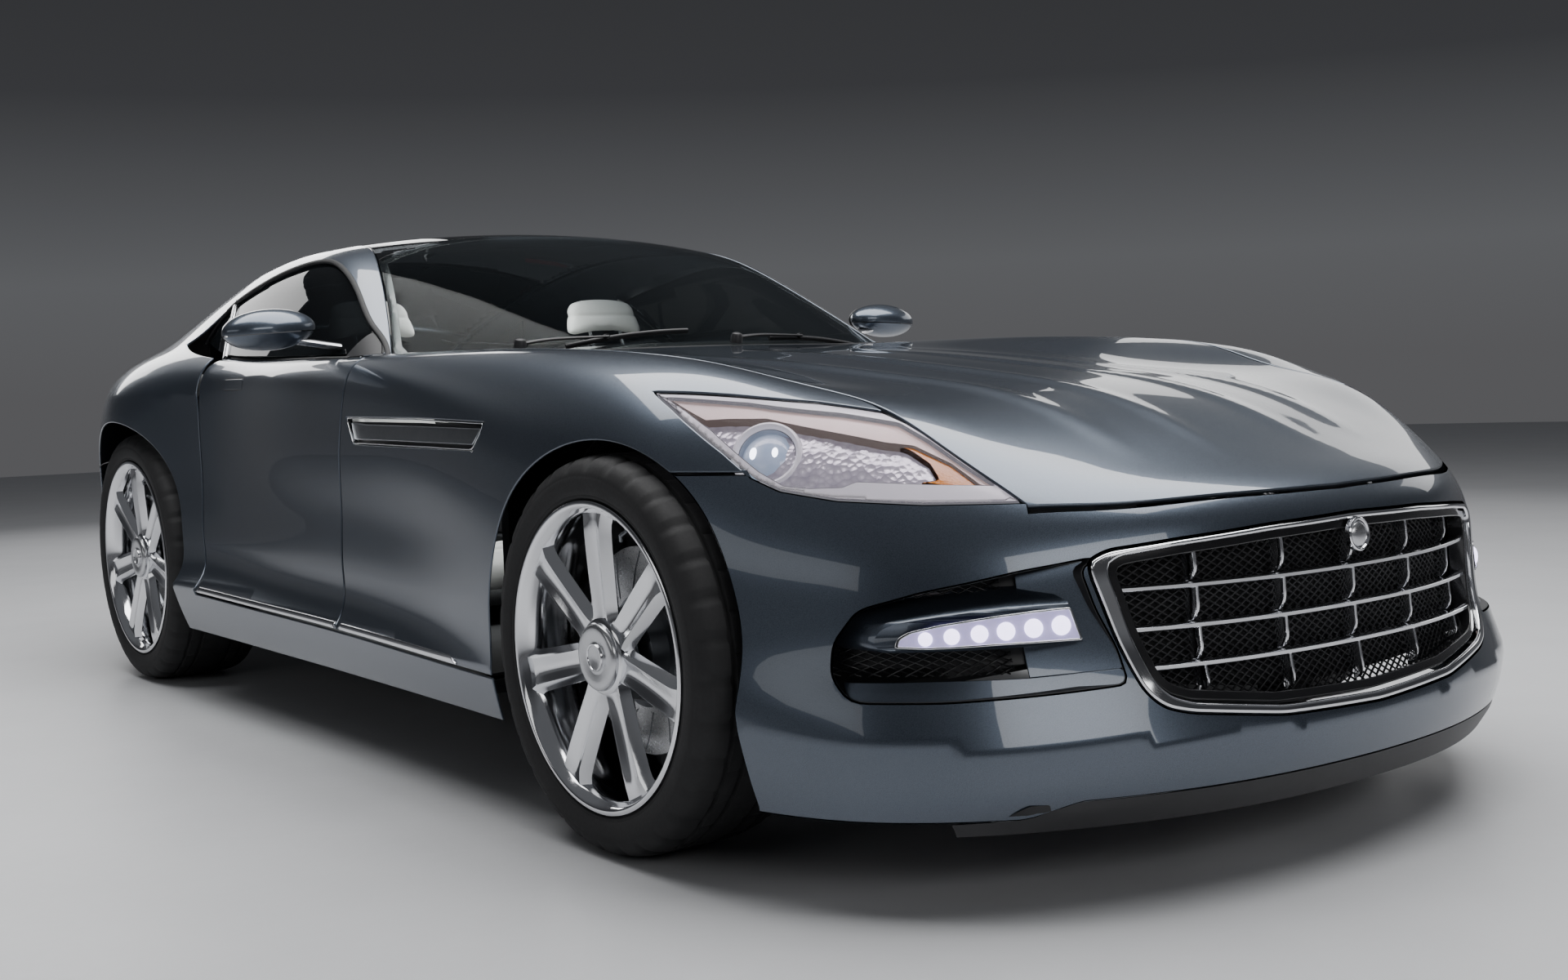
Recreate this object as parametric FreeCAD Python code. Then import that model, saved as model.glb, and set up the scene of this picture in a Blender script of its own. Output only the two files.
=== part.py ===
import FreeCAD, Part
import math, os
from FreeCAD import Vector as V

# Coupe car. Metres below, written out in millimetres. +Z up, front at -Y,
# the car's left side at +X, origin on the ground under the middle of the car.

# ---- driving dimensions
LENGTH = 4.37
GAP = .006            # shutline between panels
TYRE_R_F, TYRE_R_R = .338, .348
TYRE_W_F, TYRE_W_R = .240, .262
WHEEL_X_F, WHEEL_X_R = .908, .886     # outer face of the tyre, |x|
RIM_R_F, RIM_R_R = .262, .270         # rim flange radius
ARCH_R_F, ARCH_R_R = .362, .382
KING_X = .745                         # steering axis, |x|
T_DOOR, T_SIDE, T_WING, T_HOOD, T_LID, T_BUMPER = .070, .030, .012, .024, .028, .014
T_GLASS = .0055
Z_SILL = .178                         # lower edge of the sill
DOOR_AX, DOOR_AY = .828, -.122        # door hinge axis, |x| and y
HOOD_HY, HOOD_HZ = -.296, .876        # hood hinge axis
LID_HY, LID_HZ = 1.728, .994          # boot lid hinge axis
SEAT_X = .40
WHEEL_C = (.37, -.075, .690)          # steering wheel centre
WHEEL_TILT = math.radians(22)

# ---- body surface: tables of the plan shape at each height, the top and the roof
YF, YR = -1.29, 1.22          # axles
RSC = .965/1.0025
# centreline and belt data
ZC_CREASE = [(-3.0, .235), (-2.3, .245), (-1.6, .262), (-1.29, .268), (-.8, .275), (-.2, .287), (.3, .293), (.7, .300), (1.22, .305), (1.8, .31), (2.6, .32), (3.4, .32)]
# z above the crease -> plan curve [(|x|, y)] from the front centre to the rear centre
LEVELS = [-.15, -.08, 0.0, .03, .12, .24, .37, .50, .62]
PLAN = {
 -.15: [(0, -2.130), (.30, -2.100), (.55, -2.010), (.68, -1.935), (.775, -1.845), (.835, -1.72), (.868, -1.55), (.875, -1.29), (.862, -.95), (.852, -.6), (.848, -.2), (.848, .25), (.850, .66), (.858, .95), (.868, 1.22), (.852, 1.40), (.815, 1.57), (.755, 1.74), (.66, 1.91), (.50, 2.05), (.28, 2.13), (0, 2.155)],
 -.08: [(0, -2.165), (.30, -2.137), (.56, -2.045), (.70, -1.950), (.80, -1.835), (.855, -1.70), (.888, -1.52), (.893, -1.29), (.885, -.95), (.878, -.6), (.873, -.2), (.873, .25), (.877, .66), (.885, .95), (.895, 1.22), (.878, 1.40), (.840, 1.57), (.778, 1.75), (.68, 1.925), (.52, 2.075), (.29, 2.165), (0, 2.19)],
 0.0: [(0, -2.185), (.30, -2.155), (.56, -2.062), (.71, -1.955), (.81, -1.835), (.866, -1.69), (.900, -1.51), (.907, -1.29), (.905, -.95), (.899, -.6), (.893, -.2), (.893, .25), (.900, .66), (.908, .95), (.915, 1.22), (.897, 1.40), (.856, 1.57), (.792, 1.75), (.69, 1.93), (.53, 2.085), (.30, 2.18), (0, 2.21)],
 .03: [(0, -2.172), (.30, -2.142), (.56, -2.050), (.71, -1.942), (.81, -1.822), (.866, -1.68), (.902, -1.50), (.911, -1.29), (.903, -.95), (.886, -.6), (.874, -.2), (.869, .25), (.872, .66), (.895, .95), (.918, 1.22), (.900, 1.40), (.858, 1.57), (.795, 1.75), (.692, 1.93), (.53, 2.09), (.30, 2.185), (0, 2.215)],
 .12: [(0, -2.150), (.30, -2.118), (.57, -2.010), (.71, -1.900), (.80, -1.780), (.862, -1.63), (.903, -1.46), (.915, -1.29), (.904, -.95), (.876, -.6), (.860, -.2), (.850, .25), (.848, .66), (.884, .95), (.924, 1.22), (.905, 1.40), (.862, 1.57), (.799, 1.75), (.698, 1.93), (.54, 2.095), (.31, 2.19), (0, 2.2225)],
 .24: [(0, -2.143), (.30, -2.108), (.57, -1.990), (.70, -1.880), (.785, -1.765), (.848, -1.62), (.897, -1.45), (.913, -1.29), (.905, -.95), (.872, -.6), (.855, -.2), (.840, .25), (.828, .66), (.872, .95), (.930, 1.22), (.910, 1.40), (.864, 1.57), (.800, 1.75), (.70, 1.93), (.545, 2.09), (.31, 2.185), (0, 2.215)],
 .37: [(0, -2.130), (.30, -2.092), (.56, -1.965), (.67, -1.865), (.755, -1.745), (.825, -1.595), (.884, -1.44), (.904, -1.29), (.902, -.95), (.876, -.6), (.858, -.2), (.838, .25), (.812, .66), (.862, .95), (.929, 1.22), (.908, 1.40), (.861, 1.57), (.796, 1.75), (.70, 1.92), (.54, 2.075), (.31, 2.165), (0, 2.20)],
 .50: [(0, -2.110), (.30, -2.070), (.545, -1.940), (.65, -1.835), (.73, -1.715), (.802, -1.57), (.865, -1.42), (.888, -1.29), (.885, -.95), (.866, -.6), (.850, -.2), (.830, .25), (.800, .66), (.850, .95), (.916, 1.22), (.893, 1.40), (.846, 1.57), (.782, 1.75), (.69, 1.91), (.53, 2.065), (.31, 2.16), (0, 2.195)],
 .62: [(0, -2.085), (.30, -2.045), (.53, -1.915), (.63, -1.805), (.705, -1.69), (.78, -1.55), (.845, -1.41), (.868, -1.29), (.862, -.95), (.845, -.6), (.830, -.2), (.812, .25), (.785, .66), (.832, .95), (.893, 1.22), (.870, 1.40), (.825, 1.57), (.762, 1.75), (.67, 1.91), (.52, 2.07), (.30, 2.17), (0, 2.21)],
}
TX = [0, .15, .30, .45, .60, .72, .82, .95]
TOP = [  # y, z at TX
 (-2.40, [.440, .436, .415, .37, .30, .22, .13, .00]),
 (-2.30, [.497, .493, .475, .43, .36, .28, .19, .05]),
 (-2.12, [.588, .585, .573, .538, .475, .395, .305, .17]),
 (-1.97, [.652, .650, .640, .620, .573, .505, .430, .31]),
 (-1.85, [.703, .701, .694, .682, .658, .603, .535, .42]),
 (-1.74, [.738, .736, .731, .726, .723, .692, .630, .52]),
 (-1.60, [.766, .764, .760, .757, .763, .757, .715, .62]),
 (-1.45, [.785, .783, .778, .775, .790, .802, .772, .69]),
 (-1.25, [.807, .805, .800, .799, .822, .836, .812, .74]),
 (-1.00, [.831, .829, .824, .824, .843, .856, .838, .77]),
 (-.70, [.853, .851, .848, .848, .858, .867, .856, .80]),
 (-.40, [.872, .871, .868, .866, .868, .871, .866, .82]),
 (0.00, [.885, .884, .882, .880, .877, .875, .868, .83]),
 (.40, [.893, .892, .890, .888, .885, .880, .870, .83]),
 (.80, [.910, .909, .907, .905, .900, .893, .880, .83]),
 (1.20, [.928, .927, .925, .922, .915, .905, .888, .83]),
 (1.50, [.930, .929, .926, .921, .908, .892, .868, .80]),
 (1.80, [.920, .919, .914, .904, .882, .856, .820, .74]),
 (2.00, [.905, .904, .897, .880, .848, .812, .765, .66]),
 (2.15, [.886, .884, .874, .848, .805, .755, .695, .58]),
 (2.30, [.850, .846, .830, .792, .735, .670, .600, .48]),
 (2.40, [.810, .804, .782, .735, .665, .590, .510, .38])]
ZROOF = [(-.9, .60), (-.6, .775), (-.45, .862), (-.2, .992), (0, 1.087), (.2, 1.163), (.35, 1.193), (.5, 1.206), (.7, 1.217), (.9, 1.214), (1.1, 1.190), (1.3, 1.146), (1.5, 1.086), (1.7, 1.018), (1.9, .950), (2.1, .880), (2.4, .77)]
XGLASS = [(-.9, .70), (-.3, .765), (0, .777), (.3, .777), (.6, .766), (.9, .738), (1.2, .695), (1.5, .640), (1.8, .57), (2.1, .49), (2.5, .36)]
K1 = [(-3.2, .10), (-2.6, .10), (-2.1, .12), (-1.7, .22), (-1.29, .24), (-.7, .17), (-.2, .10), (.4, .08), (.8, .12), (1.22, .20), (1.6, .20), (2.2, .12), (3.0, .09), (3.6, .09)]
K2 = [(-1.5, .015), (-.3, .015), (.5, .02), (.8, .10), (1.2, .26), (1.6, .26), (2.0, .12), (2.5, .08)]

class Spline:
    """Natural cubic spline through (t, value) pairs."""
    def __init__(s, pts):
        s.t = [p[0] for p in pts]; s.v = [p[1] for p in pts]
        n = len(pts); a = [0]*n; b = [1.0]*n; c = [0]*n; d = [0.0]*n
        for i in range(1, n-1):
            h0, h1 = s.t[i]-s.t[i-1], s.t[i+1]-s.t[i]
            a[i], b[i], c[i] = h0, 2*(h0+h1), h1
            d[i] = 6*((s.v[i+1]-s.v[i])/h1-(s.v[i]-s.v[i-1])/h0)
        for i in range(1, n):
            w = a[i]/b[i-1]; b[i] -= w*c[i-1]; d[i] -= w*d[i-1]
        m = [0.0]*n
        m[n-1] = 0.0
        for i in range(n-2, -1, -1):
            m[i] = (d[i]-c[i]*m[i+1])/b[i]
        s.m = m
    def __call__(s, x):
        t, v, m = s.t, s.v, s.m
        n = len(t)
        if x <= t[0]: 
            h = t[1]-t[0]; k = (v[1]-v[0])/h-h*m[1]/6-h*m[0]/3
            return v[0]+k*(x-t[0])
        if x >= t[-1]:
            h = t[-1]-t[-2]; k = (v[-1]-v[-2])/h+h*m[-2]/6+h*m[-1]/3
            return v[-1]+k*(x-t[-1])
        lo, hi = 0, n-1
        while hi-lo > 1:
            q = (lo+hi)//2
            if t[q] > x: hi = q
            else: lo = q
        h = t[hi]-t[lo]; A = (t[hi]-x)/h; B = 1-A
        return A*v[lo]+B*v[hi]+((A**3-A)*m[lo]+(B**3-B)*m[hi])*h*h/6

def plan_curve(pts, n=420):
    """Dense C2 curve through plan points, mirror-symmetric at both ends."""
    pts = [(x, y if y < YR else YR+(y-YR)*RSC) for x, y in pts]
    ext = [(-pts[2][0], pts[2][1]), (-pts[1][0], pts[1][1])]+list(pts)+[(-pts[-2][0], pts[-2][1]), (-pts[-3][0], pts[-3][1])]
    t = [0.0]
    for i in range(1, len(ext)):
        t.append(t[-1]+math.hypot(ext[i][0]-ext[i-1][0], ext[i][1]-ext[i-1][1])**.75)
    sx = Spline([(a, p[0]) for a, p in zip(t, ext)]); sy = Spline([(a, p[1]) for a, p in zip(t, ext)])
    t0, t1 = t[2], t[-3]
    return [(sx(t0+(t1-t0)*i/n), sy(t0+(t1-t0)*i/n)) for i in range(n+1)]

KF, KR = .90, .93
S0, S1 = YF-KF*math.pi/2, YR+KR*math.pi/2   # s at the front and rear centre
def sr(x, y):
    """(s, rho): position along the belt and distance from its spine."""
    ax = abs(x)
    if y < YF:
        a = math.atan2(ax, YF-y)           # 0 straight ahead
        return YF-KF*(math.pi/2-a), math.hypot(ax, YF-y)
    if y > YR:
        a = math.atan2(ax, y-YR)
        return YR+KR*(math.pi/2-a), math.hypot(ax, y-YR)
    return y, ax
def plan_dir(s):
    """Base point and outward unit direction in plan at s, for the x<0 side."""
    if s < YF:
        a = math.pi/2-(YF-s)/KF
        return (0.0, YF), (-math.sin(a), -math.cos(a))
    if s > YR:
        a = math.pi/2-(s-YR)/KR
        return (0.0, YR), (-math.sin(a), math.cos(a))
    return (0.0, s), (-1.0, 0.0)

NS = 300
DS = (S1-S0)/NS
ZLO, ZHI, DZ = -.20, .80, .02
def build_side():
    rows = []
    for lv in LEVELS:
        c = plan_curve(PLAN[lv])
        sv = [sr(-abs(x), y) for x, y in c]
        out = []; j = 0
        for i in range(NS+1):
            s = S0+DS*i
            while j < len(sv)-2 and sv[j+1][0] < s: j += 1
            a, b = sv[j], sv[j+1]
            f = (s-a[0])/(b[0]-a[0]) if b[0] != a[0] else 0
            out.append(a[1]+(b[1]-a[1])*f)
        rows.append(out)
    lo_t, up_t = [], []
    ic = LEVELS.index(0.0)
    nz = int(round((ZHI-ZLO)/DZ))
    for i in range(NS+1):
        lo = Spline([(LEVELS[k], rows[k][i]) for k in range(ic+1)])
        up = Spline([(LEVELS[k], rows[k][i]) for k in range(ic, len(LEVELS))])
        lo_t.append([lo(ZLO+DZ*k) for k in range(nz+1)])
        up_t.append([up(ZLO+DZ*k) for k in range(nz+1)])
    return lo_t, up_t
def build_top():
    """z on a dense (x, y) grid; x mirrored about 0."""
    ext = [-x for x in TX[:0:-1]]+TX
    ny, nx = 120, 48
    y0, y1 = -2.40, 2.40
    cols = [Spline([(r[0], r[1][k]) for r in TOP]) for k in range(len(TX))]
    g = []
    for i in range(ny+1):
        y = y0+(y1-y0)*i/ny
        v = [c(y) for c in cols]
        sp = Spline(list(zip(ext, v[:0:-1]+v)))
        g.append([sp(.96*k/nx) for k in range(nx+1)])
    return g, (y0, (y1-y0)/ny, .96/nx)
SIDE_LO, SIDE_UP = build_side()
TOPG, TOPP = build_top()
S_CREASE, S_ROOF, S_GLASS, S_K1, S_K2 = Spline(ZC_CREASE), Spline(ZROOF), Spline(XGLASS), Spline(K1), Spline(K2)

def _cr(p0, p1, p2, p3, f):
    return p1+.5*f*(p2-p0+f*(2*p0-5*p1+4*p2-p3+f*(3*(p1-p2)+p3-p0)))
def _bi(g, a, b):
    n, m = len(g)-1, len(g[0])-1
    a = min(max(a, 0.0), n-1e-9); b = min(max(b, 0.0), m-1e-9)
    i, j = int(a), int(b); fa, fb = a-i, b-j
    q = []
    for k in (-1, 0, 1, 2):
        r = g[min(max(i+k, 0), n)]
        q.append(_cr(r[max(j-1, 0)], r[j], r[min(j+1, m)], r[min(j+2, m)], fb))
    return _cr(q[0], q[1], q[2], q[3], fa)
def side_r(s, z):
    d = z-S_CREASE(s)
    return _bi(SIDE_LO if d < 0 else SIDE_UP, (s-S0)/DS, (d-ZLO)/DZ)
def top_z(x, y):
    return _bi(TOPG, (y-TOPP[0])/TOPP[1], abs(x)/TOPP[2])
def smax(a, b, k):
    h = max(k-abs(a-b), 0.0)/k
    return max(a, b)+h*h*h*k/6
def f_lower(x, y, z):
    s, r = sr(x, y)
    return smax(r-side_r(s, z), z-top_z(x, y), S_K1(s))
def roof_z(x, y):
    w = min(max((.9-y)/.9, 0.0), 1.0); w = w*w*(3-2*w)
    return S_ROOF(y-(.42*w-.10*(1-w))*x*x)-(.06+.16*(1-w))*x*x
def f_house(x, y, z):
    g = S_GLASS(y)-.50*(z-.87) if z > .80 else S_GLASS(y)+.035-.9*(.80-z)
    return smax(smax(z-roof_z(x, y), (abs(x)-g)*.894, .13), y-2.04, .10)
def f_cabin(x, y, z):
    """Greenhouse alone, its sides carried straight down."""
    return smax(z-roof_z(x, y), (abs(x)-(S_GLASS(y)-.50*(z-.87)))*.894, .13)
def f_body(x, y, z):
    s, r = sr(x, y)
    a = smax(r-side_r(s, z), z-top_z(x, y), S_K1(s))
    b = f_house(x, y, z)
    return -smax(-a, -b, S_K2(y))
def cast(o, d, f=f_body, t0=.05, t1=1.6, n=34):
    """First root of f along the ray, by bracketed secant steps."""
    a, b = t0, t1
    fa = f(o[0]+d[0]*a, o[1]+d[1]*a, o[2]+d[2]*a)
    fb = f(o[0]+d[0]*b, o[1]+d[1]*b, o[2]+d[2]*b)
    side = 0
    for k in range(n):
        m = .5*(a+b) if k < 3 or fa*fb >= 0 else (fa*b-fb*a)/(fa-fb)
        fm = f(o[0]+d[0]*m, o[1]+d[1]*m, o[2]+d[2]*m)
        if abs(fm) < 2e-7 or b-a < 1e-7: break
        if fm < 0:
            a, fa = m, fm
            if side == -1: fb *= .5
            side = -1
        else:
            b, fb = m, fm
            if side == 1: fa *= .5
            side = 1
    return (o[0]+d[0]*m, o[1]+d[1]*m, o[2]+d[2]*m)
R0, Z0 = .35, .45
def at_sa(s, a, f=f_body):
    """Point of the body at belt position s and elevation angle a (radians) about the spine, on the x<0 side."""
    (bx, by), (dx, dy) = plan_dir(s)
    return cast((bx+dx*R0, by+dy*R0, Z0), (dx*math.cos(a), dy*math.cos(a), math.sin(a)), f)
def sa_of(x, y, z):
    s, r = sr(x, y)
    return s, math.atan2(z-Z0, r-R0)
def x_at(y, z, f=f_body):
    return cast((0.0, y, z), (-1.0, 0, 0), f, .02, 1.2)
def z_at(x, y, f=f_body):
    return cast((x, y, .3), (0, 0, 1.0), f, .02, 1.3)


# ---- shutlines, (y, z) seen from the side, (x, y) seen from above
DOOR_FRONT = [(-.218, .90), (-.214, .86), (-.200, .74), (-.183, .64), (-.175, .54), (-.176, .42), (-.188, .34), (-.203, .2805)]
DOOR_REAR = [(.676, .2905), (.694, .34), (.722, .43), (.754, .54), (.782, .65), (.800, .76), (.808, .84), (.812, .90)]
HOOD_SIDE = [(.715, -.322), (.722, -.46), (.724, -.70), (.720, -.95), (.709, -1.12), (.686, -1.27), (.655, -1.37), (.625, -1.46), (.605, -1.55), (.598, -1.65), (.595, -1.75), (.576, -1.86), (.544, -1.954)]
HOOD_FRONT = [(.544, -1.954), (.44, -2.014), (.30, -2.065), (.15, -2.092), (0, -2.100)]
LAMP = [(-.808, -1.366, .776), (-.777, -1.44, .771), (-.745, -1.507, .766), (-.669, -1.619, .752), (-.608, -1.705, .734), (-.597, -1.75, .716), (-.577, -1.85, .668), (-.545, -1.949, .597),
        (-.661, -1.853, .599), (-.742, -1.752, .607), (-.784, -1.666, .622), (-.798, -1.614, .642), (-.807, -1.553, .680), (-.814, -1.488, .716), (-.812, -1.425, .748)]
LAMP_DIR = (-.70, -.60, .387)
GRILLE = [(0, .546), (.20, .541), (.36, .531), (.470, .521), (.497, .508), (.497, .488), (.470, .39), (.446, .318), (.424, .294), (.385, .283), (.22, .262), (0, .255)]
FOG = [(-.489, .513), (-.586, .498), (-.70, .471), (-.762, .447), (-.788, .40), (-.800, .351), (-.794, .318), (-.70, .318), (-.58, .324), (-.468, .330), (-.474, .38), (-.498, .44), (-.512, .497)]
VENT = [(-.232, .738), (-.60, .736), (-.912, .729), (-.904, .705), (-.881, .677), (-.60, .679), (-.27, .681)]
DLO = [(-.150, .872), (-.115, .895), (-.02, .945), (.13, 1.030), (.262, 1.092), (.33, 1.112), (.446, 1.121), (.587, 1.113), (.744, 1.092), (.934, 1.060), (1.031, 1.036), (1.10, 1.003), (1.150, .962), (1.165, .945)]
BELT = [(-.24, .866), (0, .872), (.3, .877), (.6, .885), (.83, .896), (1.0, .915), (1.165, .942)]
PILLAR_IN = [(.742, -.23), (.70, -.14), (.655, -.035), (.605, .09), (.556, .225), (.525, .32), (.505, .41), (.490, .52), (.480, .70), (.474, .90), (.466, 1.15), (.458, 1.45), (.452, 1.70), (.452, 1.742)]
BLADE = [(.845, .80), (.845, .893), (1.012, 1.048), (1.10, 1.13)]
TAIL = [(-.800, .800), (-.70, .812), (-.56, .815), (-.545, .760), (-.66, .745), (-.80, .742)]
Z_JOINT_F, Z_JOINT_R = .647, .600

S_BELT = Spline(BELT)

# ---- building tools
def mm(p):
    return V(p[0]*1000, p[1]*1000, p[2]*1000)

def solid_from_faces(faces):
    sh = Part.makeShell(faces)
    sh.sewShape()
    sh = Part.Shell(sh.Faces)
    s = Part.Solid(sh)
    if s.Volume < 0:
        s.reverse()
    if not s.isValid():
        s.fix(.01, .01, .05)
    return s

def surf(grid):
    b = Part.BSplineSurface()
    b.interpolate([[mm(p) for p in r] for r in grid])
    return b

def thick(outer, inner):
    """Closed solid between two grids of the same size."""
    a, b = surf(outer), surf(inner)
    fs = [a.toShape(), b.toShape()]
    u0, u1, v0, v1 = a.bounds()
    p0, p1, q0, q1 = b.bounds()
    for ca, cb in ((a.uIso(u0), b.uIso(p0)), (a.uIso(u1), b.uIso(p1)), (a.vIso(v0), b.vIso(q0)), (a.vIso(v1), b.vIso(q1))):
        fs.append(Part.makeRuledSurface(ca.toShape(), cb.toShape()))
    return solid_from_faces(fs)

def lin(a, b, n):
    return [a+(b-a)*i/(n-1) for i in range(n)]

def ray_pair(o, d, t, f=f_body, tmax=1.6):
    p = cast(o, d, f, .03, tmax)
    e = 1e-4
    g = (f(p[0]+e, p[1], p[2])-f(p[0]-e, p[1], p[2]), f(p[0], p[1]+e, p[2])-f(p[0], p[1]-e, p[2]), f(p[0], p[1], p[2]+e)-f(p[0], p[1], p[2]-e))
    n = math.sqrt(g[0]**2+g[1]**2+g[2]**2) or 1
    c = abs(g[0]*d[0]+g[1]*d[1]+g[2]*d[2])/n
    k = t/max(c, .45)
    return p, (p[0]-d[0]*k, p[1]-d[1]*k, p[2]-d[2]*k)

def belt_sheet(ss, aa, t, both=False, f=f_body):
    """Sheet along the belt. ss may pass a centreline: then the far half is mirrored."""
    go, gi = [], []
    for s in ss:
        far = s < S0 or s > S1
        q = 2*S0-s if s < S0 else (2*S1-s if s > S1 else s)
        (bx, by), (dx, dy) = plan_dir(q)
        ro, ri = [], []
        for a in aa:
            p, i = ray_pair((bx+dx*R0, by+dy*R0, Z0), (dx*math.cos(a), dy*math.cos(a), math.sin(a)), t, f)
            if far:
                p, i = (-p[0], p[1], p[2]), (-i[0], i[1], i[2])
            ro.append(p); ri.append(i)
        go.append(ro); gi.append(ri)
    return thick(go, gi)

def top_sheet(xs, ys, t, f=f_body, below=None):
    """Sheet over a grid in plan; ys may be a function of x, below gives each ray's start height."""
    go, gi = [], []
    for x in xs:
        ro, ri = [], []
        for y in (ys(x) if callable(ys) else ys):
            p, i = ray_pair((x, y, below(x, y) if below else .25), (0, 0, 1.0), t, f)
            ro.append(p); ri.append(i)
        go.append(ro); gi.append(ri)
    return thick(go, gi)

def side_sheet(ys, angs, t, f=f_cabin):
    """Sheet of the cabin's right side; rays fan from a line inside it."""
    go, gi = [], []
    for y in ys:
        ro, ri = [], []
        for a in angs:
            p, i = ray_pair((-.25, y, .60), (-math.cos(a), 0, math.sin(a)), t, f)
            ro.append(p); ri.append(i)
        go.append(ro); gi.append(ri)
    return thick(go, gi)

def offset2(pts, d):
    """Closed polygon moved outward by d (inward when negative)."""
    n = len(pts)
    area = sum(pts[i][0]*pts[(i+1) % n][1]-pts[(i+1) % n][0]*pts[i][1] for i in range(n))
    sg = 1 if area > 0 else -1
    out = []
    for i in range(n):
        p, q, r = pts[i-1], pts[i], pts[(i+1) % n]
        e1 = (q[0]-p[0], q[1]-p[1]); e2 = (r[0]-q[0], r[1]-q[1])
        l1, l2 = math.hypot(*e1), math.hypot(*e2)
        n1 = (sg*e1[1]/l1, -sg*e1[0]/l1); n2 = (sg*e2[1]/l2, -sg*e2[0]/l2)
        b = (n1[0]+n2[0], n1[1]+n2[1]); lb = max(math.hypot(*b), .4)
        k = d/max((n1[0]*b[0]+n1[1]*b[1])/lb, .45)
        out.append((q[0]+b[0]/lb*k, q[1]+b[1]/lb*k))
    return out

def resample(pts, n):
    """n points evenly along a smooth open curve through pts."""
    t = [0.0]
    for i in range(1, len(pts)):
        t.append(t[-1]+math.dist(pts[i], pts[i-1]))
    sp = [Spline([(a, p[k]) for a, p in zip(t, pts)]) for k in range(len(pts[0]))]
    return [tuple(s(t[-1]*i/(n-1)) for s in sp) for i in range(n)]

def ruled(a, b):
    """Closed solid between two flat polygons, each pair of sides joined by its own ruled face."""
    fs = [Part.Face(Part.makePolygon([mm(p) for p in q]+[mm(q[0])])) for q in (a, b)]
    n = len(a)
    for i in range(n):
        j = (i+1) % n
        z = Part.BezierSurface()
        for u, v, p in ((1, 1, a[i]), (1, 2, a[j]), (2, 1, b[i]), (2, 2, b[j])):
            z.setPole(u, v, mm(p))
        fs.append(z.toShape())
    return solid_from_faces(fs)

def loop(a, b):
    return Part.makeLoft([Part.makePolygon([mm(p) for p in a]+[mm(a[0])]), Part.makePolygon([mm(p) for p in b]+[mm(b[0])])], True, True)

def prism(pts, axis, lo, hi, slant=None):
    """Prism of a polygon along x, y or z, from lo to hi. slant(i) gives each point's shift per metre along the axis, zero at the mid value."""
    def put(p, h):
        if slant:
            s = slant(p); m = slant.mid
            p = (p[0]+s[0]*(h-m), p[1]+s[1]*(h-m))
        return {'x': (h, p[0], p[1]), 'y': (p[0], h, p[1]), 'z': (p[0], p[1], h)}[axis]
    a, b = [put(p, lo) for p in pts], [put(p, hi) for p in pts]
    return ruled(a, b) if slant else loop(a, b)

def box(x0, x1, y0, y1, z0, z1):
    return Part.makeBox((x1-x0)*1000, (y1-y0)*1000, (z1-z0)*1000, V(x0*1000, y0*1000, z0*1000))

def cyl(r, p, q):
    a, b = mm(p), mm(q)
    return Part.makeCylinder(r*1000, (b-a).Length, a, b-a)

def bar(p, q, w, h):
    """Rectangular bar from p to q."""
    a, b = mm(p), mm(q)
    L = (b-a).Length
    s = Part.makeBox(w*1000, h*1000, L, V(-w*500, -h*500, 0))
    s.Placement = FreeCAD.Placement(a, FreeCAD.Rotation(V(0, 0, 1), b-a))
    return s

def fuse(parts):
    s = parts[0]
    for p in parts[1:]:
        s = s.fuse(p)
    return s.removeSplitter() if len(parts) > 1 else s

def biggest(s):
    return max(s.Solids, key=lambda q: q.Volume)

def mirror(s):
    return s.mirror(V(0, 0, 0), V(1, 0, 0))

def revolve(pts, c):
    """Solid of revolution about the X direction through c; pts are (|x| offset, radius)."""
    w = Part.makePolygon([V(p[0]*1000, 0, p[1]*1000) for p in pts]+[V(pts[0][0]*1000, 0, pts[0][1]*1000)])
    s = Part.Face(w).revolve(V(0, 0, 0), V(1, 0, 0), 360)
    s.translate(mm(c))
    return s

NODES = {}
def put(name, shape):
    sol = shape.Solids
    for q in sol:
        if q.Volume < 0:
            q.reverse()
    vol = sum(q.Volume for q in sol)
    sol = [q for q in sol if q.Volume > .003*vol]
    shape = sol[0] if len(sol) == 1 else Part.makeCompound(sol)
    ok = all(q.isValid() for q in sol)
    bb = shape.BoundBox
    print("%-22s solids %d valid %s vol %.2f L  x %.0f..%.0f y %.0f..%.0f z %.0f..%.0f" % (name, len(sol), ok, vol/1e6, bb.XMin, bb.XMax, bb.YMin, bb.YMax, bb.ZMin, bb.ZMax), flush=True)
    shape.exportStep("parts/"+name+".step")
    NODES[name] = shape
os.makedirs("parts", exist_ok=True)

# ---- wheel arch tools, right side
def arch(yc, zc, r, front):
    p = [(yc+r*math.cos(a), zc+r*math.sin(a)) for a in lin(-.12, math.pi+.12, 40)]
    if front:
        return [(yc+.372, -.1)]+p+[(yc-.43, -.1)]
    return [(yc+.40, -.1)]+p+[(yc-.39, -.1)]
ARCH_F = prism(arch(YF, .338, ARCH_R_F, True), 'x', -1.3, -.45)
ARCH_R = prism(arch(YR, .348, ARCH_R_R, False), 'x', -1.3, -.45)

def hood_outline(d):
    side = resample(HOOD_SIDE, 26)
    fr = resample(HOOD_FRONT, 14)[1:]
    rear = [(.7-.1*i, -.49+.168*((.7-.1*i)/.715)**2) for i in range(8)][::-1]
    poly = [(0, -.49)]+[(x, y) for x, y in rear[1:]]+side+fr+[(-x, y) for x, y in fr[:-1][::-1]]+[(-x, y) for x, y in side[::-1]]+[(-x, y) for x, y in rear[1:][::-1]]
    return offset2(poly, d)

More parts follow.
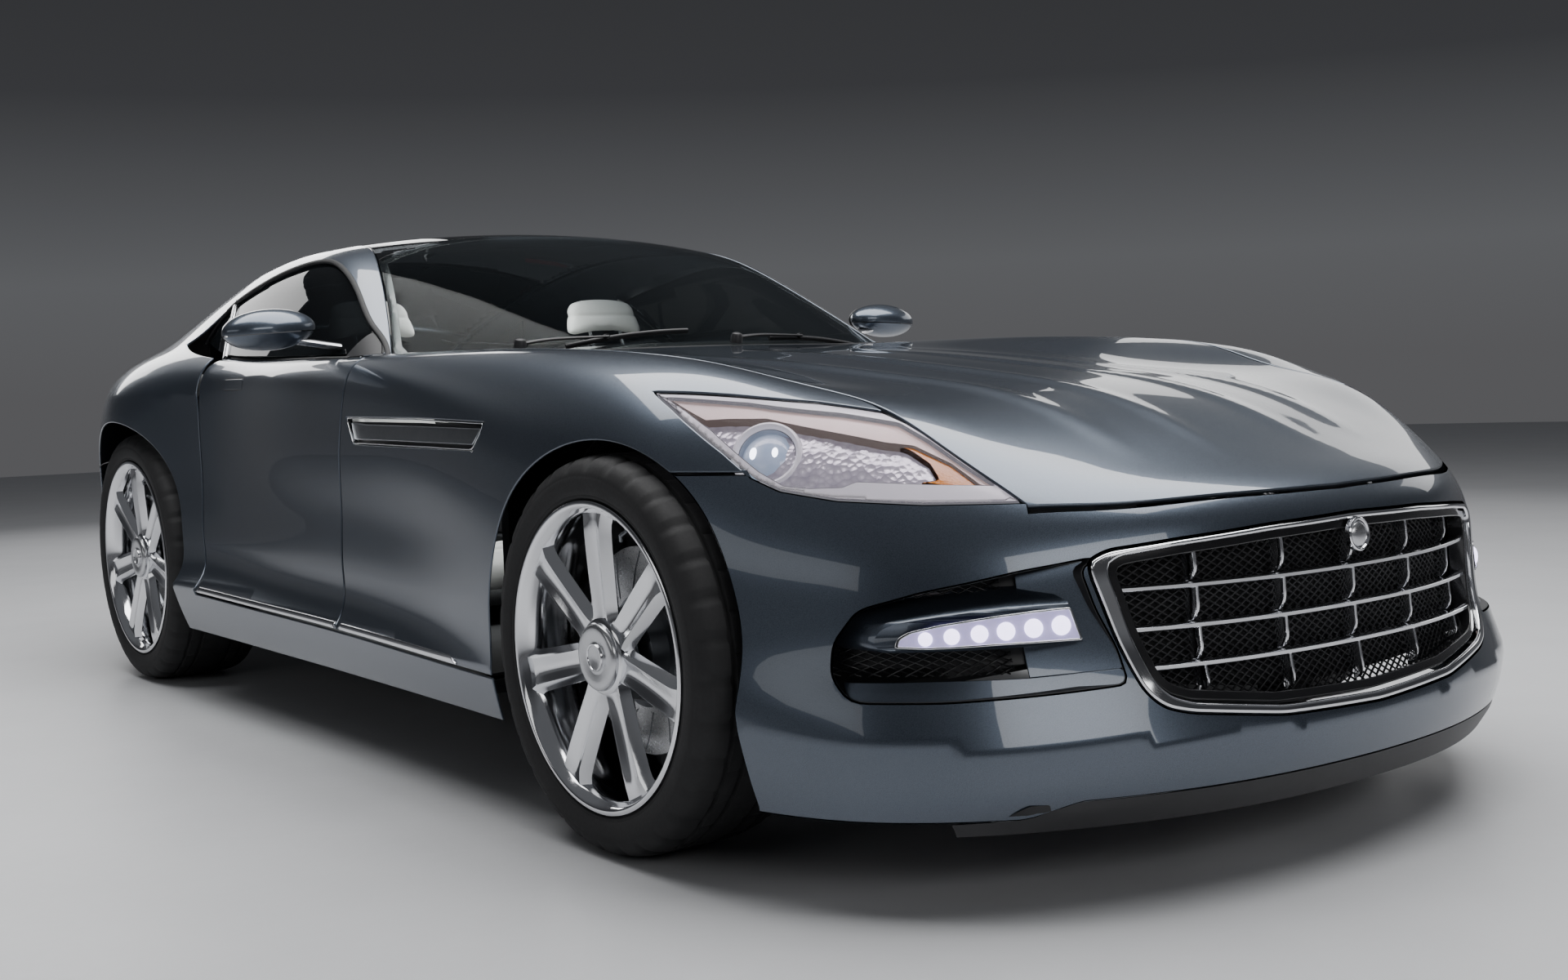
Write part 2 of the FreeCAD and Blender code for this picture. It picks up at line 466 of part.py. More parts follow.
def diag(points, d, lo, hi, grow=0.0):
    """Prism of a 3-D outline along direction d, from lo to hi about its own points."""
    L = math.sqrt(sum(c*c for c in d)); d = tuple(c/L for c in d)
    h = math.hypot(d[0], d[1])
    e1 = (-d[1]/h, d[0]/h, 0.0); e2 = (d[1]*e1[2]-d[2]*e1[1], d[2]*e1[0]-d[0]*e1[2], d[0]*e1[1]-d[1]*e1[0])
    c = tuple(sum(p[k] for p in points)/len(points) for k in range(3))
    q = []
    for p in points:
        r = tuple(p[k]-c[k] for k in range(3))
        q.append((sum(r[k]*e1[k] for k in range(3)), sum(r[k]*e2[k] for k in range(3))))
    q = offset2(q, grow) if grow else q
    def at(u, v, w):
        return tuple(c[k]+e1[k]*u+e2[k]*v+d[k]*w for k in range(3))
    return loop([at(u, v, lo) for u, v in q], [at(u, v, hi) for u, v in q])

# ---- front end
HOOD_CUT = prism(hood_outline(GAP), 'z', .35, 1.2)
LAMP_CUT = diag(LAMP, LAMP_DIR, -.35, .35, .0015)
SIDE_X = Spline([(-p[1], p[0]) for p in HOOD_SIDE])
FRONT_Y = Spline([(-p[0], p[1]) for p in HOOD_FRONT]+[(p[0], p[1]) for p in HOOD_FRONT[:-1][::-1]])
def hood_sheet():
    go, gi = [], []
    for v in lin(0, 1, 46):
        ro, ri = [], []
        for u in lin(-1, 1, 35):
            yl = -.32+(-1.975+.32)*v
            x = u*(SIDE_X(min(-yl, 1.966))+.014)
            y = (-.47+.168*(x/.715)**2)*(1-v)+(FRONT_Y(max(min(x, .548), -.548))-.010)*v
            p, i = ray_pair((x, y, .25), (0, 0, 1.0), T_HOOD)
            ro.append(p); ri.append(i)
        go.append(ro); gi.append(ri)
    return thick(go, gi)
hood = hood_sheet().common(prism(hood_outline(0), 'z', .35, 1.2))
put("hood", biggest(hood))

ss = lin(S0+.05, -.14, 54)
aa = lin(-.56, 1.12, 40)
WING = [(-.05, .2), (-.05, 1.0), (-1.78, 1.0), (-1.78, .745), (-1.66, .690), (-1.60, Z_JOINT_F+.0015), (-1.40, Z_JOINT_F+.0015), (-1.40, .20)]
def lean(p):
    """How far the front edges of door and fender lean forward going inward, per metre; none near the windscreen pillar."""
    return -min(max((.85-p[1])/.06, 0.0), 1.0)
class Slant:
    def __init__(s, mid, f): s.mid, s.f = mid, f
    def __call__(s, p): return s.f(p)
df = resample(DOOR_FRONT, 16)
dr = resample(DOOR_REAR, 16)
low = [(y, S_CREASE(y)-.007) for y in lin(df[-1][0], dr[0][0], 8)][1:-1]
top = [(y, S_BELT(y)) for y in lin(dr[-1][0], df[0][0], 14)][1:-1]
DOOR_POLY = [p for p in df if p[1] < .864]
DOOR_POLY = [(df[0][0]+.004, S_BELT(df[0][0]))]+DOOR_POLY+low+[p for p in dr if p[1] < .893]+[(dr[-1][0]-.001, S_BELT(dr[-1][0]))]+top
def door_prism(grow):
    pts = offset2(DOOR_POLY, grow) if grow else DOOR_POLY
    def sl(p):
        w = min(max((p[0]+.16)/.80, 0.0), 1.0)
        return (lean(p)*(1-w)-.22*w, 0.0)
    return prism(pts, 'x', -1.06, -.60, Slant(-.87, sl))
rear_of_wing = [(y-GAP-.0012, z) for y, z in df if z < .90]
wing_rear = prism([(df[0][0]-GAP-.0012, 1.05)]+rear_of_wing+[(df[-1][0]-GAP-.0012, .15), (.3, .15), (.3, 1.05)], 'x', -1.06, -.60, Slant(-.87, lambda p: (lean(p), 0.0) if p[0] < .2 else (0.0, 0.0)))
WING_POLY = [(-.10, 1.0)]+[(y, S_CREASE(y)-.007) for y in lin(-.10, -1.2, 6)]+[(-1.40, .26), (-1.40, Z_JOINT_F+.0015), (-1.60, Z_JOINT_F+.0015), (-1.66, .690), (-1.78, .745), (-1.78, 1.0)]
sheet_w = belt_sheet(lin(-1.93, -.14, 40), lin(-.42, 1.12, 38), T_WING)
wing = sheet_w.common(prism(WING_POLY, 'x', -1.06, -.40)).cut(wing_rear).cut(ARCH_F).cut(HOOD_CUT).cut(LAMP_CUT)
wing = wing.cut(prism(VENT, 'x', -1.1, -.5))
wing = wing.cut(box(-.735, -.3, -.335, 0, .6, 1.1))
wing = biggest(wing)
put("right_fender", wing)
put("left_fender", mirror(wing))

bs = belt_sheet([2*S0-s for s in lin(-1.36, S0+.02, 28)]+[s for s in lin(-1.36, S0, 29)][::-1], lin(-.56, .80, 28), T_BUMPER)
bum = bs.common(prism([(-2.4, .168), (-2.012, .164), (-1.975, .140), (-1.2, .134), (-1.2, 1.0), (-2.4, 1.0)], 'x', -1.1, 1.1))
cutf = prism([(-1.30, 1.0), (-1.78, 1.0), (-1.78, .745), (-1.66, .690), (-1.60, Z_JOINT_F-.0015), (-1.30, Z_JOINT_F-.0015)], 'x', -1.1, -.40)
for t in (cutf, mirror(cutf), ARCH_F, mirror(ARCH_F), HOOD_CUT, LAMP_CUT, mirror(LAMP_CUT)):
    bum = bum.cut(t)
gr = GRILLE+[(-x, z) for x, z in GRILLE[1:-1][::-1]]
bum = bum.cut(prism(offset2(gr, .002), 'y', -2.5, -1.5))
fg = prism(offset2(FOG, -.004), 'y', -2.5, -1.55)
bum = bum.cut(fg).cut(mirror(fg))
put("front_bumper", biggest(bum))

lamp = belt_sheet(lin(-2.10, -1.30, 26), lin(.05, 1.0, 22), .060).common(diag(LAMP, LAMP_DIR, -.35, .35, -.002)).cut(cyl(.412, (-.90, YF, TYRE_R_F), (-.40, YF, TYRE_R_F))).cut(HOOD_CUT)
lamp = biggest(lamp)
put("headlights", Part.makeCompound([lamp, mirror(lamp)]))

vent = belt_sheet(lin(-1.0, -.16, 20), lin(.20, .75, 12), .010, f=lambda x, y, z: f_body(x, y, z)+.014).common(prism(offset2(VENT, -.003), 'x', -1.1, -.5))
vent = biggest(vent.cut(box(-1.1, -.5, -.246, 0, .5, 1.0)))
put("fender_vents", Part.makeCompound([vent, mirror(vent)]))

# ---- grille: surround, bars and the dark panel behind
gs = belt_sheet([2*S0-s for s in lin(-2.05, S0+.02, 12)]+lin(-2.05, S0, 13)[::-1], lin(-.40, .24, 14), .030)
frame = gs.common(prism(gr, 'y', -2.5, -1.5))
ring = frame.cut(prism(offset2(gr, -.020), 'y', -2.5, -1.5))
grid = [box(-.6, .6, -2.4, -1.8, z-.009, z+.009) for z in (.345, .402, .462)]+[box(x-.007, x+.007, -2.4, -1.8, .2, .6) for x in (-.33, -.165, 0, .165, .33)]
grid = fuse(grid)
g = ring.fuse(frame.common(prism(offset2(gr, -.019), 'y', -2.5, -1.5)).common(grid))
mesh = belt_sheet([2*S0-s for s in lin(-2.05, S0+.02, 10)]+lin(-2.05, S0, 11)[::-1], lin(-.40, .24, 10), .006, f=lambda x, y, z: f_body(x, y, z)+.040)
mesh = mesh.common(prism(offset2(gr, -.004), 'y', -2.5, -1.5))
put("grille", Part.makeCompound([biggest(g), biggest(mesh)]))

# ---- daytime lamp units with their housing, in the bumper's side openings
def dlu():
    body = belt_sheet(lin(-2.35, -1.72, 16), lin(-.32, .16, 12), .030, f=lambda x, y, z: f_body(x, y, z)+.034)
    return biggest(body.common(prism(offset2(FOG, .004), 'y', -2.5, -1.5)).cut(cyl(.412, (-.95, YF, TYRE_R_F), (-.40, YF, TYRE_R_F))))
d = dlu()
put("daytime_lamps", Part.makeCompound([d, mirror(d)]))

sp = belt_sheet([2*S0-s for s in lin(-1.85, S0+.02, 24)]+lin(-1.85, S0, 25)[::-1], lin(-.80, -.42, 9), .026)
sp = sp.common(prism([(-2.4, .1675), (-2.012, .1635), (-1.975, .1395), (-1.935, .1372), (-1.935, .118), (-2.4, .124)], 'x', -1.0, 1.0))
put("front_splitter", biggest(sp))

# ---- cowl between hood and windscreen
def cowl():
    xs = lin(-.705, .705, 24)
    f = [(x, -.49+.168*(x/.715)**2+GAP) for x in xs]
    r = [(x, -.433+.213*(abs(x)/.705)**2.0) for x in xs]
    sh = top_sheet(lin(-.72, .72, 25), lin(-.52, -.18, 14), .012, f=f_lower)
    return biggest(sh.common(prism(f+r[::-1], 'z', .5, 1.2)))
put("cowl_panel", cowl())

# ---- greenhouse
def ws_base(x): return -.427+.213*(abs(x)/.705)**2
def ws_top(x): return .350-.10*(x/.5)**2
def rw_top(x): return 1.150+.05*(x/.47)**2
RW_END = 1.716
SP_X = Spline([(p[1], p[0]) for p in PILLAR_IN])
def strip(f0, f1, d):
    """Outline between two cross lines f0(x) < f1(x) and the pillars, moved in by d."""
    def edge(f):
        x = .6
        for _ in range(40):
            x = SP_X(f(x))
        return x
    x0, x1 = edge(f0), edge(f1)
    a = [(x, f0(x)) for x in lin(-x0, x0, 17)]
    y0, y1 = f0(x0), f1(x1)
    r = [(SP_X(y), y) for y in lin(y0, y1, 16)][1:-1]
    b = [(x, f1(x)) for x in lin(x1, -x1, 17)]
    l = [(-x, y) for x, y in r[::-1]]
    return offset2(a+r+b+l, -d)
low_ray = lambda x, y: roof_z(x, y)-.22
ws = top_sheet(lin(-.76, .76, 31), lambda x: lin(ws_base(x)-.03, .40, 25), T_GLASS, f=lambda x, y, z: f_cabin(x, y, z)+.0015, below=low_ray).common(prism(strip(ws_base, ws_top, .0015), 'z', .5, 1.5))
put("windshield", biggest(ws.cut(box(-1, -.697, -.6, 0, .5, 1.2)).cut(box(.697, 1, -.6, 0, .5, 1.2))))
rf = top_sheet(lin(-.55, .55, 23), lin(.22, 1.26, 27), .016, f=lambda x, y, z: f_cabin(x, y, z)+.0015, below=low_ray).common(prism(strip(ws_top, rw_top, .0015), 'z', .5, 1.5))
put("roof_panel", biggest(rf))
rw = top_sheet(lin(-.52, .52, 21), lin(1.10, 1.76, 19), T_GLASS, f=lambda x, y, z: f_body(x, y, z)+.0015).common(prism(strip(rw_top, lambda x: RW_END, .0015), 'z', .5, 1.5))
put("rear_window", biggest(rw))

top_open = prism(strip(ws_base, lambda x: 1.742, -.001), 'z', .60, 1.6)
DLO_POLY = resample(DLO, 40)+[(y, S_BELT(y)) for y in lin(1.165, -.15, 16)][1:-1]
LID = [(-.452, 1.734, 1.0), (-.458, 1.86, .96), (-.475, 1.98, .90), (-.505, 2.06, .80), (-.507, 2.10, .72), (-.494, 2.10, .640)]
LID_ALL = LID+[(-x, y, z) for x, y, z in LID[::-1]]
LID_DIR = (0, .62, .78)
lid_cut = diag(LID_ALL, LID_DIR, -.35, .35, GAP)
def lid_sheet():
    """Rear deck and tail: rays fan from a line inside the boot."""
    go, gi = [], []
    for x in lin(-.60, .60, 27):
        ro, ri = [], []
        for a in lin(math.radians(4), math.radians(112), 26):
            p, i = ray_pair((x, 1.86, .60), (0, math.cos(a), math.sin(a)), T_LID, f_body, 1.0)
            ro.append(p); ri.append(i)
        go.append(ro); gi.append(ri)
    return thick(go, gi)
lid = lid_sheet().common(diag(LID_ALL, LID_DIR, -.35, .35, 0)).cut(box(-1, 1, 1.0, 1.733, .5, 1.3))
put("trunk_lid", biggest(lid))

bside = belt_sheet(lin(-.98, -.26, 14)+lin(-.235, S1-.02, 78), lin(-.55, .30, 20)[:-1]+lin(.30, 1.0, 24)[:-1]+lin(1.0, 1.50, 16), T_SIDE)
bside2 = bside.common(prism([(-.97, Z_SILL), (-.30, Z_SILL+.002), (1.4, Z_SILL+.006), (1.4, Z_JOINT_R+.0015), (2.5, Z_JOINT_R+.0015), (2.5, 1.6), (-.30, 1.6), (-.30, S_CREASE(-.3)-.012), (-.97, S_CREASE(-.97)-.012)], 'x', -1.2, -.0))
bside2 = bside2.cut(door_prism(GAP-.001))
bside2 = bside2.cut(prism(offset2(DLO_POLY, .0), 'x', -1.2, -.3))
bside2 = bside2.cut(top_open).cut(lid_cut).cut(ARCH_R)
tail_cut = prism(TAIL, 'y', 1.5, 2.5)
bside2 = bside2.cut(tail_cut)
cr0 = S_CREASE(df[-1][0])-.012
front_cut = [(-.9, cr0), (df[-1][0]+.001, cr0)]+[(y+.001, z) for y, z in df[::-1] if z < .80]+[(-.214, .81), (-.214, .86), (-.214, 1.6), (-.9, 1.6)]
bside2 = bside2.cut(prism(front_cut, 'x', -1.2, -.60, Slant(-.87, lambda p: (lean(p), 0.0) if p[0] > -.5 else (0.0, 0.0)))).cut(prism(front_cut, 'x', -.61, 0)).cut(ARCH_F)
bside2 = bside2.cut(box(-.5135, .1, 1.9, 2.5, .5, .80))
bside2 = bside2.cut(box(-.758, -.738, -.159, -.147, .868, .877))
put("right_body_side", biggest(bside2))
put("left_body_side", mirror(biggest(bside2)))

d = belt_sheet(lin(-.26, .86, 42), lin(-.40, .80, 30), T_DOOR, f=f_lower).common(door_prism(0))
put("right_door", biggest(d))
put("left_door", mirror(biggest(d)))
dg = side_sheet(lin(-.2, 1.2, 30), lin(math.radians(20), math.radians(62), 12), T_GLASS, f=lambda x, y, z: f_cabin(x, y, z)+.006)
GLASS_POLY = offset2(DLO_POLY, -.006)
dgl = dg.common(prism(GLASS_POLY, 'x', -1.2, -.3))
bl = prism([(.90, .80), (.836, .80), (.836, .884), (1.0, 1.044), (1.12, 1.155), (1.4, 1.155), (1.4, .80)], 'x', -1.2, -.3)
bl2 = prism([(-.4, .80), (.826, .80), (.826, .888), (.990, 1.048), (1.10, 1.150), (-.4, 1.3)], 'x', -1.2, -.3)
gd = biggest(dgl.common(bl2).cut(box(-1.2, -.3, -.3, -.127, .5, 1.0)))
put("right_door_glass", gd)
put("left_door_glass", mirror(gd))
qd = biggest(dgl.common(bl))
put("quarter_windows", Part.makeCompound([qd, mirror(qd)]))

# ---- rear end
rb = belt_sheet(lin(1.30, S1, 30)+[2*S1-s for s in lin(1.30, S1-.02, 29)[::-1]], lin(-.56, .72, 26), T_BUMPER)
rb1 = prism([(1.30, .165), (2.5, .185), (2.5, Z_JOINT_R-.0015), (1.30, Z_JOINT_R-.0015)], 'x', -1.2, 1.2)
rb = rb.common(rb1.fuse(box(-.512, .512, 1.9, 2.6, .4, .82)))
rb = rb.cut(ARCH_R).cut(mirror(ARCH_R)).cut(lid_cut)
ex = [cyl(.062, (sx*.52, 1.9, .27), (sx*.52, 2.4, .27)) for sx in (-1, 1)]
for e in ex:
    rb = rb.cut(e)
put("rear_bumper", biggest(rb))
tl = biggest(belt_sheet(lin(1.45, 2.35, 20), lin(.35, .95, 12), .045).common(prism(offset2(TAIL, -.002), 'y', 1.5, 2.5)))
put("tail_lights", Part.makeCompound([tl, mirror(tl)]))
tips = []
for sx in (-1, 1):
    o = cyl(.054, (sx*.52, 1.86, .27), (sx*.52, 2.13, .27))
    i = cyl(.049, (sx*.52, 1.90, .27), (sx*.52, 2.14, .27))
    tips.append(o.cut(i))
put("exhaust_tips", Part.makeCompound(tips))

# ---- mirrors, riding on the doors
def ellipsoid(c, r, n=14):
    s = Part.makeSphere(1.0)
    mt = FreeCAD.Matrix(); mt.scale(V(r[0]*1000, r[1]*1000, r[2]*1000)); 
    s = s.transformGeometry(mt); s.translate(mm(c))
    return s
MIR_C = (-.908, .045, .938)
mh = ellipsoid(MIR_C, (.108, .062, .047)).cut(box(-1.2, -.7, .075, .3, .7, 1.2))
arm = bar((-.760, .030, .898), (-.865, .040, .915), .050, .018)
mir = biggest(mh.fuse(arm))
put("right_mirror", mir)
put("left_mirror", mirror(mir))

# ---- wheels: rim with hub and brake disc, one turning piece each; tyres
def tyre(rr, rt, w, xo):
    return [(0, rr+.004), (0, rr+.012), (.003, rt-.045), (.010, rt-.022), (.024, rt-.006), (.050, rt), (w-.050, rt), (w-.024, rt-.006), (w-.010, rt-.022), (w-.003, rt-.045), (w, rr+.012), (w, rr+.004), (w-.016, rr-.008), (.016, rr-.008)]
def wheel(rr, w, disc_r):
    rim = [(.012, rr), (.004, rr-.004), (.004, rr-.012), (.018, rr-.020), (.060, rr-.030), (w-.07, rr-.034), (w-.020, rr-.022), (w-.012, rr-.010), (w-.012, rr), (w-.017, rr), (w-.017, rr-.0085), (.017, rr-.0085), (.017, rr)]
    barrel = revolve(rim, (0, 0, 0))
    hub = revolve([(.014, 0), (.014, .060), (.030, .074), (.118, .074), (.118, 0)], (0, 0, 0))
    out = [barrel, hub]
    for k in range(7):
        a = 2*math.pi*k/7
        s = Part.makeLoft([Part.makePolygon([V(22, -30, 62), V(22, 30, 62), V(60, 26, 62), V(60, -26, 62), V(22, -30, 62)]),
                           Part.makePolygon([V(14, -34, (rr-.016)*1000), V(14, 34, (rr-.016)*1000), V(46, 30, (rr-.024)*1000), V(46, -30, (rr-.024)*1000), V(14, -34, (rr-.016)*1000)])], True, True)
        s.rotate(V(0, 0, 0), V(1, 0, 0), math.degrees(a))
        out.append(s)
    disc = revolve([(.106, .05), (.106, disc_r), (.132, disc_r), (.132, .05)], (0, 0, 0))
    out.append(disc)
    return fuse(out)
def place(shape, xo, y, z, right=True):
    """Shape's x=0 is its outer face; put it at |x| = xo."""
    s = shape.copy()
    if right:
        s.translate(V(-xo*1000, y*1000, z*1000))
        return s
    s = mirror(s); s.translate(V(xo*1000, y*1000, z*1000))
    return s
wf, wr = wheel(RIM_R_F, TYRE_W_F, .178), wheel(RIM_R_R, TYRE_W_R, .172)
tf, tr = revolve(tyre(RIM_R_F, TYRE_R_F, TYRE_W_F, 0), (0, 0, 0)), revolve(tyre(RIM_R_R, TYRE_R_R, TYRE_W_R, 0), (0, 0, 0))
wf, wr = biggest(wf), biggest(wr)
for side, rt in (("right", True), ("left", False)):
    put("front_"+side+"_wheel", place(wf, WHEEL_X_F, YF, TYRE_R_F, rt))
    put("front_"+side+"_tyre", place(tf.cut(wf), WHEEL_X_F, YF, TYRE_R_F, rt))
    put("rear_"+side+"_wheel", place(wr, WHEEL_X_R, YR, TYRE_R_R, rt))
    put("rear_"+side+"_tyre", place(tr.cut(wr), WHEEL_X_R, YR, TYRE_R_R, rt))

# ---- steering knuckles with calipers
ZF = TYRE_R_F
def knuckle():
    hub = cyl(.0465, (-.695, YF, ZF), (-WHEEL_X_F+.118+.0015, YF, ZF))
    up = fuse([box(-.765, -.700, YF-.035, YF+.035, ZF-.150, ZF+.150), hub])
    top = cyl(.018, (-KING_X, YF, ZF+.150), (-KING_X, YF, ZF+.171))
    bot = cyl(.018, (-KING_X, YF, ZF-.165), (-KING_X, YF, ZF-.150))
    arm = bar((-.735, YF, ZF-.06), (-.690, YF+.135, ZF-.07), .034, .028)
    c = revolve([(.098, .120), (.098, .208), (.140, .208), (.140, .120)], (-WHEEL_X_F, YF, ZF))
    c = c.common(box(-.9, -.6, YF+.085, YF+.3, ZF-.115, ZF+.115))
    c = c.cut(revolve([(.101, 0), (.101, .184), (.137, .184), (.137, 0)], (-WHEEL_X_F, YF, ZF)))
    br = box(-.766, -.740, YF+.02, YF+.14, ZF-.05, ZF+.05)
    s = fuse([up, top, bot, arm, br]).cut(revolve([(.101, 0), (.101, .184), (.137, .184), (.137, 0)], (-WHEEL_X_F, YF, ZF)).cut(cyl(.047, (-.9, YF, ZF), (-.6, YF, ZF))))
    return s.fuse(c)
kn = biggest(knuckle())
put("right_knuckle", kn)
put("left_knuckle", mirror(kn))

# ---- front subframe with wishbones, rear subframe with arms and hub carriers
def wishbone(z, r):
    a = fuse([bar((-KING_X, YF, z), (-.43, YF-.12, z), .036, .022), bar((-KING_X, YF, z), (-.43, YF+.12, z), .036, .022), cyl(.0255, (-KING_X, YF, z-.013), (-KING_X, YF, z+.013))])
    return a
lo_z, up_z = ZF-.190, ZF+.196
fs = [box(-.46, -.36, YF-.30, YF+.32, ZF-.215, ZF-.150), box(-.46, .46, YF-.30, YF-.22, ZF-.215, ZF-.150), box(-.46, .46, YF+.24, YF+.32, ZF-.215, ZF-.150), box(-.46, -.38, YF-.14, YF+.14, ZF-.16, ZF+.22)]
sub = fuse([fs[0], mirror(fs[0]), fs[1], fs[2], fs[3], mirror(fs[3])])
wb = fuse([wishbone(lo_z, 0), wishbone(up_z, 0)])
sub = sub.fuse(wb).fuse(mirror(wb))
put("front_subframe", biggest(sub))
ZR = TYRE_R_R
def rear_side():
    c = cyl(.0465, (-.60, YR, ZR), (-WHEEL_X_R+.118+.0015, YR, ZR))
    return [c, box(-.70, -.60, YR-.05, YR+.05, ZR-.13, ZR+.13), bar((-.65, YR, ZR-.11), (-.30, YR-.16, ZR-.12), .05, .03), bar((-.65, YR, ZR-.11), (-.30, YR+.16, ZR-.12), .05, .03), bar((-.65, YR, ZR+.065), (-.30, YR, ZR+.035), .05, .03)]
rs = rear_side()
rsub = fuse([box(-.36, .36, YR-.22, YR-.14, ZR-.15, ZR-.08), box(-.36, .36, YR+.14, YR+.22, ZR-.15, ZR-.08), box(-.36, -.28, YR-.22, YR+.22, ZR-.15, ZR+.08), box(.28, .36, YR-.22, YR+.22, ZR-.15, ZR+.08), box(-.15, .15, YR-.14, YR+.14, ZR-.14, ZR+.06)]+rs+[mirror(q) for q in rs])
put("rear_subframe", biggest(rsub))

# ---- wheel arch liners
def liner(yc, zc, r, x0, x1, ya, yb, zlo):
    a = cyl(r+.004, (-x1, yc, zc), (-x0, yc, zc)).cut(cyl(r, (-x1-.01, yc, zc), (-x0+.01, yc, zc)))
    return biggest(a.common(box(-1.1, 0, yc-ya, yc+yb, zlo, 1.2)))
l1, l2 = liner(YF, TYRE_R_F, .400, .50, .760, .5, .5, .30), liner(YR, TYRE_R_R, .406, .585, .78, .5, .37, .30)
put("arch_liners", Part.makeCompound([l1, mirror(l1), l2, mirror(l2)]))

# ---- underbody: floor, tunnel, bulkheads, rails
fl = [box(-.806, .806, -.66, .86, .178, .205)]
tun = box(-.17, .17, -.66, .80, .19, .40).cut(box(-.14, .14, -.70, .78, .10, .37))
fl += [box(-.72, .72, -.685, -.655, .178, .80), box(-.17, .17, -.66, .80, .36, .39)]
fl += [box(-.17, -.14, -.66, .80, .19, .39), box(.14, .17, -.66, .80, .19, .39)]
fl += [box(-.58, .58, .80, .83, .178, .46), box(-.58, .58, .80, 1.98, .46, .485), box(-.52, .52, 1.46, 1.485, .46, .86)]
fl += [box(-.36, -.30, -1.95, -.66, .44, .52), box(.30, .36, -1.95, -.66, .44, .52), box(-.44, .44, -1.975, -1.935, .36, .50)]
fl += [box(-.36, -.30, .80, 1.98, .431, .47), box(.30, .36, .80, 1.98, .431, .47)]
fl += [box(-.58, -.555, .83, 1.84, .30, .70), box(.555, .58, .83, 1.84, .30, .70)]
fl += [box(-.44, -.36, YF+.20, YF+.27, ZF-.149, .52), box(.36, .44, YF+.20, YF+.27, ZF-.149, .52), box(-.44, -.30, YF+.20, YF+.27, .44, .52), box(.30, .44, YF+.20, YF+.27, .44, .52)]
ub = fuse(fl)
ub = ub.cut(box(-.139, .139, -.7, .85, .10, .359)).cut(box(-.70, -.50, YR-.06, YR+.06, .375, .440)).cut(box(.50, .70, YR-.06, YR+.06, .375, .440))
for hx in (-.70, .70):
    for hy in (-.45, .65):
        ub = ub.cut(cyl(.0065, (hx, hy, .1), (hx, hy, .25)))
put("underbody", biggest(ub))
put("engine_block", box(-.26, .26, -1.46, -.76, .235, .72).cut(box(-.5, .5, YF+.235, YF+.325, 0, .2)))

# ---- cabin: dashboard, steering wheel, seats
def extrude_x(pts, x0, x1):
    w = Part.makePolygon([V(x0*1000, p[0]*1000, p[1]*1000) for p in pts]+[V(x0*1000, pts[0][0]*1000, pts[0][1]*1000)])
    return Part.Face(w).extrude(V((x1-x0)*1000, 0, 0))
dash = extrude_x([(-.650, .58), (-.650, .795), (-.46, .831), (-.34, .836), (-.245, .820), (-.215, .785), (-.225, .715), (-.33, .62), (-.42, .56)], -.664, .664)
dash = dash.fuse(extrude_x([(-.60, .392), (-.60, .60), (-.25, .70), (-.20, .58), (.10, .47), (.62, .47), (.64, .392)], -.135, .135))
put("dashboard", biggest(dash))
st = Part.makeTorus(182, 15, V(0, 0, 0), V(0, 0, 1))
hubw = Part.makeCylinder(52, 30, V(0, 0, -18))
sp3 = []
for a in (0, 180, 270):
    b = Part.makeBox(150, 34, 12, V(35, -17, -12)); b.rotate(V(0, 0, 0), V(0, 0, 1), a); sp3.append(b)
stw = fuse([st, hubw, Part.makeCylinder(16, 78, V(0, 0, -96))]+sp3)
stw.rotate(V(0, 0, 0), V(1, 0, 0), -(90-math.degrees(WHEEL_TILT)))
stw.translate(mm(WHEEL_C))
put("steering_wheel", biggest(stw))
def seat(x):
    cush = extrude_x([(-.05, .235), (-.07, .36), (-.03, .405), (.10, .395), (.36, .360), (.44, .33), (.46, .235)], x-.210, x+.210)
    back = extrude_x([(.375, .355), (.53, .70), (.62, .90), (.655, .925), (.70, .915), (.705, .88), (.60, .62), (.52, .30), (.44, .28)], x-.205, x+.205)
    head = extrude_x([(.635, .930), (.670, 1.03), (.70, 1.055), (.745, 1.04), (.735, .98), (.715, .905)], x-.13, x+.13)
    post = extrude_x([(.66, .90), (.675, .96), (.70, .96), (.69, .89)], x-.07, x+.07)
    rail = box(x-.17, x+.17, .0, .42, .206, .236)
    return fuse([cush, back, head, post, rail])
s1 = biggest(seat(-SEAT_X)); s2 = biggest(seat(SEAT_X))
rseat = fuse([extrude_x([(.84, .487), (.82, .56), (.86, .60), (1.05, .57), (1.20, .55), (1.24, .487)], -.54, .54), extrude_x([(1.16, .54), (1.26, .78), (1.32, .86), (1.38, .86), (1.38, .50), (1.2, .487)], -.54, .54)])
put("seats", Part.makeCompound([s1, s2, biggest(rseat)]))

# ---- wipers, lying at the foot of the screen
def wiper(x0, x1, y0, y1):
    z0 = z_at(x0, y0, f_body)[2]+.014
    z1 = roof_z(x1, y1)+.016
    zc = roof_z(.5*(x0+x1), .5*(y0+y1))+.020
    arm = bar((x0, y0, z0), (.5*(x0+x1), .5*(y0+y1)+.0, zc), .016, .009)
    bl = bar((x0+.30*(x1-x0)-.04, y0+.30*(y1-y0)+.016, z0+.3*(z1-z0)+.004), (x1, y1+.014, z1), .010, .012)
    piv = cyl(.016, (x0, y0, z0-.012), (x0, y0, z0+.010))
    return fuse([arm, bl, piv])
try:
    w1 = biggest(wiper(.03, .50, -.450, -.345)); w2 = biggest(wiper(-.50, -.06, -.368, -.392))
    put("wipers", Part.makeCompound([w1, w2]))
except Exception as e:
    print("wipers failed", e)
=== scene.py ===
# Coupe car: finish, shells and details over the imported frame. Metres, front at -Y, the car's left side at +X.
import bpy, bmesh, math, random
import numpy as np
from mathutils import Vector, Matrix
from mathutils.geometry import delaunay_2d_cdt


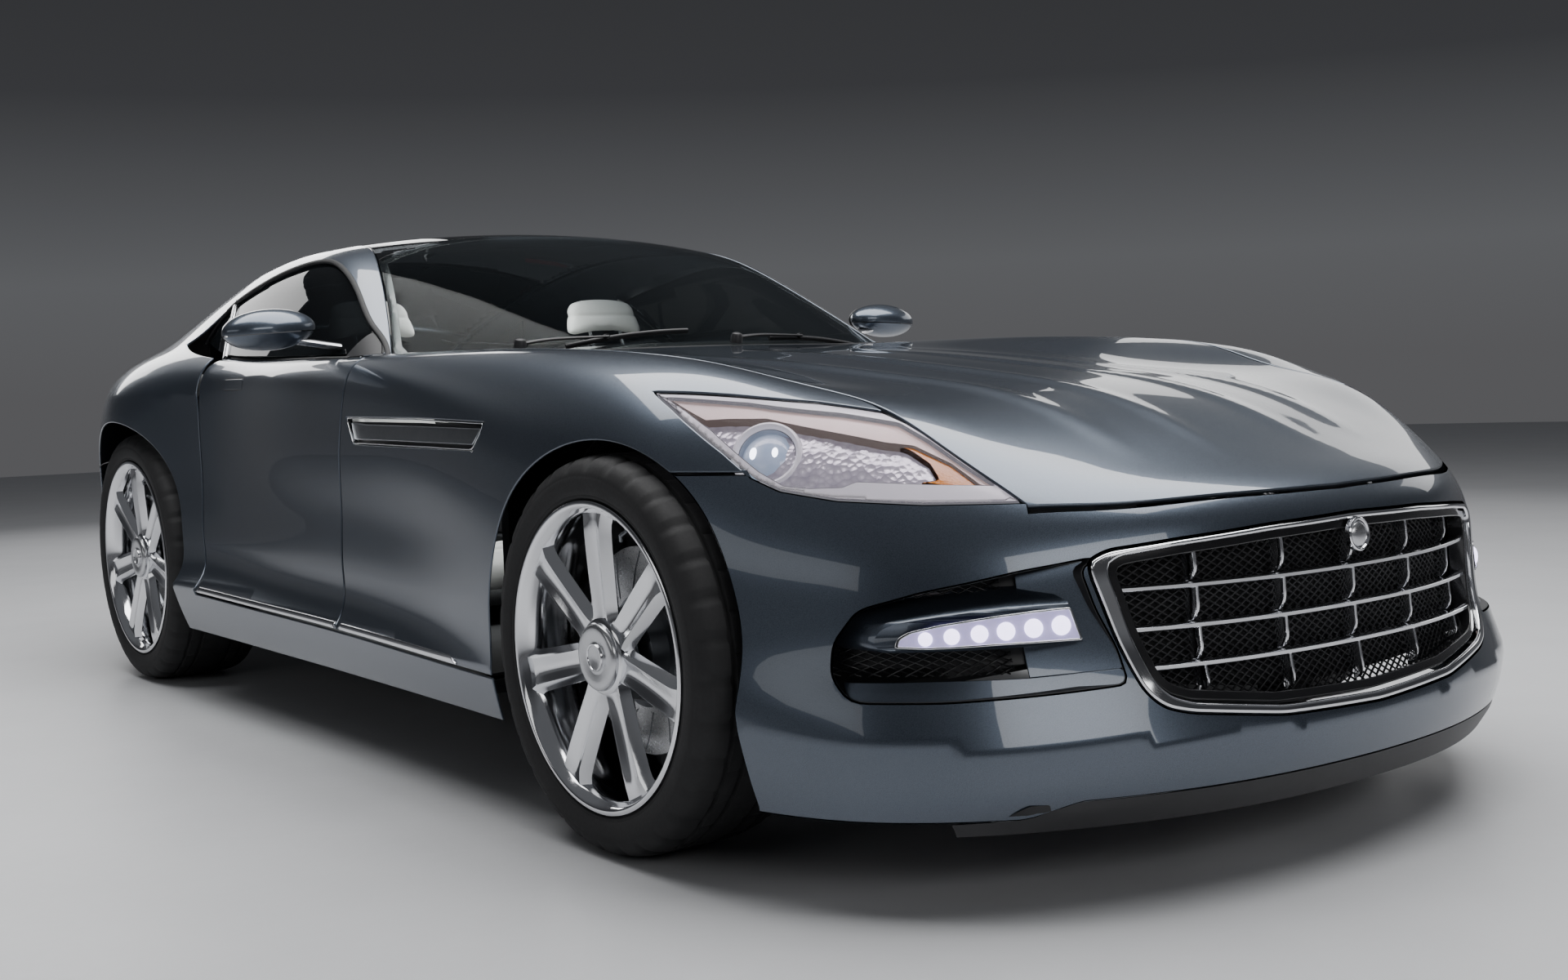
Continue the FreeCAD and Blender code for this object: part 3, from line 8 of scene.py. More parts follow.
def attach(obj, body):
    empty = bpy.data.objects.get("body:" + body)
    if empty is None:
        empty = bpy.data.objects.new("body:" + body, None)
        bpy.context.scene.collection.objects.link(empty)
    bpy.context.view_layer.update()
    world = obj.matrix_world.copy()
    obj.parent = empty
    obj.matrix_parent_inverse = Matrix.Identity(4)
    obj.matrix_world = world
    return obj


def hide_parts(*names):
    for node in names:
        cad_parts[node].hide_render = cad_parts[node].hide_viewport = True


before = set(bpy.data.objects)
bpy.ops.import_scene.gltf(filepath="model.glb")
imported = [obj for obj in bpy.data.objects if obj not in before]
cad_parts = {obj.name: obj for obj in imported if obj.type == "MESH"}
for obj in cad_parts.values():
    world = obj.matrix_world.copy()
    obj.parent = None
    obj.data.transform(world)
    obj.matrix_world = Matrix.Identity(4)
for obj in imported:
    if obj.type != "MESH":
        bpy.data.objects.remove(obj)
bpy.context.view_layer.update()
random.seed(7)

# ---------------------------------------------------------------- body shape
YF, YR = -1.29, 1.22          # axles
RSC = .965/1.0025
# centreline and belt data
ZC_CREASE = [(-3.0, .235), (-2.3, .245), (-1.6, .262), (-1.29, .268), (-.8, .275), (-.2, .287), (.3, .293), (.7, .300), (1.22, .305), (1.8, .31), (2.6, .32), (3.4, .32)]
# z above the crease -> plan curve [(|x|, y)] from the front centre to the rear centre
LEVELS = [-.15, -.08, 0.0, .03, .12, .24, .37, .50, .62]
PLAN = {
 -.15: [(0, -2.130), (.30, -2.100), (.55, -2.010), (.68, -1.935), (.775, -1.845), (.835, -1.72), (.868, -1.55), (.875, -1.29), (.862, -.95), (.852, -.6), (.848, -.2), (.848, .25), (.850, .66), (.858, .95), (.868, 1.22), (.852, 1.40), (.815, 1.57), (.755, 1.74), (.66, 1.91), (.50, 2.05), (.28, 2.13), (0, 2.155)],
 -.08: [(0, -2.165), (.30, -2.137), (.56, -2.045), (.70, -1.950), (.80, -1.835), (.855, -1.70), (.888, -1.52), (.893, -1.29), (.885, -.95), (.878, -.6), (.873, -.2), (.873, .25), (.877, .66), (.885, .95), (.895, 1.22), (.878, 1.40), (.840, 1.57), (.778, 1.75), (.68, 1.925), (.52, 2.075), (.29, 2.165), (0, 2.19)],
 0.0: [(0, -2.185), (.30, -2.155), (.56, -2.062), (.71, -1.955), (.81, -1.835), (.866, -1.69), (.900, -1.51), (.907, -1.29), (.905, -.95), (.899, -.6), (.893, -.2), (.893, .25), (.900, .66), (.908, .95), (.915, 1.22), (.897, 1.40), (.856, 1.57), (.792, 1.75), (.69, 1.93), (.53, 2.085), (.30, 2.18), (0, 2.21)],
 .03: [(0, -2.172), (.30, -2.142), (.56, -2.050), (.71, -1.942), (.81, -1.822), (.866, -1.68), (.902, -1.50), (.911, -1.29), (.903, -.95), (.886, -.6), (.874, -.2), (.869, .25), (.872, .66), (.895, .95), (.918, 1.22), (.900, 1.40), (.858, 1.57), (.795, 1.75), (.692, 1.93), (.53, 2.09), (.30, 2.185), (0, 2.215)],
 .12: [(0, -2.150), (.30, -2.118), (.57, -2.010), (.71, -1.900), (.80, -1.780), (.862, -1.63), (.903, -1.46), (.915, -1.29), (.904, -.95), (.876, -.6), (.860, -.2), (.850, .25), (.848, .66), (.884, .95), (.924, 1.22), (.905, 1.40), (.862, 1.57), (.799, 1.75), (.698, 1.93), (.54, 2.095), (.31, 2.19), (0, 2.2225)],
 .24: [(0, -2.143), (.30, -2.108), (.57, -1.990), (.70, -1.880), (.785, -1.765), (.848, -1.62), (.897, -1.45), (.913, -1.29), (.905, -.95), (.872, -.6), (.855, -.2), (.840, .25), (.828, .66), (.872, .95), (.930, 1.22), (.910, 1.40), (.864, 1.57), (.800, 1.75), (.70, 1.93), (.545, 2.09), (.31, 2.185), (0, 2.215)],
 .37: [(0, -2.130), (.30, -2.092), (.56, -1.965), (.67, -1.865), (.755, -1.745), (.825, -1.595), (.884, -1.44), (.904, -1.29), (.902, -.95), (.876, -.6), (.858, -.2), (.838, .25), (.812, .66), (.862, .95), (.929, 1.22), (.908, 1.40), (.861, 1.57), (.796, 1.75), (.70, 1.92), (.54, 2.075), (.31, 2.165), (0, 2.20)],
 .50: [(0, -2.110), (.30, -2.070), (.545, -1.940), (.65, -1.835), (.73, -1.715), (.802, -1.57), (.865, -1.42), (.888, -1.29), (.885, -.95), (.866, -.6), (.850, -.2), (.830, .25), (.800, .66), (.850, .95), (.916, 1.22), (.893, 1.40), (.846, 1.57), (.782, 1.75), (.69, 1.91), (.53, 2.065), (.31, 2.16), (0, 2.195)],
 .62: [(0, -2.085), (.30, -2.045), (.53, -1.915), (.63, -1.805), (.705, -1.69), (.78, -1.55), (.845, -1.41), (.868, -1.29), (.862, -.95), (.845, -.6), (.830, -.2), (.812, .25), (.785, .66), (.832, .95), (.893, 1.22), (.870, 1.40), (.825, 1.57), (.762, 1.75), (.67, 1.91), (.52, 2.07), (.30, 2.17), (0, 2.21)],
}
TX = [0, .15, .30, .45, .60, .72, .82, .95]
TOP = [  # y, z at TX
 (-2.40, [.440, .436, .415, .37, .30, .22, .13, .00]),
 (-2.30, [.497, .493, .475, .43, .36, .28, .19, .05]),
 (-2.12, [.588, .585, .573, .538, .475, .395, .305, .17]),
 (-1.97, [.652, .650, .640, .620, .573, .505, .430, .31]),
 (-1.85, [.703, .701, .694, .682, .658, .603, .535, .42]),
 (-1.74, [.738, .736, .731, .726, .723, .692, .630, .52]),
 (-1.60, [.766, .764, .760, .757, .763, .757, .715, .62]),
 (-1.45, [.785, .783, .778, .775, .790, .802, .772, .69]),
 (-1.25, [.807, .805, .800, .799, .822, .836, .812, .74]),
 (-1.00, [.831, .829, .824, .824, .843, .856, .838, .77]),
 (-.70, [.853, .851, .848, .848, .858, .867, .856, .80]),
 (-.40, [.872, .871, .868, .866, .868, .871, .866, .82]),
 (0.00, [.885, .884, .882, .880, .877, .875, .868, .83]),
 (.40, [.893, .892, .890, .888, .885, .880, .870, .83]),
 (.80, [.910, .909, .907, .905, .900, .893, .880, .83]),
 (1.20, [.928, .927, .925, .922, .915, .905, .888, .83]),
 (1.50, [.930, .929, .926, .921, .908, .892, .868, .80]),
 (1.80, [.920, .919, .914, .904, .882, .856, .820, .74]),
 (2.00, [.905, .904, .897, .880, .848, .812, .765, .66]),
 (2.15, [.886, .884, .874, .848, .805, .755, .695, .58]),
 (2.30, [.850, .846, .830, .792, .735, .670, .600, .48]),
 (2.40, [.810, .804, .782, .735, .665, .590, .510, .38])]
ZROOF = [(-.9, .60), (-.6, .775), (-.45, .862), (-.2, .992), (0, 1.087), (.2, 1.163), (.35, 1.193), (.5, 1.206), (.7, 1.217), (.9, 1.214), (1.1, 1.190), (1.3, 1.146), (1.5, 1.086), (1.7, 1.018), (1.9, .950), (2.1, .880), (2.4, .77)]
XGLASS = [(-.9, .70), (-.3, .765), (0, .777), (.3, .777), (.6, .766), (.9, .738), (1.2, .695), (1.5, .640), (1.8, .57), (2.1, .49), (2.5, .36)]
K1 = [(-3.2, .10), (-2.6, .10), (-2.1, .12), (-1.7, .22), (-1.29, .24), (-.7, .17), (-.2, .10), (.4, .08), (.8, .12), (1.22, .20), (1.6, .20), (2.2, .12), (3.0, .09), (3.6, .09)]
K2 = [(-1.5, .015), (-.3, .015), (.5, .02), (.8, .10), (1.2, .26), (1.6, .26), (2.0, .12), (2.5, .08)]


class Spline:
    """Natural cubic spline through (t, value) pairs."""
    def __init__(s, pts):
        s.t = [p[0] for p in pts]; s.v = [p[1] for p in pts]
        n = len(pts); a = [0]*n; b = [1.0]*n; c = [0]*n; d = [0.0]*n
        for i in range(1, n-1):
            h0, h1 = s.t[i]-s.t[i-1], s.t[i+1]-s.t[i]
            a[i], b[i], c[i] = h0, 2*(h0+h1), h1
            d[i] = 6*((s.v[i+1]-s.v[i])/h1-(s.v[i]-s.v[i-1])/h0)
        for i in range(1, n):
            w = a[i]/b[i-1]; b[i] -= w*c[i-1]; d[i] -= w*d[i-1]
        m = [0.0]*n
        m[n-1] = 0.0
        for i in range(n-2, -1, -1):
            m[i] = (d[i]-c[i]*m[i+1])/b[i]
        s.m = m
    def __call__(s, x):
        t, v, m = s.t, s.v, s.m
        n = len(t)
        if x <= t[0]: 
            h = t[1]-t[0]; k = (v[1]-v[0])/h-h*m[1]/6-h*m[0]/3
            return v[0]+k*(x-t[0])
        if x >= t[-1]:
            h = t[-1]-t[-2]; k = (v[-1]-v[-2])/h+h*m[-2]/6+h*m[-1]/3
            return v[-1]+k*(x-t[-1])
        lo, hi = 0, n-1
        while hi-lo > 1:
            q = (lo+hi)//2
            if t[q] > x: hi = q
            else: lo = q
        h = t[hi]-t[lo]; A = (t[hi]-x)/h; B = 1-A
        return A*v[lo]+B*v[hi]+((A**3-A)*m[lo]+(B**3-B)*m[hi])*h*h/6

def plan_curve(pts, n=420):
    """Dense C2 curve through plan points, mirror-symmetric at both ends."""
    pts = [(x, y if y < YR else YR+(y-YR)*RSC) for x, y in pts]
    ext = [(-pts[2][0], pts[2][1]), (-pts[1][0], pts[1][1])]+list(pts)+[(-pts[-2][0], pts[-2][1]), (-pts[-3][0], pts[-3][1])]
    t = [0.0]
    for i in range(1, len(ext)):
        t.append(t[-1]+math.hypot(ext[i][0]-ext[i-1][0], ext[i][1]-ext[i-1][1])**.75)
    sx = Spline([(a, p[0]) for a, p in zip(t, ext)]); sy = Spline([(a, p[1]) for a, p in zip(t, ext)])
    t0, t1 = t[2], t[-3]
    return [(sx(t0+(t1-t0)*i/n), sy(t0+(t1-t0)*i/n)) for i in range(n+1)]

KF, KR = .90, .93
S0, S1 = YF-KF*math.pi/2, YR+KR*math.pi/2   # s at the front and rear centre
def sr(x, y):
    """(s, rho): position along the belt and distance from its spine."""
    ax = abs(x)
    if y < YF:
        a = math.atan2(ax, YF-y)           # 0 straight ahead
        return YF-KF*(math.pi/2-a), math.hypot(ax, YF-y)
    if y > YR:
        a = math.atan2(ax, y-YR)
        return YR+KR*(math.pi/2-a), math.hypot(ax, y-YR)
    return y, ax
def plan_dir(s):
    """Base point and outward unit direction in plan at s, for the x<0 side."""
    if s < YF:
        a = math.pi/2-(YF-s)/KF
        return (0.0, YF), (-math.sin(a), -math.cos(a))
    if s > YR:
        a = math.pi/2-(s-YR)/KR
        return (0.0, YR), (-math.sin(a), math.cos(a))
    return (0.0, s), (-1.0, 0.0)

NS = 300
DS = (S1-S0)/NS
ZLO, ZHI, DZ = -.20, .80, .02
def build_side():
    rows = []
    for lv in LEVELS:
        c = plan_curve(PLAN[lv])
        sv = [sr(-abs(x), y) for x, y in c]
        out = []; j = 0
        for i in range(NS+1):
            s = S0+DS*i
            while j < len(sv)-2 and sv[j+1][0] < s: j += 1
            a, b = sv[j], sv[j+1]
            f = (s-a[0])/(b[0]-a[0]) if b[0] != a[0] else 0
            out.append(a[1]+(b[1]-a[1])*f)
        rows.append(out)
    lo_t, up_t = [], []
    ic = LEVELS.index(0.0)
    nz = int(round((ZHI-ZLO)/DZ))
    for i in range(NS+1):
        lo = Spline([(LEVELS[k], rows[k][i]) for k in range(ic+1)])
        up = Spline([(LEVELS[k], rows[k][i]) for k in range(ic, len(LEVELS))])
        lo_t.append([lo(ZLO+DZ*k) for k in range(nz+1)])
        up_t.append([up(ZLO+DZ*k) for k in range(nz+1)])
    return lo_t, up_t
def build_top():
    """z on a dense (x, y) grid; x mirrored about 0."""
    ext = [-x for x in TX[:0:-1]]+TX
    ny, nx = 120, 48
    y0, y1 = -2.40, 2.40
    cols = [Spline([(r[0], r[1][k]) for r in TOP]) for k in range(len(TX))]
    g = []
    for i in range(ny+1):
        y = y0+(y1-y0)*i/ny
        v = [c(y) for c in cols]
        sp = Spline(list(zip(ext, v[:0:-1]+v)))
        g.append([sp(.96*k/nx) for k in range(nx+1)])
    return g, (y0, (y1-y0)/ny, .96/nx)
SIDE_LO, SIDE_UP = build_side()
TOPG, TOPP = build_top()
S_CREASE, S_ROOF, S_GLASS, S_K1, S_K2 = Spline(ZC_CREASE), Spline(ZROOF), Spline(XGLASS), Spline(K1), Spline(K2)



class NC:
    """Natural cubic spline on arrays."""
    def __init__(s, pts):
        q = Spline(pts)
        s.t, s.v, s.m = np.array(q.t, float), np.array(q.v, float), np.array(q.m, float)
        t, v, m = s.t, s.v, s.m
        h = t[1]-t[0]; s.k0 = (v[1]-v[0])/h-h*m[1]/6-h*m[0]/3
        h = t[-1]-t[-2]; s.k1 = (v[-1]-v[-2])/h+h*m[-2]/6+h*m[-1]/3
    def __call__(s, x):
        x = np.asarray(x, float)
        xc = np.clip(x, s.t[0], s.t[-1])
        i = np.clip(np.searchsorted(s.t, xc, side='right')-1, 0, len(s.t)-2)
        h = s.t[i+1]-s.t[i]; A = (s.t[i+1]-xc)/h; B = 1-A
        y = A*s.v[i]+B*s.v[i+1]+((A**3-A)*s.m[i]+(B**3-B)*s.m[i+1])*h*h/6
        return y+np.where(x < s.t[0], s.k0*(x-s.t[0]), 0)+np.where(x > s.t[-1], s.k1*(x-s.t[-1]), 0)

SIDE_LO, SIDE_UP = [np.array(a) for a in build_side()]
TOPG, TOPP = build_top(); TOPG = np.array(TOPG)
S_CREASE, S_ROOF, S_GLASS, S_K1, S_K2 = NC(ZC_CREASE), NC(ZROOF), NC(XGLASS), NC(K1), NC(K2)

def _w(f):
    return (-.5*f+f*f-.5*f**3, 1-2.5*f*f+1.5*f**3, .5*f+2*f*f-1.5*f**3, -.5*f*f+.5*f**3)
def bi(g, a, b):
    n, m = g.shape[0]-1, g.shape[1]-1
    a = np.clip(a, 0, n-1e-9); b = np.clip(b, 0, m-1e-9)
    i, j = a.astype(int), b.astype(int)
    wa, wb = _w(a-i), _w(b-j)
    js = [np.clip(j+k, 0, m) for k in (-1, 0, 1, 2)]
    out = 0
    for k in range(4):
        ii = np.clip(i+k-1, 0, n)
        out = out+wa[k]*(wb[0]*g[ii, js[0]]+wb[1]*g[ii, js[1]]+wb[2]*g[ii, js[2]]+wb[3]*g[ii, js[3]])
    return out
def n_sr(x, y):
    ax = np.abs(x)
    af = np.arctan2(ax, YF-y); ar = np.arctan2(ax, y-YR)
    f, r = y < YF, y > YR
    s = np.where(f, YF-KF*(np.pi/2-af), np.where(r, YR+KR*(np.pi/2-ar), y))
    rho = np.where(f, np.hypot(ax, YF-y), np.where(r, np.hypot(ax, y-YR), ax))
    return s, rho
def n_side(s, z):
    d = z-S_CREASE(s)
    a, b = (s-S0)/DS, (d-ZLO)/DZ
    return np.where(d < 0, bi(SIDE_LO, a, b), bi(SIDE_UP, a, b))
def n_smax(a, b, k):
    h = np.maximum(k-np.abs(a-b), 0)/k
    return np.maximum(a, b)+h*h*h*k/6
# raised ribs of the hood: x of the rib, height and half width along y
RIBS = [(NC([(-1.75, .118), (-1.5, .116), (-1.0, .12), (-.4, .13)]), NC([(-2.1, 0), (-2.02, .0), (-1.9, .0022), (-1.7, .0042), (-1.4, .005), (-1.0, .003), (-.7, 0), (-.4, 0)]), .030),
        (NC([(-1.95, .295), (-1.6, .300), (-1.1, .315), (-.4, .36)]), NC([(-2.1, 0), (-1.98, .0), (-1.86, .0022), (-1.68, .0048), (-1.4, .006), (-1.0, .004), (-.7, .0005), (-.4, 0)]), .034)]
def n_top(x, y):
    ax = np.abs(x)
    z = bi(TOPG, (y-TOPP[0])/TOPP[1], ax/TOPP[2])
    for xc, hh, w in RIBS:
        u = (ax-xc(y))/w
        z = z+np.clip(hh(y), 0, 1)*np.exp(-u*u*1.2)*np.where(u > 0, 1, 1)
    return z
def n_roof(x, y):
    w = np.clip((.9-y)/.9, 0, 1); w = w*w*(3-2*w)
    return S_ROOF(y-(.42*w-.10*(1-w))*x*x)-(.06+.16*(1-w))*x*x
def F_lower(x, y, z):
    s, r = n_sr(x, y)
    return n_smax(r-n_side(s, z), z-n_top(x, y), S_K1(s))
def F_cabin(x, y, z):
    return n_smax(z-n_roof(x, y), (np.abs(x)-(S_GLASS(y)-.50*(z-.87)))*.894, .13)
def F_house(x, y, z):
    g = np.where(z > .80, S_GLASS(y)-.50*(z-.87), S_GLASS(y)+.035-.9*(.80-z))
    return n_smax(n_smax(z-n_roof(x, y), (np.abs(x)-g)*.894, .13), y-2.04, .10)
def F_body(x, y, z):
    return -n_smax(-F_lower(x, y, z), -F_house(x, y, z), S_K2(y))
def shift(f, d):
    return lambda x, y, z: f(x, y, z)+d

def n_cast(o, d, f, t0=.03, t1=1.6):
    """First crossing of f along many rays. o, d are (n, 3)."""
    n = len(o)
    a = np.full(n, float(t0)) if np.isscalar(t0) else t0.copy(); b = np.full(n, float(t1))
    for k in range(9):
        m = .5*(a+b); q = o+d*m[:, None]
        v = f(q[:, 0], q[:, 1], q[:, 2]) < 0
        a = np.where(v, m, a); b = np.where(v, b, m)
    qa, qb = o+d*a[:, None], o+d*b[:, None]
    fa, fb = f(*qa.T), f(*qb.T)
    side = np.zeros(n)
    for k in range(7):
        m = (fa*b-fb*a)/np.where(np.abs(fa-fb) < 1e-14, 1e-14, fa-fb)
        m = np.clip(m, a, b)
        q = o+d*m[:, None]; fm = f(*q.T)
        neg = fm < 0
        fb = np.where(neg & (side == -1), fb*.5, fb); fa = np.where(~neg & (side == 1), fa*.5, fa)
        a = np.where(neg, m, a); fa = np.where(neg, fm, fa)
        b = np.where(neg, b, m); fb = np.where(neg, fb, fm)
        side = np.where(neg, -1, 1)
    return o+d*m[:, None]
def n_grad(p, f, e=6e-4):
    g = np.empty_like(p)
    for k in range(3):
        h = np.zeros(3); h[k] = e
        g[:, k] = f(*(p+h).T)-f(*(p-h).T)
    return g/np.maximum(np.linalg.norm(g, axis=1, keepdims=True), 1e-12)
SC = .5          # metres of panel per radian of the belt angle
def belt_rays(s, a):
    s = np.asarray(s, float); a = np.asarray(a, float)
    sg = np.where((s < S0) | (s > S1), -1.0, 1.0)
    s = np.where(s < S0, 2*S0-s, np.where(s > S1, 2*S1-s, s))
    pf = np.pi/2-(YF-s)/KF; pr = np.pi/2-(s-YR)/KR
    f, r = s < YF, s > YR
    dx = -np.where(f, np.sin(pf), np.where(r, np.sin(pr), 1.0))*sg
    dy = np.where(f, -np.cos(pf), np.where(r, np.cos(pr), 0.0))
    by = np.where(f, YF, np.where(r, YR, s))
    o = np.stack([dx*R0, by+dy*R0, np.full_like(dx, Z0)], 1)
    d = np.stack([dx*np.cos(a), dy*np.cos(a), np.sin(a)], 1)
    return o, d
R0, Z0 = .35, .45
def map_belt(f=F_body):
    def m(uv):
        o, d = belt_rays(uv[:, 0], uv[:, 1]/SC)
        p = n_cast(o, d, f); return p, n_grad(p, f)
    return m
def map_top(f=F_body, below=None):
    def m(uv):
        z0 = np.full(len(uv), .25) if below is None else below(uv[:, 0], uv[:, 1])
        o = np.stack([uv[:, 0], uv[:, 1], z0], 1)
        p = n_cast(o, np.tile([0, 0, 1.0], (len(uv), 1)), f); return p, n_grad(p, f)
    return m
def map_cabin(f=F_cabin, k=.42):
    def m(uv):
        a = uv[:, 1]/k
        o = np.stack([np.full(len(uv), -.25), uv[:, 0], np.full(len(uv), .60)], 1)
        d = np.stack([-np.cos(a), 0*a, np.sin(a)], 1)
        p = n_cast(o, d, f, .03, 1.0); return p, n_grad(p, f)
    return m
def map_tail(f=F_body, k=.33):
    def m(uv):
        a = uv[:, 1]/k
        o = np.stack([uv[:, 0], np.full(len(uv), 1.86), np.full(len(uv), .60)], 1)
        d = np.stack([0*a, np.cos(a), np.sin(a)], 1)
        p = n_cast(o, d, f, .03, 1.0); return p, n_grad(p, f)
    return m
def sa_of(p):
    s, r = n_sr(p[:, 0], p[:, 1])
    return np.stack([s, np.arctan2(p[:, 2]-Z0, r-R0)*SC], 1)
def cabin_of(p, k=.42):
    return np.stack([p[:, 1], np.arctan2(p[:, 2]-.60, -p[:, 0]-.25)*k], 1)
def tail_of(p, k=.33):
    return np.stack([p[:, 0], np.arctan2(p[:, 2]-.60, p[:, 1]-1.86)*k], 1)
A = lambda *q: np.array(q, float)
def side(yz, f=F_body):
    """Points of the right side seen along X."""
    yz = np.atleast_2d(np.array(yz, float))
    o = np.stack([np.full(len(yz), -.05), yz[:, 0], yz[:, 1]], 1)
    return n_cast(o, np.tile([-1.0, 0, 0], (len(yz), 1)), f, .02, 1.2)
def over(xy, f=F_body, z0=.30):
    xy = np.atleast_2d(np.array(xy, float))
    o = np.stack([xy[:, 0], xy[:, 1], np.full(len(xy), z0)], 1)
    return n_cast(o, np.tile([0, 0, 1.0], (len(xy), 1)), f, .02, 1.2)
def ahead(xz, f=F_body, y0=-1.0, sg=-1):
    xz = np.atleast_2d(np.array(xz, float))
    o = np.stack([xz[:, 0], np.full(len(xz), y0), xz[:, 1]], 1)
    return n_cast(o, np.tile([0, sg*1.0, 0], (len(xz), 1)), f, .02, 1.6)
def along(p, d, f=F_body, back=.30):
    """Points p moved along d onto the body."""
    p = np.atleast_2d(np.array(p, float)); d = np.array(d, float); d /= np.linalg.norm(d)
    return n_cast(p-d*back, np.tile(d, (len(p), 1)), f, 0.0, back+.35)
def resample(pts, n):
    t = [0.0]
    for i in range(1, len(pts)):
        t.append(t[-1]+math.dist(pts[i], pts[i-1]))
    sp = [NC([(a, p[k]) for a, p in zip(t, pts)]) for k in range(len(pts[0]))]
    u = np.linspace(0, t[-1], n)
    return np.stack([s(u) for s in sp], 1)
def even(loop, h):
    """Open polyline at even steps of about h, ends kept."""
    loop = np.asarray(loop, float)
    d = np.r_[0, np.cumsum(np.linalg.norm(np.diff(loop, axis=0), axis=1))]
    n = max(int(round(d[-1]/h)), 1)
    u = np.linspace(0, d[-1], n+1)
    return np.stack([np.interp(u, d, loop[:, k]) for k in range(loop.shape[1])], 1)
def closed(segs, h=.010):
    """Closed loop from open segments that share their ends (corners stay sharp)."""
    out = []
    for i, s in enumerate(segs):
        s = np.asarray(s, float); nx = np.asarray(segs[(i+1) % len(segs)], float)[0]
        if np.linalg.norm(s[-1]-nx) > 1e-4:
            e = even(s, h); out.append(e[:-1]); out.append(even(np.array([s[-1], nx]), h)[:-1])
        else:
            out.append(even(s, h)[:-1])
    return np.concatenate(out)
def area2(p):
    return .5*np.sum(p[:, 0]*np.roll(p[:, 1], -1)-np.roll(p[:, 0], -1)*p[:, 1])
def inset(p, d):
    """Closed 2-D loop moved inward by d (outward when negative)."""
    sg = 1 if area2(p) > 0 else -1
    e1 = p-np.roll(p, 1, 0); e2 = np.roll(p, -1, 0)-p
    l1 = np.maximum(np.linalg.norm(e1, axis=1, keepdims=True), 1e-9); l2 = np.maximum(np.linalg.norm(e2, axis=1, keepdims=True), 1e-9)
    n1 = np.stack([-e1[:, 1], e1[:, 0]], 1)/l1*sg; n2 = np.stack([-e2[:, 1], e2[:, 0]], 1)/l2*sg
    b = n1+n2; lb = np.maximum(np.linalg.norm(b, axis=1, keepdims=True), .3)
    c = np.maximum(np.sum(n1*b, axis=1, keepdims=True)/lb, .5)
    return p+b/lb*d/c
def inside(pt, poly):
    x, y = pt[:, 0], pt[:, 1]
    c = np.zeros(len(pt), bool)
    a = poly; b = np.roll(poly, -1, 0)
    for (x0, y0), (x1, y1) in zip(a, b):
        if y0 == y1: continue
        k = ((y0 > y) != (y1 > y)) & (x < (x1-x0)*(y-y0)/(y1-y0)+x0)
        c ^= k
    return c
def dist_to(pt, poly):
    d = np.full(len(pt), 9.0)
    for a, b in zip(poly, np.roll(poly, -1, 0)):
        e = b-a; L = e@e
        if L < 1e-14: continue
        t = np.clip(((pt-a)@e)/L, 0, 1)
        d = np.minimum(d, np.linalg.norm(pt-a-t[:, None]*e, axis=1))
    return d
def obj_from(name, verts, faces, normals=None, mats=(), fmat=None, smooth=True):
    me = bpy.data.meshes.new(name)
    me.from_pydata([tuple(map(float, v)) for v in verts], [], [tuple(map(int, f)) for f in faces])
    me.validate(clean_customdata=False)
    for m in mats: me.materials.append(m)
    if fmat is not None:
        me.polygons.foreach_set("material_index", np.asarray(fmat, np.int32))
    me.polygons.foreach_set("use_smooth", [smooth]*len(me.polygons))
    if normals is not None and len(normals) == len(me.vertices):
        me.normals_split_custom_set_from_vertices([tuple(map(float, n)) for n in normals])
    ob = bpy.data.objects.new(name, me)
    bpy.context.scene.collection.objects.link(ob)
    return ob

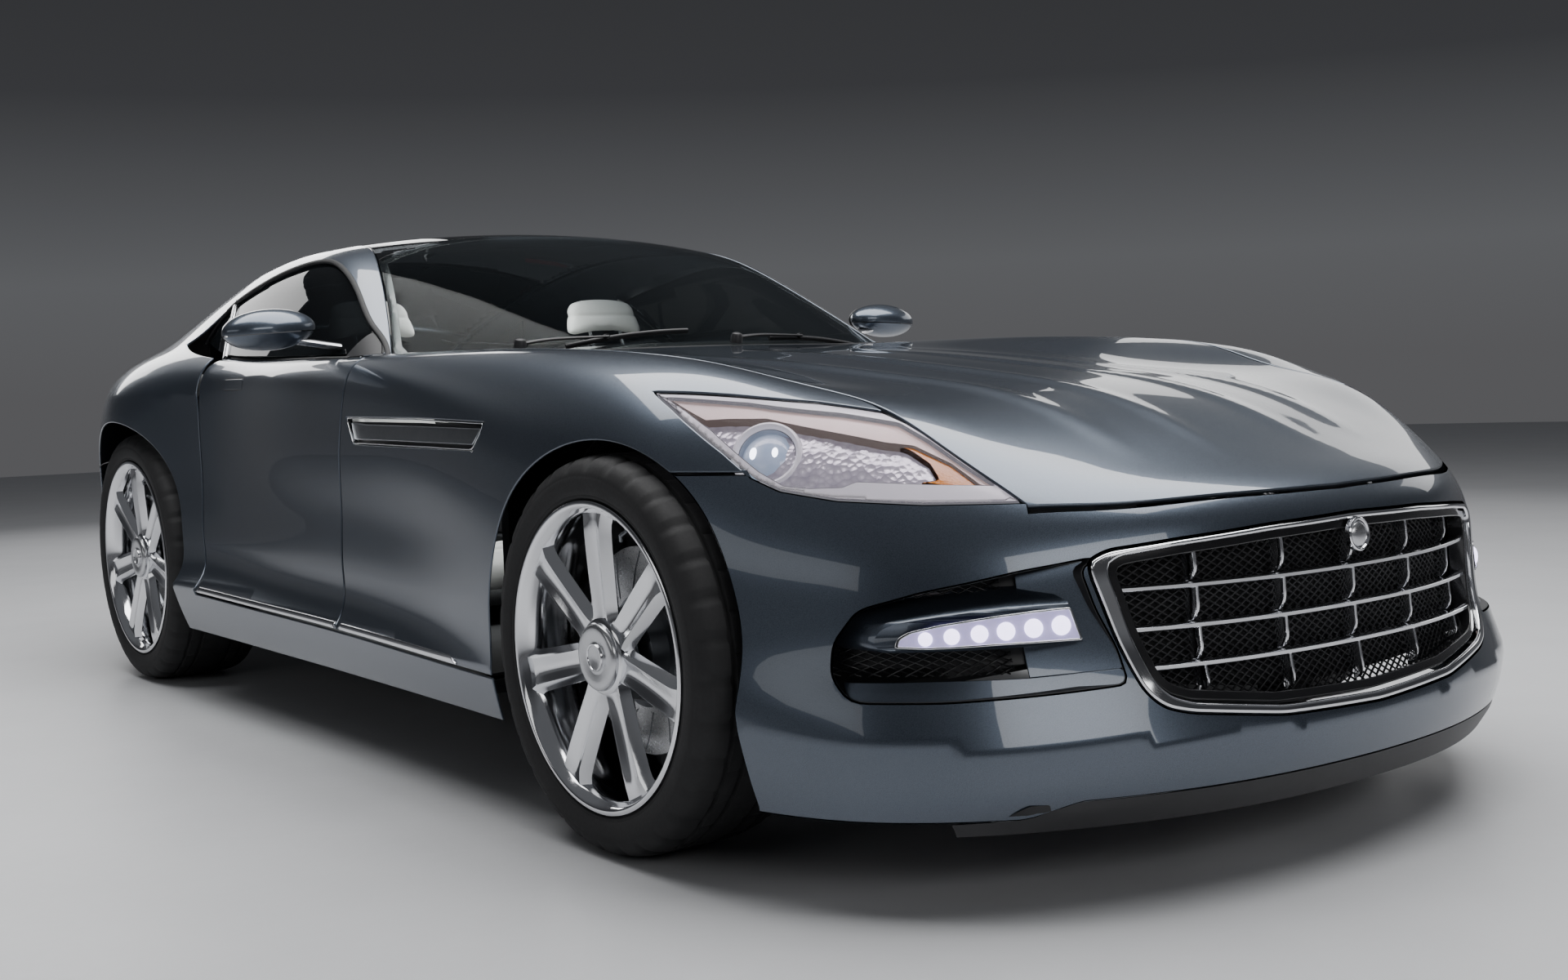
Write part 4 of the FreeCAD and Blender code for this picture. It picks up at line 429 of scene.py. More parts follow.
def panel(name, loops, mp, T, mats, h=.016, roll=.0025, slant=None, body="body", repl=(), disp=None, mirror=False, inner_mat=1, hb=.010, depth=None, own=True):
    """Closed thick panel. loops: 2-D loops in the map's own plane, outline first, then holes. Rolled edges, exact normals."""
    L = []
    for k, lp in enumerate(loops):
        lp = np.asarray(lp, float)
        keep = np.linalg.norm(lp-np.roll(lp, 1, 0), axis=1) > 2e-4
        lp = lp[keep]
        if (area2(lp) > 0) != (k == 0): lp = lp[::-1]
        L.append(lp)
    I = [inset(lp, roll if k == 0 else -roll) for k, lp in enumerate(L)]
    lo, hi = I[0].min(0), I[0].max(0)
    xs = np.arange(lo[0], hi[0]+h, h); ys = np.arange(lo[1], hi[1]+h*.87, h*.87)
    g = np.array([(x+(.5*h if j % 2 else 0), y) for j, y in enumerate(ys) for x in xs])
    g = g[inside(g, I[0])]
    g = g[dist_to(g, I[0]) > .55*h]
    for q in I[1:]:
        g = g[~inside(g, q)]
        if len(g): g = g[dist_to(g, q) > .55*h]
    nb = [len(q) for q in I]
    pts = np.concatenate(I+[g]) if len(g) else np.concatenate(I)
    edges = []; off = 0
    for n in nb:
        edges += [(off+i, off+(i+1) % n) for i in range(n)]; off += n
    r = delaunay_2d_cdt([Vector((float(a), float(b))) for a, b in pts], edges, [], 0, 1e-7)
    ov, of, orig = np.array([tuple(v) for v in r[0]]), r[2], r[3]
    # back to our own numbering
    idx = [o[0] if o else -1 for o in orig]
    extra = [i for i, o in enumerate(idx) if o < 0]
    if extra:
        for i in extra:
            idx[i] = len(pts); pts = np.vstack([pts, ov[i]])
    F = np.array([[idx[v] for v in f] for f in of if len(f) == 3])
    c = pts[F].mean(1)
    ok = inside(c, I[0])
    for q in I[1:]: ok &= ~inside(c, q)
    F = F[ok]
    a2 = (pts[F[:, 1], 0]-pts[F[:, 0], 0])*(pts[F[:, 2], 1]-pts[F[:, 0], 1])-(pts[F[:, 1], 1]-pts[F[:, 0], 1])*(pts[F[:, 2], 0]-pts[F[:, 0], 0])
    F[a2 < 0] = F[a2 < 0][:, ::-1]
    F = F[np.abs(a2) > 1e-10]
    P, N = mp(pts)
    if disp is not None:
        P = P+N*disp(P)[:, None]
    # orientation of the 2-D plane against the normal
    f0 = F[:min(len(F), 200)]
    w = np.sum(np.cross(P[f0[:, 1]]-P[f0[:, 0]], P[f0[:, 2]]-P[f0[:, 0]])*N[f0[:, 0]])
    if w < 0: F = F[:, ::-1]
    n0 = len(P); B0 = sum(nb)
    V = [P]; NN = [N]; FF = [F]; FM = [np.zeros(len(F), int)]
    inner = np.arange(n0)
    base = n0
    off = 0
    quads = []; qm = []
    bottom = {}
    K = 3
    for k, q in enumerate(L):
        n = nb[k]; ids = np.arange(off, off+n)
        Pi, Ni = P[ids], N[ids]
        Po, _ = mp(q)
        if disp is not None: Po = Po+_*disp(Po)[:, None]
        B = Po-Pi; B -= np.sum(B*Ni, 1, keepdims=True)*Ni
        ln = np.linalg.norm(B, axis=1, keepdims=True)
        B = B/np.maximum(ln, 1e-9)
        rr = np.minimum(ln, roll*1.6)
        prev = ids
        for j in range(1, K+1):
            th = math.pi/2*j/K
            V.append(Pi+B*rr*math.sin(th)-Ni*roll*(1-math.cos(th))); NN.append(Ni*math.cos(th)+B*math.sin(th))
            cur = base+np.arange(n); base += n
            for i in range(n):
                i2 = (i+1) % n
                quads.append((prev[i], prev[i2], cur[i2], cur[i])); qm.append(0)
            prev = cur
        W = Pi+B*rr-Ni*T
        if slant is not None: W = W+slant(Pi)*T
        V.append(W); NN.append(B)
        cur = base+np.arange(n); base += n
        for i in range(n):
            i2 = (i+1) % n
            quads.append((prev[i], prev[i2], cur[i2], cur[i])); qm.append(inner_mat)
        for i in range(n): inner[off+i] = cur[i]
        off += n
    extra_ids = np.arange(B0, n0)
    V.append(P[extra_ids]-N[extra_ids]*T); NN.append(-N[extra_ids])
    inner[extra_ids] = base+np.arange(len(extra_ids)); base += len(extra_ids)
    FI = inner[F][:, ::-1]
    verts = np.concatenate(V); norms = np.concatenate(NN)
    # quads must face outwards: their direction follows the loops' direction against F
    q0 = quads[0]
    t = np.cross(verts[q0[1]]-verts[q0[0]], verts[q0[3]]-verts[q0[0]])
    if t@norms[q0[3]] < 0: quads = [x[::-1] for x in quads]
    faces = [tuple(f) for f in F]+quads+[tuple(f) for f in FI]
    fm = [0]*len(F)+qm+[inner_mat]*len(FI)
    if len(mats) == 1: fm = [0]*len(fm)
    norms = norms/np.maximum(np.linalg.norm(norms, axis=1, keepdims=True), 1e-9)
    out = []
    def make(nm, v, f, nr, repls, bd):
        o = obj_from(nm, v, f, nr, mats, fm)
        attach(o, bd)
        if repls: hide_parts(*repls)
        return o
    o = make(name, verts, faces, norms, repl, body)
    if mirror:
        mv = verts*A(-1, 1, 1); mn = norms*A(-1, 1, 1)
        nm = name.replace("right", "left"); rp = [r_.replace("right", "left") for r_ in repl]
        o2 = make(nm if nm != name else name+"_left", mv, [x[::-1] for x in faces], mn, rp if rp != list(repl) else [], body.replace("right", "left"))
        return o, o2
    return o


# ---------------------------------------------------------------- materials
class Mat:
    def __init__(s, name):
        s.m = bpy.data.materials.new(name); s.m.use_nodes = True
        s.t = s.m.node_tree; s.n = s.t.nodes; s.l = s.t.links
        s.b = s.n["Principled BSDF"]; s.out = s.n["Material Output"]
        s.co = s.n.new("ShaderNodeTexCoord").outputs["Object"]
    def set(s, **k):
        for a, v in k.items():
            a = {"base": "Base Color", "metal": "Metallic", "rough": "Roughness", "ior": "IOR", "coat": "Coat Weight", "coat_rough": "Coat Roughness", "coat_ior": "Coat IOR", "coat_tint": "Coat Tint",
                 "sheen": "Sheen Weight", "sheen_rough": "Sheen Roughness", "sheen_tint": "Sheen Tint", "trans": "Transmission Weight", "alpha": "Alpha", "emit": "Emission Color", "power": "Emission Strength", "spec": "Specular IOR Level", "tint": "Specular Tint", "sss": "Subsurface Weight", "aniso": "Anisotropic"}[a]
            if a in ("Base Color", "Emission Color", "Coat Tint", "Specular Tint", "Sheen Tint") and len(v) == 3: v = (*v, 1)
            s.b.inputs[a].default_value = v
        return s
    def node(s, t, **k):
        q = s.n.new(t)
        for a, v in k.items():
            if a in q.inputs: q.inputs[a].default_value = v
            else: setattr(q, a, v)
        return q
    def coords(s, scale=(1, 1, 1), rot=(0, 0, 0)):
        m = s.n.new("ShaderNodeMapping"); m.inputs["Scale"].default_value = scale; m.inputs["Rotation"].default_value = rot
        s.l.new(s.co, m.inputs["Vector"]); return m.outputs[0]
    def noise(s, scale, detail=3, rough=.55, co=None, out="Fac", dist=0.0):
        q = s.node("ShaderNodeTexNoise"); q.inputs["Scale"].default_value = scale; q.inputs["Detail"].default_value = detail; q.inputs["Roughness"].default_value = rough; q.inputs["Distortion"].default_value = dist
        s.l.new(co or s.co, q.inputs["Vector"]); return q.outputs[out]
    def voro(s, scale, co=None, out="Distance", feature='F1'):
        q = s.node("ShaderNodeTexVoronoi"); q.feature = feature; q.inputs["Scale"].default_value = scale
        s.l.new(co or s.co, q.inputs["Vector"]); return q.outputs[out]
    def ramp(s, src, stops):
        q = s.n.new("ShaderNodeValToRGB"); e = q.color_ramp.elements
        while len(e) < len(stops): e.new(.5)
        for el, (p, c) in zip(e, stops):
            el.position = p; el.color = (*c, 1) if len(c) == 3 else c
        s.l.new(src, q.inputs[0]); return q.outputs[0]
    def rng(s, src, a, b, lo=0.0, hi=1.0):
        q = s.n.new("ShaderNodeMapRange"); q.inputs[1].default_value = lo; q.inputs[2].default_value = hi; q.inputs[3].default_value = a; q.inputs[4].default_value = b
        s.l.new(src, q.inputs[0]); return q.outputs[0]
    def mul(s, a, b, op='MULTIPLY'):
        q = s.n.new("ShaderNodeMath"); q.operation = op
        for i, v in enumerate((a, b)):
            if isinstance(v, (int, float)): q.inputs[i].default_value = v
            else: s.l.new(v, q.inputs[i])
        return q.outputs[0]
    def mixc(s, f, a, b):
        q = s.n.new("ShaderNodeMix"); q.data_type = 'RGBA'
        for key, v in (("Factor", f), ("A", a), ("B", b)):
            i = [x for x in q.inputs if x.name == key and x.enabled][0]
            if isinstance(v, (tuple, list)): i.default_value = (*v, 1) if len(v) == 3 else v
            elif isinstance(v, (int, float)): i.default_value = v
            else: s.l.new(v, i)
        return [o for o in q.outputs if o.enabled][0]
    def to(s, src, name):
        s.l.new(src, s.b.inputs[name]); return s
    def bump(s, h, dist, strength=1.0, prev=None):
        q = s.n.new("ShaderNodeBump"); q.inputs["Distance"].default_value = dist; q.inputs["Strength"].default_value = strength
        s.l.new(h, q.inputs["Height"])
        if prev is not None: s.l.new(prev, q.inputs["Normal"])
        s.l.new(q.outputs[0], s.b.inputs["Normal"]); return q.outputs[0]

def see_through(m, tint, opac, rough=.0, ior=1.5, body=(.01, .012, .014)):
    """Pane: a dark glossy shader mixed with a tinted clear one, more mirror-like at shallow angles."""
    m.set(base=body, rough=rough, ior=ior, spec=.5, coat=0.0)
    tr = m.node("ShaderNodeBsdfTransparent"); tr.inputs[0].default_value = (*tint, 1)
    fr = m.node("ShaderNodeLayerWeight"); fr.inputs[0].default_value = .5
    f = m.rng(m.mul(fr.outputs["Facing"], 4.6, 'POWER'), max(opac, .035), 1.0)
    mx = m.node("ShaderNodeMixShader")
    m.l.new(f, mx.inputs[0]); m.l.new(tr.outputs[0], mx.inputs[1]); m.l.new(m.b.outputs[0], mx.inputs[2])
    m.l.new(mx.outputs[0], m.out.inputs[0])
    return m

M = {}
def paint(name, col, col2):
    m = Mat(name).set(metal=.82, rough=.30, coat=1.0, coat_rough=.025, coat_ior=1.5)
    fl = m.noise(2600, 1, .5); big = m.noise(2.2, 3, .5)
    c = m.mixc(m.rng(fl, 0, 1, .42, .60), col, col2)
    c = m.mixc(m.rng(big, .0, .10), c, tuple(x*.8 for x in col))
    m.to(c, "Base Color"); m.to(m.rng(fl, .25, .36, .35, .65), "Roughness")
    return m
M["paint"] = paint("body_paint", (.060, .076, .103), (.118, .142, .180)).m
M["paint_in"] = (lambda m: (m.set(base=(.045, .055, .07), metal=.4, rough=.55), m.bump(m.noise(120, 3), .0004, .6), m.to(m.mixc(m.noise(14, 4), (.035, .043, .056), (.06, .072, .09)), "Base Color"), m.m)[-1])(Mat("panel_inside"))
m = Mat("chrome_bright").set(metal=1.0, base=(.86, .87, .89)); m.to(m.rng(m.noise(38, 4), .035, .10), "Roughness"); m.to(m.mixc(m.noise(9, 3), (.80, .81, .84), (.91, .915, .93)), "Base Color"); M["chrome"] = m.m
m = Mat("wheel_chrome").set(metal=1.0); m.to(m.mixc(m.noise(11, 3), (.78, .79, .82), (.90, .905, .92)), "Base Color"); m.to(m.rng(m.noise(60, 4), .05, .13), "Roughness"); m.bump(m.noise(420, 2), .00004, .5); M["wheel"] = m.m
m = Mat("satin_silver").set(metal=.95, aniso=.3); m.to(m.mixc(m.noise(30, 4), (.56, .565, .585), (.66, .665, .68)), "Base Color"); m.to(m.rng(m.noise(160, 4), .20, .30), "Roughness"); m.bump(m.noise(700, 2), .00003, .4); M["satin"] = m.m
m = Mat("dark_satin_metal").set(metal=.9); m.to(m.mixc(m.noise(40, 4), (.16, .17, .185), (.22, .23, .245)), "Base Color"); m.to(m.rng(m.noise(200, 4), .28, .40), "Roughness"); M["darkmetal"] = m.m
def plastic(name, col, r0, r1, scale, depth, spec=.5, coat=0.0):
    m = Mat(name).set(spec=spec, coat=coat)
    n = m.noise(scale, 3, .6)
    m.to(m.mixc(m.noise(scale*.04, 3), tuple(c*.8 for c in col), tuple(min(c*1.25, 1) for c in col)), "Base Color")
    m.to(m.rng(n, r0, r1), "Roughness"); m.bump(n, depth, .7); return m.m
M["trim"] = plastic("gloss_black_trim", (.012, .012, .013), .10, .20, 320, .00002, coat=.5)
M["black"] = plastic("satin_black_plastic", (.018, .018, .020), .34, .52, 900, .00010)
# Near-black matte colour for the sheet behind the grille mesh: painted shade of the grille opening.
M["recess"] = plastic("matte_black_shade_backing", (.010, .010, .011), .82, .95, 900, .00010)
M["liner"] = plastic("arch_liner_felt", (.012, .012, .013), .75, .95, 260, .0006)
M["seal"] = plastic("rubber_seal", (.010, .010, .011), .5, .7, 500, .00008)
M["dash"] = plastic("dashboard_grain", (.055, .055, .060), .45, .62, 1100, .00022)
M["dash_light"] = plastic("cabin_pale_trim", (.66, .66, .67), .42, .6, 1100, .00018)
M["chassis"] = plastic("chassis_black_paint", (.022, .023, .025), .38, .6, 160, .0003)
M["engine"] = plastic("engine_cast", (.16, .16, .165), .45, .7, 140, .0009)
m = Mat("cast_iron_grey").set(metal=.8); m.to(m.mixc(m.noise(30, 4), (.20, .20, .205), (.33, .33, .335)), "Base Color"); m.to(m.rng(m.noise(120, 3), .42, .62), "Roughness"); m.bump(m.noise(260, 3), .0003, .8); M["cast"] = m.m
m = Mat("brake_disc_steel").set(metal=1.0, aniso=.5); m.to(m.mixc(m.noise(60, 3), (.42, .42, .43), (.56, .56, .57)), "Base Color"); m.to(m.rng(m.noise(300, 3), .22, .34), "Roughness"); M["disc"] = m.m
m = Mat("tyre_rubber").set(spec=.35); n = m.noise(180, 4); m.to(m.mixc(m.noise(12, 4), (.013, .013, .014), (.028, .028, .029)), "Base Color"); m.to(m.rng(n, .62, .82), "Roughness"); m.bump(n, .0004, .7); M["tyre"] = m.m
M["glass_clear"] = see_through(Mat("windshield_glass"), (.93, .96, .955), .0).m
M["glass_side"] = see_through(Mat("side_glass"), (.22, .24, .25), .30).m
M["glass_rear"] = see_through(Mat("rear_glass"), (.20, .22, .23), .35).m
M["glass_lamp"] = see_through(Mat("lamp_cover"), (.97, .95, .97), .0, body=(.05, .05, .055)).m
M["glass_roof"] = see_through(Mat("roof_dark_glass"), (.62, .64, .66), .30, rough=.01, body=(.006, .007, .008)).m
m = Mat("lamp_red").set(rough=.06, coat=1.0, coat_rough=.02, emit=(.6, .01, .01), power=.12); v = m.voro(240); m.to(m.mixc(m.rng(v, 0, 1, 0, .6), (.20, .002, .003), (.42, .008, .008)), "Base Color"); m.bump(v, .0004, .5); M["red"] = m.m
# Metal reflector whose colour is lighter at each cell's centre and darker at its rim: painted highlight and shade on
# the cells.
m = Mat("lamp_reflector_painted_cell_shade").set(metal=1.0, rough=.10); v = m.voro(110, feature='F1'); m.to(m.mixc(m.rng(v, 0, 1, 0, .7), (.82, .82, .84), (.55, .56, .60)), "Base Color"); m.bump(v, .003, .8); M["reflector"] = m.m
# White headlight bezel with a weak emission: painted glow that keeps the bezel bright under the lamp cover. The
# projector ring uses it too.
m = Mat("lamp_bezel_white").set(rough=.22, coat=.4, emit=(.9, .9, 1.0), power=.32); m.to(m.mixc(m.noise(20, 3), (.74, .74, .77), (.84, .84, .86)), "Base Color"); M["bezel_painted_glow"] = m.m
m = Mat("amber_lens").set(rough=.08, coat=1.0, emit=(1, .25, .02), power=.10); v = m.voro(260); m.to(m.mixc(m.rng(v, 0, 1, 0, .6), (.70, .20, .02), (.9, .35, .05)), "Base Color"); m.bump(v, .0005, .6); M["amber"] = m.m
# Projector lens with a steady emission and large light and dark blue-white patches: painted glow and painted
# reflections in the lens colour.
m = Mat("projector_lens_painted_glow").set(rough=.02, ior=1.5, coat=1.0, emit=(.62, .78, 1.0), power=.35); m.to(m.mixc(m.rng(m.noise(18, 2), 0, 1, .3, .7), (.30, .42, .62), (.78, .86, .95)), "Base Color"); M["lens"] = m.m
m = Mat("led_violet_white").set(rough=.2, emit=(.72, .66, 1.0), power=4.0); m.to(m.mixc(m.noise(200, 2), (.8, .78, .95), (.95, .94, 1)), "Base Color"); M["led"] = m.m
def leather(name, col, scale=420):
    m = Mat(name).set(spec=.45, sheen=.08)
    v = m.voro(scale, out="Distance", feature='DISTANCE_TO_EDGE'); n = m.noise(scale*.3, 4)
    m.to(m.mixc(m.noise(8, 4), tuple(c*.86 for c in col), tuple(min(c*1.08, 1) for c in col)), "Base Color")
    m.to(m.rng(n, .40, .58), "Roughness")
    h = m.mul(m.rng(v, 0, 1, 0, .12), m.rng(n, .7, 1.0)); m.bump(h, .00035, .6); return m.m
M["leather"] = leather("seat_leather_pale", (.70, .69, .67))
M["leather_dark"] = leather("leather_dark", (.055, .055, .058))
m = Mat("stitch_thread").set(rough=.7, sheen=.3); m.to(m.mixc(m.noise(800, 2), (.32, .31, .30), (.5, .49, .47)), "Base Color"); M["thread"] = m.m
m = Mat("cabin_carpet").set(rough=.95, sheen=.3); n = m.noise(900, 3); m.to(m.mixc(n, (.018, .018, .02), (.05, .05, .053)), "Base Color"); m.bump(n, .0015, .9); M["carpet"] = m.m
m = Mat("mirror_glass").set(metal=1.0, rough=.015); m.to(m.mixc(m.noise(5, 2), (.74, .76, .79), (.80, .82, .84)), "Base Color"); M["mirror"] = m.m


# ---------------------------------------------------------------- shutlines
GAP = .006
YA, YB = -1.29, 1.22
KING_X, ZF, ZR = .745, .338, .348
# ---- shutlines, (y, z) seen from the side, (x, y) seen from above
DOOR_FRONT = [(-.218, .90), (-.214, .86), (-.200, .74), (-.183, .64), (-.175, .54), (-.176, .42), (-.188, .34), (-.203, .2805)]
DOOR_REAR = [(.676, .2905), (.694, .34), (.722, .43), (.754, .54), (.782, .65), (.800, .76), (.808, .84), (.812, .90)]
HOOD_SIDE = [(.715, -.322), (.722, -.46), (.724, -.70), (.720, -.95), (.709, -1.12), (.686, -1.27), (.655, -1.37), (.625, -1.46), (.605, -1.55), (.598, -1.65), (.595, -1.75), (.576, -1.86), (.544, -1.954)]
HOOD_FRONT = [(.544, -1.954), (.44, -2.014), (.30, -2.065), (.15, -2.092), (0, -2.100)]
LAMP = [(-.808, -1.366, .776), (-.777, -1.44, .771), (-.745, -1.507, .766), (-.669, -1.619, .752), (-.608, -1.705, .734), (-.597, -1.75, .716), (-.577, -1.85, .668), (-.545, -1.949, .597),
        (-.661, -1.853, .599), (-.742, -1.752, .607), (-.784, -1.666, .622), (-.798, -1.614, .642), (-.807, -1.553, .680), (-.814, -1.488, .716), (-.812, -1.425, .748)]
LAMP_DIR = (-.70, -.60, .387)
GRILLE = [(0, .546), (.20, .541), (.36, .531), (.470, .521), (.497, .508), (.497, .488), (.470, .39), (.446, .318), (.424, .294), (.385, .283), (.22, .262), (0, .255)]
FOG = [(-.489, .513), (-.586, .498), (-.70, .471), (-.762, .447), (-.788, .40), (-.800, .351), (-.794, .318), (-.70, .318), (-.58, .324), (-.468, .330), (-.474, .38), (-.498, .44), (-.512, .497)]
VENT = [(-.232, .738), (-.60, .736), (-.912, .729), (-.904, .705), (-.881, .677), (-.60, .679), (-.27, .681)]
DLO = [(-.150, .872), (-.115, .895), (-.02, .945), (.13, 1.030), (.262, 1.092), (.33, 1.112), (.446, 1.121), (.587, 1.113), (.744, 1.092), (.934, 1.060), (1.031, 1.036), (1.10, 1.003), (1.150, .962), (1.165, .945)]
BELT = [(-.24, .866), (0, .872), (.3, .877), (.6, .885), (.83, .896), (1.0, .915), (1.165, .942)]
PILLAR_IN = [(.742, -.23), (.70, -.14), (.655, -.035), (.605, .09), (.556, .225), (.525, .32), (.505, .41), (.490, .52), (.480, .70), (.474, .90), (.466, 1.15), (.458, 1.45), (.452, 1.70), (.452, 1.742)]
BLADE = [(.845, .80), (.845, .893), (1.012, 1.048), (1.10, 1.13)]
TAIL = [(-.800, .800), (-.70, .812), (-.56, .815), (-.545, .760), (-.66, .745), (-.80, .742)]
Z_JOINT_F, Z_JOINT_R = .647, .600


SB = NC(BELT)
def flip(p):
    p = np.array(p, float); p[:, 0] *= -1; return p
def crease(y): return S_CREASE(np.asarray(y, float))
df = resample(DOOR_FRONT, 20); dr = resample(DOOR_REAR, 20)
def S(yz, f=F_body): return sa_of(side(yz, f))
def arc(yc, zc, r, a0, a1, n=60):
    a = np.linspace(a0, a1, n); return np.stack([yc+r*np.cos(a), zc+r*np.sin(a)], 1)
def yz(a, b, n=12):
    return np.stack([np.linspace(a[0], b[0], n), np.linspace(a[1], b[1], n)], 1)
PAINT = [M["paint"], M["paint_in"]]

# door: bottom on the crease, top on the belt
d_top = np.array([(y, SB(y)) for y in np.linspace(dr[-1][0]-.001, df[0][0]+.004, 50)])
d_low = np.array([(y, float(crease(y))-.007) for y in np.linspace(df[-1][0], dr[0][0], 40)])
d_fr = df[df[:, 1] < .864]; d_rr = dr[dr[:, 1] < .893]
door_segs = [np.vstack([d_top[-1:], d_fr, d_low[:1]]), d_low, np.vstack([d_low[-1:], d_rr, d_top[:1]]), d_top]
door_loop = closed([S(q, F_lower) for q in door_segs])
def door_slant(P):
    w = np.clip((P[:, 1]+.16)/.8, 0, 1)
    k = np.where(w < .5, np.clip((.85-P[:, 2])/.06, 0, 1), .22)
    e = np.zeros_like(P)
    front = (P[:, 1] < .0) & (P[:, 2] > .29)
    e[:, 1] = np.where(front, -.9*k, 0)
    return e
panel("right_door_skin", [door_loop], map_belt(F_lower), .0012*18, PAINT, h=.018, body="right_door", repl=["right_door"], mirror=True)

# fender
g = np.array([0, -GAP, 0.0])
w_rear = np.vstack([[df[0][0]-GAP, .872], np.stack([d_fr[:, 0]-GAP, d_fr[:, 1]], 1)])
w_low = np.array([(y, float(crease(y))-.007) for y in np.linspace(df[-1][0]-GAP, -.9305, 40)])
a1 = math.asin((.6485-.338)/.362)
w_arch = arc(YA, .338, .362, -.12, math.pi-a1, 80)
w_joint = yz(w_arch[-1], (-1.6035, .6485), 10)
lamp3 = along(np.array(LAMP), (-.70, -.60, .387))
def lamp_curve(i0, i1, n=60, grow=.0015):
    """Stretch of the lamp's outline, slightly outside it."""
    L = len(LAMP); q = sa_of(lamp3)
    c = q.mean(0)
    o = inset(q, -grow) if area2(q) != 0 else q
    idx = [k % L for k in range(i0, i1+1)]
    return o[idx]
lamp_rear = lamp_curve(11, 15)                   # lower outer end up to the rear tip
lamp_top = lamp_curve(0, 4)
hs = resample([(-x, y) for x, y in HOOD_SIDE], 60)
hs_n = np.gradient(hs, axis=0); hs_n /= np.linalg.norm(hs_n, axis=1, keepdims=True)
hs_out = hs+np.stack([hs_n[:, 1], -hs_n[:, 0]], 1)*GAP      # outside the hood
if hs_out[30, 0] > hs[30, 0]: hs_out = hs-np.stack([hs_n[:, 1], -hs_n[:, 0]], 1)*GAP
hs_sa = sa_of(over(hs_out))
k0 = [i for i, p in enumerate(hs_out) if p[1] < -.335][0]
k1 = [i for i, p in enumerate(hs_out) if p[1] < -1.70][0]
corner = sa_of(over([(-.7315, -.335), (-.7365, -.335), (-.7365, -.30), (-.7365, -.25), (-.7365, -.2265)]))
w_top = np.vstack([hs_sa[k0:k1][::-1], corner[1:]])
wing_segs = [S(w_rear), S(w_low), np.vstack([S(yz((-.9305, float(crease(-.93))-.007), (-.9309, .295), 3)), S(w_arch)[1:]]), S(w_joint), lamp_rear, lamp_top, w_top, np.vstack([corner[-1:], S(w_rear[:1])])]
vent_loop = closed([S(VENT[:3]), S(VENT[2:5]), S(VENT[4:]+VENT[:1])])
wing_loop = closed(wing_segs)
panel("right_fender_skin", [wing_loop, vent_loop], map_belt(), .0032, PAINT, h=.015, body="body", repl=["right_fender"], mirror=True)

# body side: sill, rear quarter, pillars and roof rail in one
zs = .178
b_low = np.array([(y, .178+max(0, (y+.3)*.0024)) for y in np.linspace(-.9232, .834, 90)])
a2 = math.asin((.6015-.348)/.382)
b_arch = arc(YB, .348, .382, math.pi+.12, a2, 90)
b_joint_side = yz(b_arch[-1], (1.60, .6015), 8)
# rear corner along the joint, by belt position
def at_height(ss, z, f=F_body):
    """(s, a) points of constant height z along the belt."""
    ss = np.asarray(ss, float)
    a = np.full(len(ss), .2)
    for k in range(7):
        o, d = belt_rays(ss, a); p = n_cast(o, d, f)
        r = np.hypot(p[:, 0]-o[:, 0], p[:, 1]-o[:, 1])
        a = np.arctan2(z-Z0, r)
    return np.stack([ss, a*SC], 1)
def x_line(x, z0, z1, n, f=F_body, y0=1.2):
    zz = np.linspace(z0, z1, n)
    return ahead([(x, z) for z in zz], f, y0, 1)
s_a = float(S(b_joint_side)[-1, 0])
pe = sa_of(x_line(-.5135, .6015, .80, 12))
b_joint = at_height(np.linspace(s_a, pe[0, 0], 50), .6015)
lid3 = along(np.array([(-.452, 1.734, 1.0), (-.458, 1.86, .96), (-.475, 1.98, .90), (-.505, 2.06, .80), (-.515, 2.10, .72), (-.50, 2.10, .640)]), (0, .62, .78))
lid_c = resample([tuple(p) for p in lid3], 40)
lid_o = lid_c.copy(); lid_o[:, 0] -= GAP
lid_o = along(lid_o, (0, .62, .78))
kz = [i for i, p in enumerate(lid_o) if p[2] < .80][0]
b_lid = sa_of(lid_o[:kz+1][::-1])
SPX = NC([(p[1], p[0]) for p in PILLAR_IN])
def cab(p): return sa_of(p)
pil = np.array([(-float(SPX(y))-.001, y) for y in np.linspace(1.742, -.225, 120)])
b_pil = sa_of(over(pil, F_body, .75))
foot = sa_of(over([(-.744, -.2265), (-.765, -.219), (-.785, -.2155)], F_body, .6))
dlo = resample(DLO, 60)
dlo3 = side(np.array([(y, z) for y, z in dlo]))
b_dlo = sa_of(dlo3)
b_belt = S([(y, SB(y)) for y in np.linspace(1.165, .819, 20)])
dro = np.stack([d_rr[:, 0]+.0052, d_rr[:, 1]], 1)
dlo_low = np.array([(y, float(crease(y))-.0122) for y in np.linspace(dr[0][0]+.004, -.9305, 70)])
side_segs = [S(b_low), np.vstack([S([(.834, .184), (.841, .302)]), S(b_arch)[1:]]), S(b_joint_side), b_joint, pe, np.vstack([pe[-1:], b_lid]), b_pil, foot, np.vstack([foot[-1:], S([(-.206, .872), (-.152, .872)])]), b_dlo, b_belt, S(dro[::-1]), S(dlo_low), S([(-.9305, .255), (-.9232, .178)])]
side_loop = closed(side_segs)
tail3 = ahead(TAIL, F_body, 1.0, 1)
tail_loop = closed([sa_of(resample([tuple(q) for q in tail3[:3]], 20)), sa_of(tail3[2:4]), sa_of(resample([tuple(q) for q in tail3[3:]], 20)), sa_of(tail3[[5, 0]])])
panel("right_body_side_skin", [side_loop, tail_loop], map_belt(), .0045, PAINT, h=.017, body="body", repl=["right_body_side"], mirror=True)

# hood
rear = [(x, -.49+.168*(x/.715)**2) for x in np.linspace(-.7135, .7135, 60)]
sideR = resample(HOOD_SIDE, 60); frR = resample(HOOD_FRONT, 40)
hood_segs = [rear, sideR, frR, flip(frR)[::-1], flip(sideR)[::-1]]
HOOD_LOOP = closed(hood_segs)
panel("hood_skin", [HOOD_LOOP], map_top(), .006, PAINT, h=.016, body="hood", repl=["hood"])

